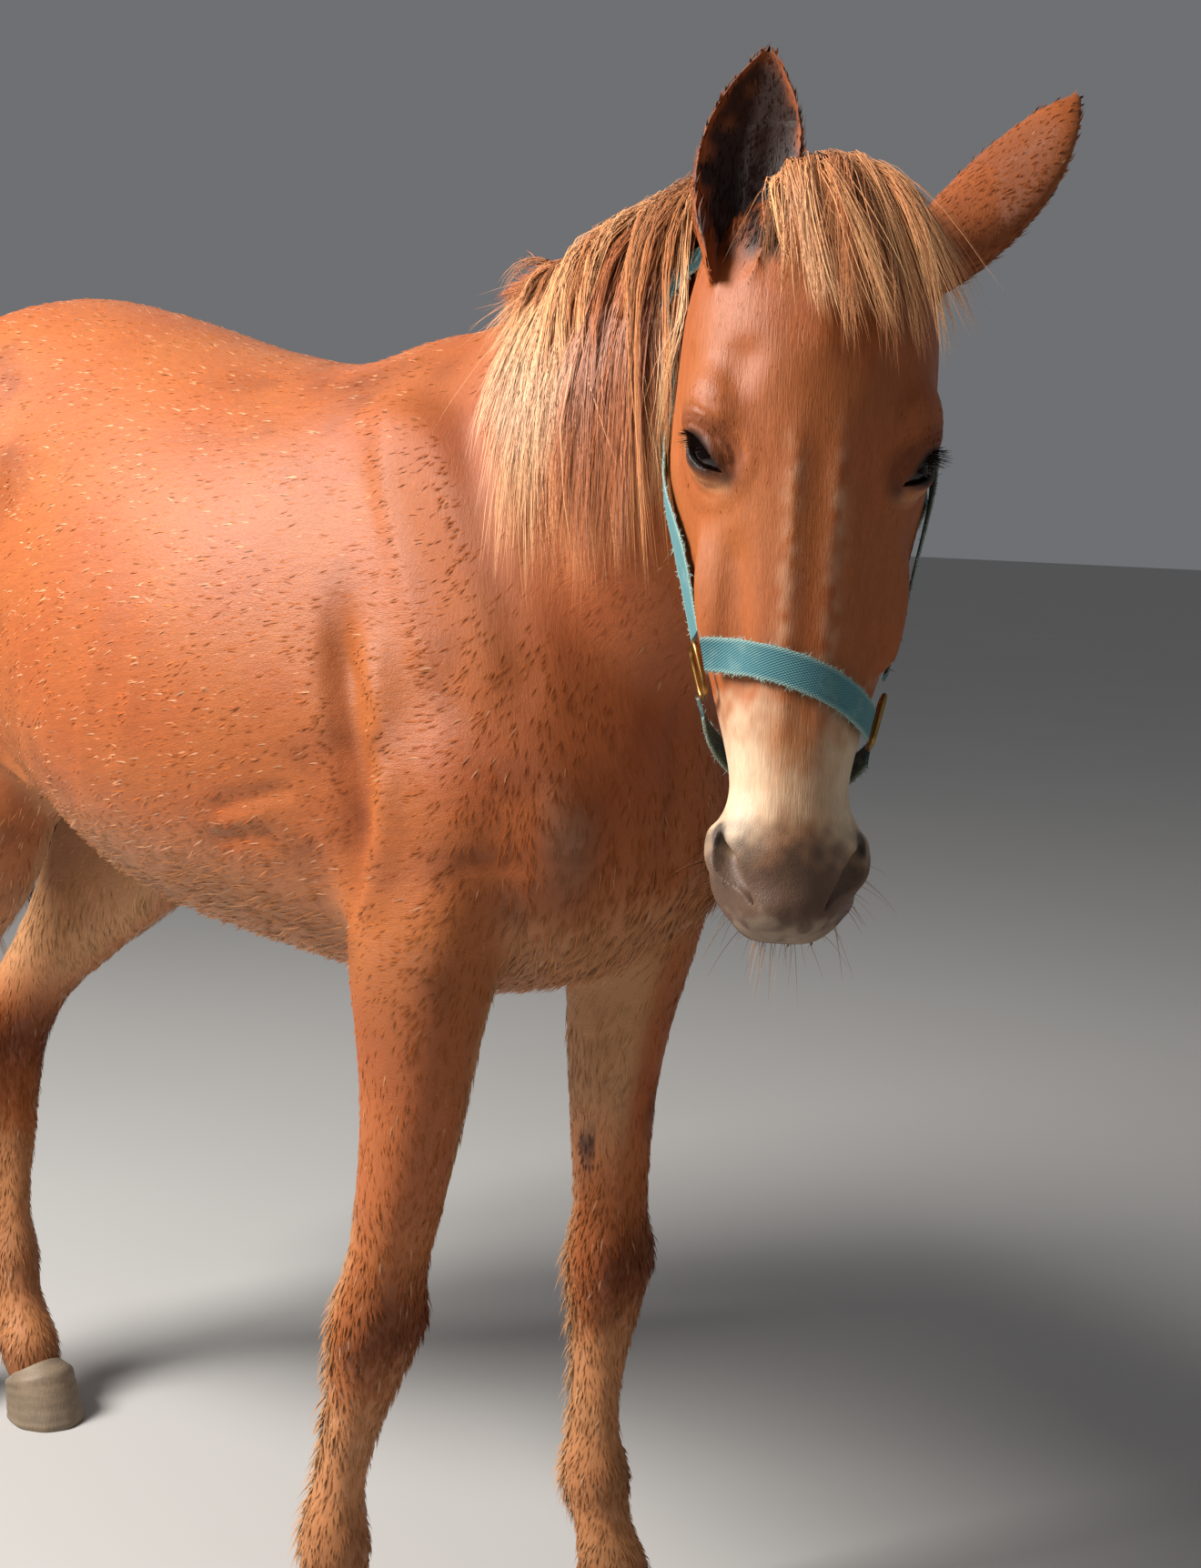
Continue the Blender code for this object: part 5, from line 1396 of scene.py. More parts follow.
def unwrapped(points):
    """Places on an unwrap of the skin: a tile each for trunk, neck, head, ears and legs, round and along."""
    uv = np.empty((len(points), 2))
    x, y, z = points.T
    down, out, left = head_coords(points).T
    head, neck, legs = head_share(points) > 0.5, neck_share(points) > 0.5, leg_share(points) > 0.5
    ear = ear_share(points)[0] > 0.5
    round_trunk = np.arctan2(y, z - 1.05) / (2 * math.pi) + 0.5
    uv[:] = tile(0, 0.55, 0.5, 0.45, (x - TRUNK_REAR + 0.1) / (TRUNK_LENGTH + 0.3), round_trunk)
    start, end = np.array(NECK[0][0]), np.array(NECK[-1][0])
    along = (points - start) @ (end - start) / ((end - start) @ (end - start))
    off = points - start - along[:, None] * (end - start)
    uv_neck = tile(
        0.5, 0.78, 0.5, 0.22, (along + 0.3) / 1.6, np.arctan2(off[:, 1], off[:, 2]) / (2 * math.pi) + 0.5
    )
    uv_head = tile(0.5, 0.5, 0.5, 0.27, down / 0.66, np.arctan2(left, out + 0.03) / (2 * math.pi) + 0.5)
    uv[neck] = uv_neck[neck]
    uv[head] = uv_head[head]
    for i, name in enumerate(EARS):
        root, tip, opening = ear_axis(name)
        ahead = tip - root
        level = (points - root) @ ahead / (ahead @ ahead)
        off = points - root - level[:, None] * ahead
        side = np.cross(unit(ahead), unit(opening))
        here = ear & (np.linalg.norm(points - (root + tip) / 2, axis=1) < 0.15)
        around = np.arctan2(off @ side, off @ unit(opening)) / (2 * math.pi) + 0.5
        uv[here] = tile(0.5 * i, 0.42, 0.5, 0.08, level, around)[here]
    for i, name in enumerate(LEGS):
        fore = name.startswith("fore")
        side = -1 if name.endswith("right") else 1
        here = legs & ((x > 0) == fore) & ((y - (0.0 if fore else 0.045)) * side > 0)
        middle = leg_axis(name, np.clip(z, 0.036, 0.90))
        around = np.arctan2(y - middle[:, 1], x - middle[:, 0]) / (2 * math.pi) + 0.5
        uv[here] = tile(0.25 * i, 0.0, 0.25, 0.40, around, z / 0.86)[here]
    return uv


def tile(left, low, width, height, across, up):
    """Shares across and up a rectangle of the unwrap, kept a little inside it."""
    across, up = np.clip(across, 0, 1), np.clip(up, 0, 1)
    return np.stack([left + width * (0.02 + 0.95 * across), low + height * (0.02 + 0.95 * up)], -1)


def mesh_from(name, points, faces, colours, uv):
    """A mesh object from arrays of triangles, with a colour and a place of the map for each point."""
    mesh = bpy.data.meshes.new(name)
    mesh.vertices.add(len(points))
    mesh.vertices.foreach_set("co", np.ascontiguousarray(points, np.float32).ravel())
    mesh.loops.add(len(faces) * 3)
    mesh.loops.foreach_set("vertex_index", np.ascontiguousarray(faces, np.int32).ravel())
    mesh.polygons.add(len(faces))
    mesh.polygons.foreach_set("loop_start", np.arange(len(faces), dtype=np.int32) * 3)
    mesh.update(calc_edges=True)
    mesh.validate()
    layer = mesh.uv_layers.new(name="OFBake")
    layer.data.foreach_set("uv", np.ascontiguousarray(uv[faces.ravel()], np.float32).ravel())
    made = bpy.data.objects.new(name, mesh)
    bpy.context.scene.collection.objects.link(made)
    paint(mesh, colours)
    mesh.shade_smooth()
    return made


def paint(mesh, colours):
    layer = mesh.attributes.new("Coat", "FLOAT_COLOR", "POINT")
    rgba = np.ones((len(colours), 4), np.float32)
    rgba[:, :3] = colours
    layer.data.foreach_set("color", rgba.ravel())


def put_values(mesh, label, numbers):
    numbers = np.asarray(numbers, np.float32)
    if numbers.ndim == 1:
        mesh.attributes.new(label, "FLOAT", "POINT").data.foreach_set("value", numbers)
    else:
        mesh.attributes.new(label, "FLOAT_VECTOR", "POINT").data.foreach_set("vector", numbers.ravel())


def strands(name, paths, normals, widths, colours, roots, crown=0.7, level=0.5):
    """Hairs and tufts as closed strands, each with a small patch of the map at its root.

    Three corners stand round each place of a path, left, right and one raised by crown × half the width,
    joined ring to ring and closed to a point at the tip. The shading turns from round the strand towards the
    normals given, by the share named level.
    """
    count, steps = paths.shape[:2]
    along = unit(np.gradient(paths, axis=1))
    side = unit(np.cross(normals, along))
    up = np.cross(along, side)
    half = widths[..., None] / 2
    corners = np.stack([paths - side * half, paths + up * half * crown, paths + side * half], 2)[:, :-1]
    points = np.concatenate([corners.reshape(count, -1, 3), paths[:, -1:]], 1)
    each = points.shape[1]
    k, after = np.arange(3), np.array([1, 2, 0])
    rows = 3 * np.arange(steps - 2)[:, None]
    first = np.stack([rows + k, rows + 3 + after, rows + after], -1).reshape(-1, 3)
    second = np.stack([rows + k, rows + 3 + k, rows + 3 + after], -1).reshape(-1, 3)
    last = 3 * (steps - 2)
    tips = np.stack([last + k, np.full(3, each - 1), last + after], -1)
    faces = np.concatenate([first, second, tips, [[0, 1, 2]]])
    faces = (faces[None] + each * np.arange(count)[:, None, None]).reshape(-1, 3)
    tall = np.repeat(np.arange(steps - 1) / (steps - 1), 3)
    patch = np.stack([np.tile([0.0, 0.5, 1.0], steps - 1), tall - np.tile([0.0, 0.12, 0.0], steps - 1)], -1)
    patch = np.concatenate([patch, [[0.5, 1.0]]]) * MAP_PATCH
    uv = (roots[:, None] + patch[None]).reshape(-1, 2)
    shades = np.concatenate([np.repeat(colours[:, :-1], 3, axis=1), colours[:, -1:]], 1).reshape(-1, 3)
    made = mesh_from(name, points.reshape(-1, 3) + OFFSET, faces, np.clip(shades, 0, 1), uv)
    round_it = np.stack([0.4 * up - side, up, 0.4 * up + side], 2)[:, :-1].reshape(count, -1, 3)
    round_it = unit(np.concatenate([round_it, up[:, -1:]], 1))
    given = np.repeat(np.asarray(normals)[:, :-1], 3, axis=1)
    given = np.concatenate([given, np.asarray(normals)[:, -1:]], 1)
    shading = unit(round_it * (1 - level) + given * level).reshape(-1, 3)
    made.data.normals_split_custom_set_from_vertices(shading.tolist())
    return made


def triangles_of(mesh):
    mesh.calc_loop_triangles()
    faces = np.empty(len(mesh.loop_triangles) * 3, np.int32)
    mesh.loop_triangles.foreach_get("vertices", faces)
    return faces.reshape(-1, 3)


class Hide:
    """The finished skin as arrays in the shapes' own space, for hair to grow on."""

    def __init__(self):
        mesh = bpy.data.objects["skin"].data
        self.points = places_of(mesh) - OFFSET
        self.normals = normals_of(mesh)
        self.faces = triangles_of(mesh)
        corners = self.points[self.faces]
        cross = np.cross(corners[:, 1] - corners[:, 0], corners[:, 2] - corners[:, 0])
        self.areas = np.linalg.norm(cross, axis=1) / 2
        self.tree = BVHTree.FromPolygons(self.points.tolist(), self.faces.tolist())

    def scatter(self, count, density, rng):
        """Random places on the skin with their normals: a face is drawn by its area × density."""
        middles = self.points[self.faces].mean(1)
        facing = unit(self.normals[self.faces].mean(1))
        chance = self.areas * density(middles, facing)
        picked = rng.choice(len(self.faces), count, p=chance / chance.sum())
        a, b = rng.random(count), rng.random(count)
        flip = a + b > 1
        a, b = np.where(flip, 1 - a, a), np.where(flip, 1 - b, b)
        shares = np.stack([1 - a - b, a, b], -1)[..., None]
        corners = self.faces[picked]
        return (self.points[corners] * shares).sum(1), unit((self.normals[corners] * shares).sum(1))


def coat_sizes(points, normals):
    """Length, width and lift of the tufts: longest under the belly and behind the legs, least on the face."""
    x, y, z = points.T
    down, out, _ = head_coords(points).T
    head, neck, legs = head_share(points), neck_share(points), leg_share(points)
    ear, level, toward = ear_share(points)
    cup = (normals * toward).sum(1)
    rim = np.exp(-(((cup - 0.05) / 0.35) ** 2))
    length = np.full(len(points), 0.0150)
    length += 0.010 * smooth(0.98, 0.82, z) * smooth(0.1, -0.7, normals[:, 2]) * (1 - legs)
    length += 0.006 * smooth(0.45, 0.60, x) * (1 - neck) * (1 - head)
    knee = np.exp(-(((z - np.where(x > 0, 0.43, 0.50)) / 0.07) ** 2)) * legs
    length += 0.003 * knee
    back = smooth(-0.1, -0.8, normals[:, 0]) * smooth(0.52, 0.40, z) * smooth(0.11, 0.17, z)
    length += 0.012 * back
    inner = smooth(0.2, 0.8, -normals[:, 1] * np.sign(y))
    length += 0.012 * smooth(0.78, 0.70, z) * smooth(0.60, 0.68, z) * inner
    face = 0.0075 + 0.006 * smooth(-0.02, -0.12, out) - 0.0025 * smooth(0.42, 0.52, down)
    length = length * (1 - head) + face * head
    in_ear = 0.008 + 0.007 * rim + 0.008 * smooth(0.6, 0.2, level) * smooth(0.1, 0.5, cup)
    length = length * (1 - ear) + in_ear * ear
    width = 0.0018 - 0.0006 * head + 0.0004 * smooth(0.60, 0.45, z)
    lift = 0.09 + 0.09 * smooth(0.60, 0.45, z) + 0.16 * back
    lift = lift + 0.10 * smooth(0.98, 0.82, z) * smooth(-0.2, -0.9, normals[:, 2]) + 0.10 * ear
    return length, width, lift


def coat_density(points, _):
    """More tufts where the coat is seen near or breaks the outline, few on the muzzle and at the lids."""
    places = head_coords(points)
    down = places[:, 0]
    head, legs = head_share(points), leg_share(points)
    ear, _, _ = ear_share(points)
    dense = 1.0 + 2.2 * head + 1.4 * legs * smooth(0.75, 0.55, points[:, 2]) + 1.5 * ear
    dense *= 1 - 0.93 * smooth(0.515, 0.545, down) * head
    for side in (-1, 1):
        along, across, look, far = eye_coords(points, side)
        reach = np.sqrt((along * 0.62) ** 2 + across**2)
        dense *= 1 - 0.98 * smooth(0.0185, 0.0150, reach) * (look > 0) * (far < 0.05)
        dense *= 1 - 0.98 * smooth(0.014, 0.010, nostril_gap(places, side, 8))
    dense *= points[:, 2] > 0.075
    return dense


def coat_tufts(name, hide, count, rng):
    """Short tufts: a root under the skin, a middle, and a tip that lies along the coat, lifted a little."""
    points, normals = hide.scatter(count, coat_density, rng)
    way = lie_of_coat(points, normals)
    side = np.cross(normals, way)
    way = way + side * rng.normal(0, 0.16, (count, 1)) + side * 0.20 * mottle(points, 0.02, 9.0)[:, None]
    way = unit(way)
    length, width, lift = coat_sizes(points, normals)
    length = length * rng.uniform(0.65, 1.25, count)
    width = width * rng.uniform(0.7, 1.25, count)
    lift = lift * rng.uniform(0.3, 1.7, count)
    shares = np.array([0.0, 0.5, 1.0])[None, :, None]
    rise = (lift[:, None] * np.array([0.0, 0.62, 1.0])[None])[..., None] * length[:, None, None]
    paths = points[:, None] - normals[:, None] * ROOT_DEPTH + way[:, None] * (shares * length[:, None, None])
    paths = paths + normals[:, None] * rise
    colour, _ = markings(points, normals)
    flank = smooth(0.42, 0.25, points[:, 0]) * smooth(0.60, 0.75, points[:, 2])
    tone = rng.normal(1.0, 1.0, (count, 1)) * (0.08 + 0.12 * flank)[:, None]
    tone = tone + 0.06 * mottle(points, 0.012, 2.0)[:, None]
    tone = 1.0 + (tone - tone.mean())
    fleck = (rng.random(count) < 0.20 * flank + 0.04) * rng.uniform(0.15, 0.55, count)
    colour = blended(colour, linear(COAT_FLECK), fleck * (1 - head_share(points)))
    shades = np.stack([colour * tone * 0.94, colour * tone, colour * tone * 1.10], 1)
    widths = width[:, None] * np.array([0.9, 1.0, 0.0])[None]
    facing = np.broadcast_to(normals[:, None], paths.shape)
    return strands(name, paths, facing, widths, shades, unwrapped(points), 0.5, 0.82)


def guide(place, start, fall, length, lift, tree, steps, stiff, facing):
    """One lock's middle line: each step turns some way towards its fall and stays clear of the skin."""
    place, heading, fall = Vector(place), Vector(start).normalized(), Vector(fall).normalized()
    facing = Vector(facing).normalized()
    path, normals = [place.copy()], [facing.copy()]
    for i in range(1, steps):
        heading = heading.lerp(fall, stiff).normalized() if i > 1 else heading
        place = place + heading * length / (steps - 1)
        spot, normal = tree.find_nearest(place)[:2]
        short = lift * min(1.0, i / 3) - (place - spot).dot(normal)
        if short > 0:
            place = place + normal * short
            facing = facing.lerp(normal, 0.6).normalized()
        path.append(place.copy())
        normals.append(facing.copy())
    path = np.array(path)
    path[1:-1] = (path[:-2] + 2 * path[1:-1] + path[2:]) / 4
    return path, unit(np.array(normals))


def grown(name, guides, sizes, per, width, colours, rng, clump, wave):
    """Many strands round each guide, from its root's colour to its tip's.

    A strand keeps its own place across the lock, drawn in towards the tip by clump × share², with a slow
    wave, and ends at its own share of the lock's length.
    """
    paths = np.array([path for path, _ in guides])
    facing = np.array([normal for _, normal in guides])
    along = unit(np.gradient(paths, axis=1))
    side = unit(np.cross(facing, along))
    count = len(guides) * per
    which = np.repeat(np.arange(len(guides)), per)
    reach = rng.uniform(0.55, 1.0, count) ** 0.7
    even = np.linspace(0, 1, STRAND_STEPS)
    shares = even[None] * reach[:, None]
    spot = shares * (paths.shape[1] - 1)
    low = np.clip(spot.astype(int), 0, paths.shape[1] - 2)
    part = (spot - low)[..., None]
    rows = which[:, None]
    middle = paths[rows, low] * (1 - part) + paths[rows, low + 1] * part
    across = side[rows, low] * (1 - part) + side[rows, low + 1] * part
    out = facing[rows, low] * (1 - part) + facing[rows, low + 1] * part
    size = np.asarray(sizes, float)[which]
    warm = size[:, 2][:, None, None]
    aside = rng.normal(0, 0.42, count) * size[:, 0]
    above = rng.uniform(-0.2, 1.0, count) * size[:, 1]
    body = 1 - clump * shares**2
    bend = wave * np.sin(shares * rng.uniform(3, 7, (count, 1)) + rng.uniform(0, 6.28, (count, 1))) * shares
    stray = rng.normal(0, 0.006, (count, 1)) * (0.5 + 3.0 * (rng.random((count, 1)) < 0.16)) * shares**1.5
    paths = middle + across * (aside[:, None] * body + bend + stray)[..., None]
    paths = paths + out * (above[:, None] * body + 0.4 * np.abs(stray))[..., None]
    widths = width * rng.uniform(0.7, 1.3, (count, 1)) * (1 - 0.8 * even[None] ** 1.6)
    tone = rng.normal(1.0, 0.20, (count, 1, 1)) + rng.normal(0, 0.06, (len(guides), 1, 1))[which]
    root, tip = (np.asarray(colour)[None, None] for colour in colours)
    fade = even[None, :, None]
    mix = np.clip(rng.normal(0.5, 0.28, (count, 1, 1)), 0, 1)
    first = root * (1 - 0.5 * mix) + tip * 0.5 * mix
    shades = first * (1 - fade) + tip * fade
    shades = (shades + (linear(HAIR_WARM) - shades) * warm) * np.clip(tone, 0.45, 1.6)
    return strands(name, paths, out, widths, shades, unwrapped(paths[:, 0]))


def mane_guides(tree, rng, count, layer):
    """Middle lines of the mane's locks along the crest, swept back and down the right side.

    They are short, ruddy and upright near the withers and longest behind the ear. The under layer reaches on
    to the poll, with straight locks that hang beside the head.
    """
    made, sizes = [], []
    for i in range(count):
        hanging = layer == 0 and i % 3 == 0
        if hanging:
            share = rng.uniform(0.72, 0.975)
        else:
            share = 0.36 + (0.62, 0.57)[layer] * (i + rng.uniform(-0.5, 0.5)) / (count - 1)
        middle, side, up, depth, _ = (row[0] for row in neck_axis(np.array([share])))
        right = -side
        low = rng.uniform(0.0, 1.0) if layer == 0 else rng.uniform(0.0, 0.6)
        root = middle + up * (depth - COAT_DEPTH - 0.004) + right * (-0.006 + 0.016 * low)
        front = smooth(0.40, 0.54, share)
        sweep = 0.14 - 0.30 * (1 - front) + rng.normal(0, 0.09) + 0.06 * smooth(0.86, 0.97, share)
        fall = np.array((sweep, -0.02, -1.0 + 0.5 * (1 - front)))
        start = (
            right * (0.10 + 0.42 * front) + up * (0.95 - 0.55 * low)
            + np.array((rng.normal(-0.04, 0.14), 0, 0.0))
        )
        full = rng.uniform(0.70, 1.12) * (0.17 + 0.50 * front + 0.62 * smooth(0.46, 0.66, share))
        lift = (0.003, 0.007)[layer] + 0.005 * (1 - low)
        if hanging:
            lift = rng.uniform(0.012, 0.024)
            fall = np.array((rng.normal(0.02, 0.06), -0.06, -1.0))
            start = right * 0.9 + up * 0.4
        stiff = 0.14 + 0.32 * front
        made.append(guide(root, start, fall, MANE_LENGTH * full, lift, tree, 14, stiff, up + right * 0.8))
        sizes.append((0.013 + 0.008 * front, 0.007, np.clip(0.85 * (1 - front) + 0.7 * hanging, 0, 1)))
    return made, sizes


def forelock_guides(tree, rng, count):
    """Locks from between the ears that fall over the brow, swept to the animal's left and longest there.

    Every fourth lies low and straight down the forehead.
    """
    turn = np.array(head_turn())
    made, sizes = [], []
    for i in range(count):
        across = -0.030 + 0.050 * (i + rng.uniform(-0.6, 0.6)) / (count - 1)
        spot, normal = tree.find_nearest(head_place(-0.004 + rng.uniform(0, 0.040), 0.02, across))[:2]
        under = i % 4 == 0
        sweep = 0.04 if under else 0.32 + 0.6 * across
        fall = turn @ np.array((0.05, sweep + rng.normal(0, 0.12), -1.0))
        start = turn @ np.array((0.7, across * 3 + rng.normal(0, 0.20), 0.22 + rng.uniform(0, 0.26)))
        length = FORELOCK_LENGTH * rng.uniform(0.88, 1.42) * (0.76 + 0.24 * smooth(-0.03, 0.006, across))
        lift = rng.uniform(0.002, 0.004) if under else rng.uniform(0.005, 0.014)
        made.append(guide(spot - normal * 0.002, start, fall, length, lift, tree, 12, 0.36, normal))
        sizes.append((0.0090, 0.007, 0.65 if under else 0.15))
    return made, sizes


def tail_guides(tree, rng, count):
    """Locks from the sides and back of the dock, that fall straight and swing to the animal's left."""
    rows = np.array([place for place, _ in TAIL_DOCK])
    radii = np.array([radius for _, radius in TAIL_DOCK])
    knots = np.linspace(0, 1, len(rows))
    made, sizes = [], []
    for i in range(count):
        share = 0.25 + 0.75 * (i / (count - 1)) ** 0.7
        centre = spline(knots, rows, np.array([share]))[0]
        angle = rng.uniform(-2.0, 2.0)
        out = np.array((-math.cos(angle), math.sin(angle), 0.0))
        root = centre + out * (float(np.interp(share, knots, radii)) - 0.004)
        fall = (rng.uniform(-0.10, 0.04), 0.50 + 0.16 * math.sin(angle), -1.0)
        start = out * 0.30 + np.array((0, 0, -1.0))
        length = TAIL_HAIR_LENGTH * rng.uniform(0.70, 1.0) * (1.12 - 0.36 * share)
        made.append(guide(root, start, fall, length, 0.005, tree, 14, 0.30, out))
        sizes.append((0.020, 0.012, 0.0))
    return made, sizes


def add_node(tree, kind, inputs=None, **settings):
    """Adds one node, with its settings by name and each input as a value or another node's output."""
    made = tree.nodes.new(kind)
    for name, value in settings.items():
        setattr(made, name, value)
    for name, value in (inputs or {}).items():
        socket = made.inputs[name]
        if isinstance(value, bpy.types.NodeSocket):
            tree.links.new(value, socket)
        else:
            socket.default_value = value
    return made


def new_material(name, **shader):
    """A material and its Principled shader, with constant values set straight on the shader's sockets."""
    made = bpy.data.materials.new(name)
    made.use_nodes = True
    tree = made.node_tree
    principled = tree.nodes["Principled BSDF"]
    for label, value in shader.items():
        principled.inputs[label.replace("_", " ")].default_value = value
    return made, tree, principled


def rgb(code):
    return (*linear(code), 1.0)


def noise(tree, vector, scale, detail=3.0, rough=0.55):
    return add_node(
        tree, "ShaderNodeTexNoise", {"Vector": vector, "Scale": scale, "Detail": detail, "Roughness": rough}
    ).outputs["Fac"]


def spread_of(tree, value, low, high, start=0.0, end=1.0):
    """A value that runs from start to end, stretched to run from low to high."""
    inputs = {"Value": value, "From Min": start, "From Max": end, "To Min": low, "To Max": high}
    return add_node(tree, "ShaderNodeMapRange", inputs).outputs["Result"]


def tinted(tree, colour, value):
    """A colour multiplied by a value."""
    return add_node(
        tree, "ShaderNodeVectorMath", {0: colour, 3: 1.0, "Scale": value}, operation="SCALE"
    ).outputs["Vector"]


def stretched(tree, vector, scales):
    """A vector multiplied by a scale for each of its axes."""
    return add_node(
        tree, "ShaderNodeVectorMath", {0: vector, 1: scales}, operation="MULTIPLY"
    ).outputs["Vector"]


def worked(tree, operation, *values, **settings):
    """One step of arithmetic on one or two values."""
    return add_node(
        tree, "ShaderNodeMath", dict(enumerate(values)), operation=operation, **settings
    ).outputs[0]


def mixed(tree, share, first, second, kind="FLOAT"):
    """Two values or colours mixed by a share."""
    return add_node(
        tree, "ShaderNodeMix", {"Factor": share, "A": first, "B": second}, data_type=kind
    ).outputs["Result"]


def attribute(tree, name):
    return add_node(tree, "ShaderNodeAttribute", attribute_name=name)


def object_place(tree):
    return add_node(tree, "ShaderNodeTexCoord").outputs["Object"]


def finish(tree, shader, colour, relief=None, strength=0.0, depth=0.0):
    """Links the shader's colour, and a bump of that depth in metres from the relief."""
    tree.links.new(colour, shader.inputs["Base Color"])
    if relief is not None:
        bump = add_node(tree, "ShaderNodeBump", {"Strength": strength, "Distance": depth, "Height": relief})
        tree.links.new(bump.outputs["Normal"], shader.inputs["Normal"])


def short_coat():
    """Clipped summer hair over skin: satin, with fine streaks along its lie about 0.8 mm apart.

    They are drawn coarser than the real 0.1 mm so that they show. Where the muzzle is bare, it has pores and
    small creases instead.
    """
    made, tree, shader = new_material("short_coat", Roughness=0.46, Specular_IOR_Level=0.30)
    colour = attribute(tree, "Coat").outputs["Color"]
    lie = attribute(tree, "Lie").outputs["Vector"]
    bare = attribute(tree, "Bare").outputs["Fac"]
    streak = noise(tree, stretched(tree, lie, (70.0, 900.0, 900.0)), 1.0, 3.0, 0.6)
    lock = noise(tree, stretched(tree, lie, (22.0, 160.0, 160.0)), 1.0, 2.0)
    place = object_place(tree)
    pore = noise(tree, place, 900.0, 2.0)
    crease = noise(tree, place, 160.0, 4.0, 0.65)
    tone = worked(tree, "MULTIPLY", spread_of(tree, streak, 0.70, 1.30), spread_of(tree, lock, 0.84, 1.16))
    soft = mixed(tree, bare, tone, spread_of(tree, crease, 0.82, 1.16))
    furry, naked = worked(tree, "ADD", streak, lock), worked(tree, "ADD", pore, crease)
    finish(tree, shader, tinted(tree, colour, soft), mixed(tree, bare, furry, naked), 0.55, 0.0009)
    return made


def hair_finish(name, roughness, grain=260.0, sheen=0.10, gloss=0.35):
    """Hair: each strand carries its own tone, broken by slow noise along it, with a satin gloss."""
    made, tree, shader = new_material(
        name, Roughness=roughness, Sheen_Weight=sheen, Sheen_Roughness=0.35, Specular_IOR_Level=gloss
    )
    shader.inputs["Sheen Tint"].default_value = rgb(HAIR_SHEEN)
    colour = attribute(tree, "Coat").outputs["Color"]
    tone = spread_of(tree, noise(tree, object_place(tree), grain, 2.0), 0.80, 1.20)
    finish(tree, shader, tinted(tree, colour, tone))
    return made


def eye_finish():
    """A wet cornea over a dark brown iris with a wide level pupil: mirror gloss from the coat layer."""
    made, tree, shader = new_material(
        "wet_eye", Roughness=0.10, Coat_Weight=0.6, Coat_Roughness=0.02, IOR=1.38
    )
    colour = attribute(tree, "Coat").outputs["Color"]
    tone = spread_of(tree, noise(tree, object_place(tree), 900.0, 3.0), 0.75, 1.25)
    finish(tree, shader, tinted(tree, colour, tone))
    return made


def horn_finish():
    """Hoof horn: matt and a little dusty, with growth rings about 6 mm apart and fine upright streaks."""
    made, tree, shader = new_material("hoof_horn", Roughness=0.55)
    place = object_place(tree)
    fibre = noise(tree, stretched(tree, place, (420.0, 420.0, 26.0)), 1.0, 3.0)
    ring = noise(tree, stretched(tree, place, (9.0, 9.0, 170.0)), 1.0, 2.0)
    dust = noise(tree, place, 30.0, 4.0, 0.6)
    horn = mixed(tree, dust, rgb(HORN), rgb(HOOF_DUST), "RGBA")
    tone = worked(tree, "MULTIPLY", spread_of(tree, fibre, 0.7, 1.3), spread_of(tree, ring, 0.8, 1.2))
    finish(tree, shader, tinted(tree, horn, tone), worked(tree, "ADD", fibre, ring), 0.6, 0.0010)
    return made


def webbing_finish(name, colour, worn):
    """Woven webbing, faded and furred by wear: ribs and yarns are sines of the places across and along it."""
    made, tree, shader = new_material(name, Roughness=0.82, Sheen_Weight=0.25, Sheen_Roughness=0.5)
    shader.inputs["Sheen Tint"].default_value = rgb(FRAY)
    weave = attribute(tree, "Weave").outputs["Vector"]
    parts = add_node(tree, "ShaderNodeSeparateXYZ", {"Vector": weave}).outputs
    rib = worked(tree, "SINE", worked(tree, "MULTIPLY", parts["Y"], 2 * math.pi / RIB_PITCH))
    yarn = worked(tree, "SINE", worked(tree, "MULTIPLY", parts["X"], 2 * math.pi / YARN_PITCH))
    woven = worked(tree, "MULTIPLY", rib, yarn)
    place = object_place(tree)
    fade = noise(tree, place, 42.0, 4.0, 0.65)
    fuzz = noise(tree, place, 700.0, 2.0)
    edge = spread_of(tree, worked(tree, "ABSOLUTE", parts["X"]), 0.0, 0.75, 0.0095, 0.0135)
    patch = spread_of(tree, fade, 0.0, worn, 0.52, 0.70)
    pale = worked(tree, "MAXIMUM", edge, patch)
    pale = worked(tree, "MULTIPLY", pale, spread_of(tree, fuzz, 0.4, 1.5), use_clamp=True)
    cloth = mixed(tree, pale, rgb(colour), rgb(FRAY), "RGBA")
    tone = spread_of(tree, woven, 0.66, 1.26, -1.0, 1.0)
    finish(tree, shader, tinted(tree, cloth, tone), woven, 0.7, 0.0006)
    return made


def brass_finish():
    """Cast brass gone dull with use: bright where it rubs, brown in its pits."""
    made, tree, shader = new_material("worn_brass", Metallic=1.0)
    wear = noise(tree, object_place(tree), 120.0, 5.0, 0.65)
    finish(tree, shader, mixed(tree, wear, rgb(BRASS_DULL), rgb(BRASS), "RGBA"), wear, 0.25, 0.0004)
    tree.links.new(spread_of(tree, wear, 0.48, 0.22), shader.inputs["Roughness"])
    return made


def floor_finish(colour):
    """Pale matt studio floor, with a faint cloudiness so that it isn't one flat colour."""
    made, tree, shader = new_material("studio_floor", Roughness=0.9)
    cloud = noise(tree, object_place(tree), 1.2, 3.0)
    plain = add_node(tree, "ShaderNodeRGB").outputs[0]
    plain.default_value = (*colour, 1.0)
    finish(tree, shader, tinted(tree, plain, spread_of(tree, cloud, 0.96, 1.04)))
    return made


def placed(made, look, slot, *replaced):
    """Gives a finished piece its finish and its body, and hides the solids that it stands for; the slot it is
    given is not used.
    """
    made.data.materials.clear()
    made.data.materials.append(look)
    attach(made, "root")
    if replaced:
        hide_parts(*replaced)
    return made


def moved(made):
    """Takes a piece from the shapes' own space to its place round the solids."""
    set_places(made.data, places_of(made.data) + OFFSET)
    return made


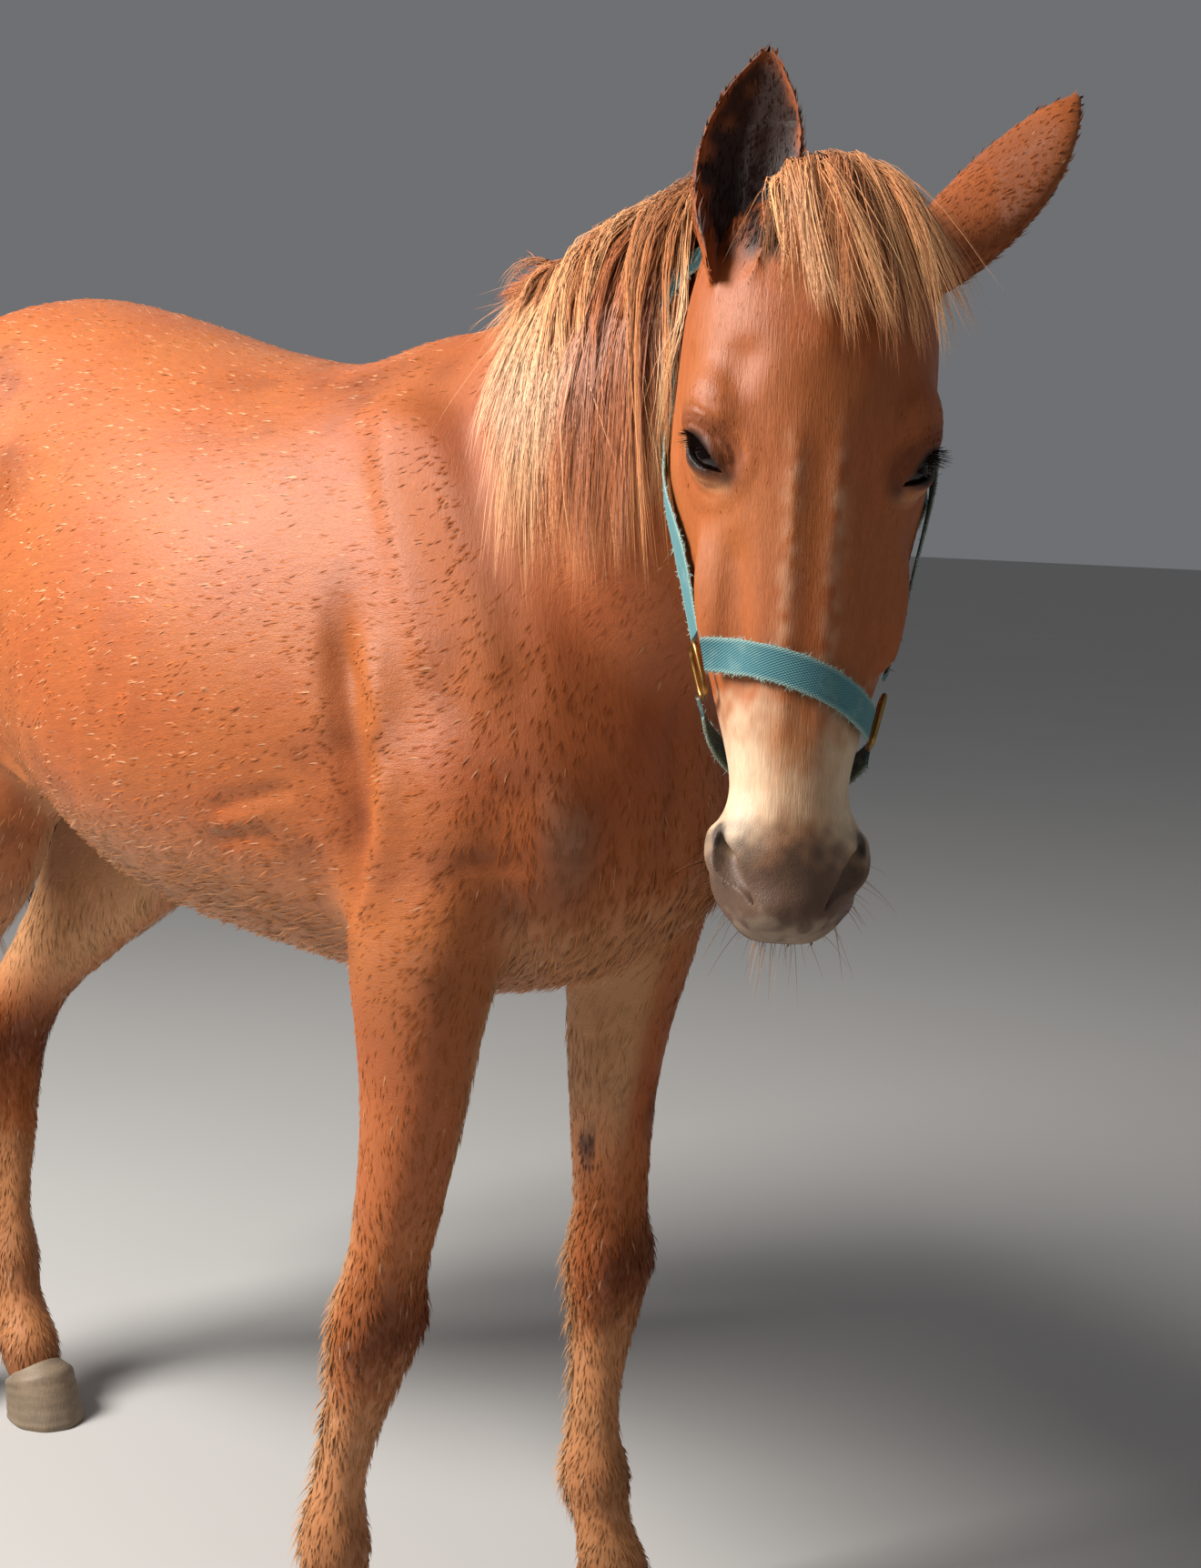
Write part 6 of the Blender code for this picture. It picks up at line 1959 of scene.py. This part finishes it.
def eye_ball(side):
    """An eyeball: a sphere with a cosine bulge for the cornea, and a pupil wider than it is high.

    Each point is coloured by how far it turns from the way the eye looks.
    """
    levels, around = EYE_GRID
    turn = np.linspace(0, 2 * math.pi, around, endpoint=False)
    lean = np.linspace(0, math.pi, levels + 2)[1:-1]
    axes, centre = np.array(eye_axes(side)), np.array(eye_centre(side))
    cornea = CORNEA_BULGE * np.clip(np.cos(lean * 1.5), 0, 1) ** 2 * (lean < math.pi / 2)
    radius = EYE_RADIUS - GAP + cornea - 0.0006
    tilt = lean[:, None]
    ring = np.stack([np.sin(tilt) * np.cos(turn), np.sin(tilt) * np.sin(turn), np.cos(tilt) + 0 * turn], -1)
    stack = (ring * radius[:, None, None]) @ axes.T + centre
    points, faces = lofted(stack)
    points[-2] = centre + axes[:, 2] * radius[0]
    points[-1] = centre - axes[:, 2] * radius[-1]
    local = (points - centre) @ axes
    along, across, look = (local / np.linalg.norm(local, axis=1, keepdims=True)).T
    away = np.arccos(np.clip(look, -1, 1))
    iris = smooth(0.72, 0.66, away)
    pupil = smooth(0.32, 0.24, np.sqrt((along / 1.25) ** 2 + across**2))
    ring_dark = 0.6 * np.exp(-(((away - 0.69) / 0.05) ** 2))
    colour = np.tile(linear(EYE_EDGE), (len(points), 1))
    colour = blended(colour, linear(IRIS_BROWN), iris)
    colour = blended(colour, linear(PUPIL_BLACK), np.maximum(pupil * 0.95, ring_dark))
    made = mesh_object("eyeball_" + ("right" if side < 0 else "left"), points, faces)
    paint(made.data, colour)
    made.data.shade_smooth()
    return made


def fine_hoof(name):
    """A hoof: ellipses that narrow to a raised band at the coronet, with growth rings and a round edge."""
    x, y = leg_axis(name, np.array([0.04]))[0, :2]
    levels, around = HOOF_GRID
    shares = np.linspace(0, 1, levels)[:, None]
    angles = np.linspace(0, 2 * math.pi, around, endpoint=False)[None]
    length = HOOF_GROUND[0] + shares * (HOOF_CORONET[0] - HOOF_GROUND[0])
    width = HOOF_GROUND[1] + shares * (HOOF_CORONET[1] - HOOF_GROUND[1])
    height = (HOOF_TOE_HEIGHT + HOOF_HEEL_HEIGHT) / 2
    height = height + np.cos(angles) * (HOOF_TOE_HEIGHT - HOOF_HEEL_HEIGHT) / 2
    ring = -0.0011 + 0.0003 * np.sin(shares * 34 + 0.8 * np.sin(angles)) * smooth(0.0, 0.2, shares)
    ring -= 0.0030 * smooth(0.07, 0.0, shares)
    band = 0.0012 * np.exp(-(((shares - 0.97) / 0.04) ** 2))
    worn = 0.0006 * np.sin(angles * 9 + 1.0) * smooth(0.3, 0.0, shares)
    turned_in = smooth(0.84, 1.0, shares) * (0.012 + 0.008 * np.maximum(0, np.cos(angles)))
    length = length + ring + band + worn - turned_in
    width = width + ring + band + worn - 0.8 * turned_in
    stack = np.stack([
        x + HOOF_SLOPE * (1 - shares) + length * np.cos(angles),
        y + width * np.sin(angles),
        shares * (height - 0.0006),
    ], -1)
    made = mesh_object(name.replace("leg", "hoof") + "_horn", *lofted(stack))
    made.data.shade_smooth()
    made.data.set_sharp_from_angle(angle=SHARP_ANGLE)
    return made


def strap_shape(name, places, lift, surface, width):
    """A strap as in the solids, finer: a flat loop with round edges along a path that lies on the head.

    Its width waves by a fraction of a millimetre. Returns the mesh and its edges for the frayed yarns.
    """
    places = np.array(places)
    knots = np.concatenate([[0], np.cumsum(np.linalg.norm(np.diff(places, axis=0), axis=1))])
    count = int(knots[-1] / SOLID_STRAP_STEP)
    line = spline(knots, places, np.linspace(0, knots[-1], count))
    hits = [surface.find_nearest(head_place(*p)) for p in line]
    normals = np.array([hit[1] for hit in hits])
    for _ in range(3):
        normals[1:-1] = unit(normals[:-2] + 2 * normals[1:-1] + normals[2:])
    path = np.array([hit[0] for hit in hits]) + normals * (lift + WEB_THICKNESS / 2)
    path[1:-1] = (path[:-2] + 2 * path[1:-1] + path[2:]) / 4
    stack = ribbon(path, normals, WEB_WIDTH, WEB_THICKNESS)
    short = np.array([max(clear_by(surface, corner) for corner in ring[[0, 3]]) for ring in stack])
    short = np.maximum(short, np.maximum(np.roll(short, 1), np.roll(short, -1)))
    short[1:-1] = np.maximum(short[1:-1], (short[:-2] + short[2:]) / 2)
    path = path + short[:, None] * normals
    length = np.linalg.norm(np.diff(path, axis=0), axis=1).sum()
    fine = int(length / FINE_STRAP_STEP)
    spots = np.linspace(0, 1, count)
    shares = np.linspace(0, 1, fine)
    path, normals = spline(spots, path, shares), unit(spline(spots, normals, shares))
    ahead = unit(np.gradient(path, axis=0))
    side = unit(np.cross(normals, ahead))
    up = np.cross(ahead, side)
    turn = np.linspace(0, 2 * math.pi, 20, endpoint=False)
    c, s = np.cos(turn), np.sin(turn)
    flat = np.sign(c) * np.abs(c) ** 0.35
    thick = np.sign(s) * np.abs(s) ** 0.75
    wobble = 1 + 0.012 * np.sin(shares * length * 95)[:, None]
    wobble = wobble + 0.010 * np.sin(shares * length * 230 + 1.0)[:, None]
    half = width / 2 * wobble
    cup = -0.0007 * (1 - flat[None] ** 2) * np.ones_like(half)
    x = half * flat[None]
    z = WEB_THICKNESS / 2 * 0.92 * thick[None] + cup + 0.0004
    stack = path[:, None] + x[..., None] * side[:, None] + z[..., None] * up[:, None]
    points, faces = lofted(stack)
    weave = np.zeros((len(points), 3))
    weave[:-2, 0] = x.ravel()
    weave[:-2, 1] = np.repeat(shares * length, 20)
    weave[-1, 1] = length
    made = mesh_object(name, points, faces)
    put_values(made.data, "Weave", weave)
    made.data.shade_smooth()
    made.data.set_sharp_from_angle(angle=SHARP_ANGLE)
    return made, (path, side, up, half[:, 0])


def frays(name, edges, per_metre, rng):
    """Loose yarn ends along both edges of the straps: short tapered threads that lean out at random."""
    roots, ways, ups = [], [], []
    for path, side, up, half in edges:
        length = np.linalg.norm(np.diff(path, axis=0), axis=1).sum()
        count = int(length * per_metre)
        spot = rng.uniform(0, len(path) - 1.001, count)
        low = spot.astype(int)
        part = (spot - low)[:, None]
        sign = rng.choice([-1.0, 1.0], (count, 1))
        mid = path[low] * (1 - part) + path[low + 1] * part
        out = (side[low] * (1 - part) + side[low + 1] * part) * sign
        ahead = unit(path[low + 1] - path[low])
        deep = rng.uniform(-0.0006, 0.0010, (count, 1))
        roots.append(mid + out * (half[low] - 0.0012)[:, None] + up[low] * deep)
        lean, rise = rng.normal(0, 0.8, (count, 1)), rng.normal(0.15, 0.35, (count, 1))
        ways.append(unit(out + ahead * lean + up[low] * rise))
        ups.append(up[low])
    roots, ways, ups = np.concatenate(roots), np.concatenate(ways), np.concatenate(ups)
    count = len(roots)
    length = rng.gamma(2.5, 0.0010, count) + 0.0008
    shares = np.array([0.0, 0.55, 1.0])[None, :, None]
    bend = np.cross(ways, ups) * rng.normal(0, 0.35, (count, 1))
    paths = roots[:, None] + (ways[:, None] * shares + bend[:, None] * shares**2) * length[:, None, None]
    widths = np.full((count, 1), 0.00055) * np.array([1.0, 0.8, 0.0])[None]
    tone = rng.uniform(0.6, 1.15, (count, 1, 1))
    shades = np.broadcast_to(linear(FRAY)[None, None] * tone, (count, 3, 3))
    facing = np.broadcast_to(ups[:, None], paths.shape)
    uv = np.stack([rng.random(count), rng.random(count)], -1) * 0.99
    return strands(name, paths, facing, widths, shades, uv, 1.0)


def ring_piece(name, place, surface, up_to):
    """A rectangular wire loop on the cheek: a superellipse path, a round wire 18 sides fine."""
    spot, normal = surface.find_nearest(head_place(*place))[:2]
    up = head_place(*up_to) - spot
    up = (up - normal * up.dot(normal)).normalized()
    side = up.cross(normal)
    centre = spot + normal * (RING_WIRE + RING_CLEAR)
    angles = np.linspace(0, 2 * math.pi, 96, endpoint=False)
    c, s = np.cos(angles), np.sin(angles)
    across = np.sign(c) * np.abs(c) ** 0.5 * RING_HALF_WIDTH
    along = np.sign(s) * np.abs(s) ** 0.5 * RING_HALF_LENGTH
    points = np.array(centre) + across[:, None] * np.array(side) + along[:, None] * np.array(up)
    made = mesh_object(name, *tube(points, RING_WIRE, 18, closed=True))
    made.data.shade_smooth()
    return made


def drape_surface():
    """The head and neck without hair or folds, for the straps to lie on."""
    drape = fused("drape", [lofted(head_rings()), lofted(neck_rings())] + head_balls(), SOLID_VOXELS[1])
    tree = surface_of(drape)
    bpy.data.objects.remove(drape)
    return tree


def lash_paths(side, rng):
    """Upper lashes: thick hairs along the upper rim of the slit that stand out, dip and turn up."""
    centre, axes = np.array(eye_centre(side)), np.array(eye_axes(side))
    lift = -side * axes[:, 1]
    share = rng.uniform(-0.85, 0.62, LASHES)
    along = share * SLIT_HALF_LENGTH
    high = SLIT_UPPER * (1 - share**2) ** 0.7
    reach = EYE_RADIUS + LID_THICKNESS * 0.85
    depth = np.sqrt(np.maximum(reach**2 - along**2 - high**2, 1e-6))
    roots = centre + axes[:, 0] * along[:, None] + lift * (high + 0.0008)[:, None]
    roots = roots + axes[:, 2] * depth[:, None]
    out = axes[:, 2] * 0.85 + lift * 0.05 - axes[:, 0] * 0.35 + np.array((0, 0, -0.35))
    way = unit(out + axes[:, 0] * share[:, None] * 0.5 + rng.normal(0, 0.10, (LASHES, 3)))
    length = (0.020 * (1 - 0.5 * np.abs(share + 0.1)) * rng.uniform(0.7, 1.1, LASHES))[:, None, None]
    steps = np.linspace(0, 1, LASH_STEPS)[None, :, None]
    curl = np.array((0, 0, -1.0)) * 0.30 * steps**2 + lift * 0.25 * steps**3
    paths = roots[:, None] + way[:, None] * steps * length + curl * length
    return paths, np.broadcast_to(lift, paths.shape)


def whisker_paths(hide, rng):
    """Whiskers: single stiff hairs, most on chin and lower lip, drooping at the tip."""

    def density(points, _):
        down, out, _ = head_coords(points).T
        chin = smooth(0.515, 0.56, down) * (0.08 + 1.5 * smooth(0.02, -0.03, out))
        return chin * head_share(points) + 1e-9

    points, normals = hide.scatter(WHISKERS, density, rng)
    fall = np.array((0, 0, -1.0))
    way = unit(normals + 0.25 * fall + rng.normal(0, 0.18, points.shape))
    length = rng.uniform(0.012, 0.042, len(points))[:, None, None]
    steps = np.linspace(0, 1, WHISKER_STEPS)[None, :, None]
    paths = (
        points[:, None] - normals[:, None] * 0.001 + (way[:, None] * steps + 0.35 * fall * steps**2) * length
    )
    side = unit(np.cross(way, (0.3, 0.2, 1.0)))
    return paths, np.broadcast_to(side[:, None], paths.shape)


class CoatSettings(bpy.types.PropertyGroup):
    """How dense the short coat is."""

    tufts: bpy.props.IntProperty(
        name="Tufts in a piece", description="Tufts in each of the coat's pieces", default=19000, min=100
    )
    pieces: bpy.props.IntProperty(
        name="Coat pieces", description="How many pieces share the coat", default=5, min=1
    )


class HairSettings(bpy.types.PropertyGroup):
    """Sizes and colours of mane, forelock and tail."""

    strand: bpy.props.FloatProperty(
        name="Strand width", description="Width of one strand of the mane", default=0.0012, unit="LENGTH"
    )
    mane_locks: bpy.props.IntProperty(
        name="Mane locks", description="Locks in each layer of the mane", default=140, min=2
    )
    forelock_locks: bpy.props.IntProperty(
        name="Forelock locks", description="Locks in the forelock", default=60, min=2
    )
    tail_locks: bpy.props.IntProperty(name="Tail locks", description="Locks in the tail", default=34, min=2)
    flaxen: bpy.props.FloatVectorProperty(
        name="Flaxen", description="Colour of the mane's tips", subtype="COLOR",
        default=tuple(linear(HAIR_FLAXEN)),
    )


class HalterSettings(bpy.types.PropertyGroup):
    """Webbing width and loose yarns of the halter."""

    width: bpy.props.FloatProperty(
        name="Webbing width", description="Width of the straps", default=WEB_WIDTH, unit="LENGTH"
    )
    frays: bpy.props.IntProperty(
        name="Loose yarns", description="Loose yarn ends for each metre of strap", default=2600, min=1
    )


class StageSettings(bpy.types.PropertyGroup):
    """Light and floor of the studio."""

    key: bpy.props.FloatProperty(
        name="Key light", description="Power of the large soft light", default=300.0, unit="POWER"
    )
    fill: bpy.props.FloatProperty(
        name="Fill light", description="Power of the light from the other side", default=4.0, unit="POWER"
    )
    sky: bpy.props.FloatProperty(name="Sky", description="Strength of the even light all round", default=0.17)
    floor: bpy.props.FloatVectorProperty(
        name="Floor", description="Colour of the floor", subtype="COLOR", default=(0.50, 0.49, 0.475)
    )


class MULE_OT_skin(bpy.types.Operator):
    """Builds the one skin of body, head and ears, with its folds, lids, nostrils and lips"""

    bl_idname = "mule.skin"
    bl_label = "Build the skin"

    def execute(self, context):
        made = joined_skin()
        made.name = made.data.name = "skin"
        mesh = made.data
        points = places_of(mesh) - COAT_DEPTH * normals_of(mesh) * inset_share(places_of(mesh))[:, None]
        normals = normals_of(mesh)
        colour, bare = markings(points, normals)
        set_places(mesh, points + OFFSET)
        paint(mesh, colour)
        put_values(mesh, "Bare", bare)
        put_values(mesh, "Lie", coat_streaks(points))
        mesh.shade_smooth()
        placed(made, short_coat(), "coat", "head", "neck", "torso", "ear_right", "ear_left", "foreleg_right",
               "foreleg_left", "hindleg_right", "hindleg_left")
        return {"FINISHED"}


class MULE_OT_coat(bpy.types.Operator):
    """Sets the short tufts of the coat over the skin"""

    bl_idname = "mule.coat"
    bl_label = "Set the coat"

    def execute(self, context):
        settings = context.scene.mule_coat
        hide, look = Hide(), hair_finish("short_hair", 0.50, 420.0, 0.0, 0.14)
        for i in range(settings.pieces):
            rng = np.random.default_rng(SEED + i)
            placed(coat_tufts(f"coat_{i + 1}", hide, settings.tufts, rng), look, "coat")
        return {"FINISHED"}


class MULE_OT_hair(bpy.types.Operator):
    """Grows the mane, the forelock and the tail as strands in locks"""

    bl_idname = "mule.hair"
    bl_label = "Grow mane, forelock and tail"

    def execute(self, context):
        settings = context.scene.mule_hair
        rng = np.random.default_rng(SEED)
        tree, look = Hide().tree, hair_finish("long_hair", 0.42)
        under = (linear(MANE_UNDER_ROOT), linear(MANE_UNDER_TIP))
        over = (linear(HAIR_RED), settings.flaxen)
        for layer, (name, colours) in enumerate((("mane_under", under), ("mane_over", over))):
            locks, sizes = mane_guides(tree, rng, settings.mane_locks, layer)
            per = MANE_STRANDS // len(locks)
            made = grown(name, locks, sizes, per, settings.strand, colours, rng, clump=0.36, wave=0.005)
            placed(made, look, "hair")
        colours = (linear(FORELOCK_ROOT), linear(FORELOCK_TIP))
        locks, sizes = forelock_guides(tree, rng, settings.forelock_locks)
        per, width = FORELOCK_STRANDS // len(locks), settings.strand * 0.85
        made = grown("forelock", locks, sizes, per, width, colours, rng, clump=0.6, wave=0.006)
        placed(made, look, "hair")
        colours = (linear(TAIL_RED), linear(TAIL_TIP))
        locks, sizes = tail_guides(tree, rng, settings.tail_locks)
        per, width = TAIL_STRANDS // len(locks), settings.strand * 1.1
        made = grown("tail_hair", locks, sizes, per, width, colours, rng, clump=0.7, wave=0.006)
        placed(made, look, "hair", "tail")
        return {"FINISHED"}


class MULE_OT_eyes(bpy.types.Operator):
    """Makes the eyeballs, the lashes and the whiskers"""

    bl_idname = "mule.eyes"
    bl_label = "Make eyes, lashes and whiskers"

    def execute(self, context):
        rng = np.random.default_rng(SEED + 50)
        wet, dark = eye_finish(), hair_finish("lash_hair", 0.35, 420.0, 0.0)
        for side, name in ((-1, "right"), (1, "left")):
            placed(moved(eye_ball(side)), wet, "eye", "eye_" + name)
            paths, facing = lash_paths(side, rng)
            widths = np.full((len(paths), 1), 0.0008) * (1 - 0.8 * np.linspace(0, 1, LASH_STEPS)[None])
            shades = np.broadcast_to(linear(LASH_DARK), (*paths.shape[:2], 3))
            roots = unwrapped(paths[:, 0])
            placed(strands("lashes_" + name, paths, facing, widths, shades, roots, 1.2), dark, "hair")
        paths, facing = whisker_paths(Hide(), rng)
        widths = np.full((len(paths), 1), 0.0005) * (1 - 0.75 * np.linspace(0, 1, WHISKER_STEPS)[None])
        shades = np.broadcast_to(linear(WHISKER_GOLD), (*paths.shape[:2], 3))
        shades = shades * rng.uniform(0.35, 1.1, (len(paths), 1, 1))
        placed(strands("whiskers", paths, facing, widths, shades, unwrapped(paths[:, 0]), 1.2), dark, "hair")
        return {"FINISHED"}


class MULE_OT_hooves(bpy.types.Operator):
    """Makes the four hooves with their growth rings"""

    bl_idname = "mule.hooves"
    bl_label = "Make the hooves"

    def execute(self, context):
        look = horn_finish()
        for name in LEGS:
            placed(moved(fine_hoof(name)), look, "hoof", name.replace("leg", "hoof"))
        return {"FINISHED"}


class MULE_OT_halter(bpy.types.Operator):
    """Makes the straps with their weave and frayed edges, and the brass loops"""

    bl_idname = "mule.halter"
    bl_label = "Make the halter"

    def execute(self, context):
        settings = context.scene.mule_halter
        rng = np.random.default_rng(SEED + 80)
        surface = drape_surface()
        teal = webbing_finish("teal_webbing", WEB_TEAL, 0.30)
        dark = webbing_finish("dark_webbing", WEB_DARK, 0.25)
        edges = []
        for name, (places, lift) in STRAPS.items():
            made, edge = strap_shape(name + "_web", places, lift, surface, settings.width)
            placed(moved(made), dark if name == "chin_strap" else teal, "webbing", name)
            edges.append(edge)
        loose = hair_finish("loose_yarn", 0.8, 420.0, 0.2)
        placed(frays("frayed_yarns", edges, settings.frays, rng), loose, "webbing")
        brass = brass_finish()
        for side, (place, up_to) in RINGS.items():
            made = ring_piece("loop_" + side, place, surface, up_to)
            placed(moved(made), brass, "brass", "ring_" + side)
        return {"FINISHED"}


class MULE_OT_stage(bpy.types.Operator):
    """Sets the pale floor, the soft lights and the camera of the photograph's view"""

    bl_idname = "mule.stage"
    bl_label = "Set floor, light and camera"

    def execute(self, context):
        settings = context.scene.mule_stage
        scene = context.scene
        corners = FLOOR_HALF * np.array([(-1, -1, 0), (1, -1, 0), (1, 1, 0), (-1, 1, 0)], float)
        floor = mesh_object("floor", corners, [[0, 1, 2, 3]])
        set_places(floor.data, places_of(floor.data) + (0, 0, CAD_BOX[0][2] - 0.0002))
        floor.data.materials.append(floor_finish(tuple(settings.floor)))
        world = bpy.data.worlds.new("studio")
        scene.world = world
        world.use_nodes = True
        background = world.node_tree.nodes["Background"]
        background.inputs["Color"].default_value = SKY_COLOUR
        background.inputs["Strength"].default_value = settings.sky
        for name, power, (place, size) in (
            ("key", settings.key, KEY_LIGHT),
            ("fill", settings.fill, FILL_LIGHT),
            ("rim", settings.fill * RIM_POWER, RIM_LIGHT),
        ):
            light = bpy.data.lights.new(name, "AREA")
            light.energy, light.size, light.color = power, size, LIGHT_COLOUR
            lamp = bpy.data.objects.new(name, light)
            scene.collection.objects.link(lamp)
            lamp.location = place
            toward = Vector(LIGHTS_LOOK_AT) - Vector(place)
            lamp.rotation_euler = toward.to_track_quat("-Z", "Y").to_euler()
        camera = bpy.data.cameras.new("camera")
        camera.sensor_width = SENSOR_HEIGHT
        camera.lens = CAMERA_FOCAL / PHOTO_HEIGHT * SENSOR_HEIGHT
        camera.clip_start = 0.05
        view = bpy.data.objects.new("camera", camera)
        scene.collection.objects.link(view)
        yaw, pitch, roll = (math.radians(angle) for angle in CAMERA_TURNS)
        ahead = Vector((math.cos(yaw) * math.cos(pitch), math.sin(yaw) * math.cos(pitch), -math.sin(pitch)))
        right = Vector((math.sin(yaw), -math.cos(yaw), 0))
        up = right.cross(ahead)
        across = math.cos(roll) * right + math.sin(roll) * up
        above = -math.sin(roll) * right + math.cos(roll) * up
        matrix = Matrix((across, above, -ahead)).transposed().to_4x4()
        matrix.translation = Vector(CAMERA_AT) + Vector(OFFSET)
        view.matrix_world = matrix
        scene.camera = view
        scene.view_settings.view_transform = "Standard"
        return {"FINISHED"}


class MULE_PT_panel(bpy.types.Panel):
    """The mule's steps and settings in the sidebar"""

    bl_label = "Mule"
    bl_idname = "MULE_PT_panel"
    bl_space_type = "VIEW_3D"
    bl_region_type = "UI"
    bl_category = "Mule"

    def draw(self, context):
        for step in STEPS:
            self.layout.operator(step.bl_idname)
        for group, names in SETTINGS:
            for name in names:
                self.layout.prop(getattr(context.scene, group), name)


STEPS = (
    MULE_OT_skin, MULE_OT_coat, MULE_OT_hair, MULE_OT_eyes, MULE_OT_hooves, MULE_OT_halter, MULE_OT_stage
)
GROUPS = (
    ("mule_coat", CoatSettings),
    ("mule_hair", HairSettings),
    ("mule_halter", HalterSettings),
    ("mule_stage", StageSettings),
)
SETTINGS = tuple((group, tuple(kind.__annotations__)) for group, kind in GROUPS)


def register():
    for kind in (*(kind for _, kind in GROUPS), *STEPS, MULE_PT_panel):
        bpy.utils.register_class(kind)
    for name, kind in GROUPS:
        setattr(bpy.types.Scene, name, bpy.props.PointerProperty(type=kind))


def unregister():
    for name, _ in GROUPS:
        delattr(bpy.types.Scene, name)
    for kind in (MULE_PT_panel, *reversed(STEPS), *(kind for _, kind in GROUPS)):
        bpy.utils.unregister_class(kind)


def main():
    register()
    bpy.ops.mule.skin()
    bpy.ops.mule.coat()
    bpy.ops.mule.hair()
    bpy.ops.mule.eyes()
    bpy.ops.mule.hooves()
    bpy.ops.mule.halter()
    bpy.ops.mule.stage()


if __name__ == "__main__":
    main()
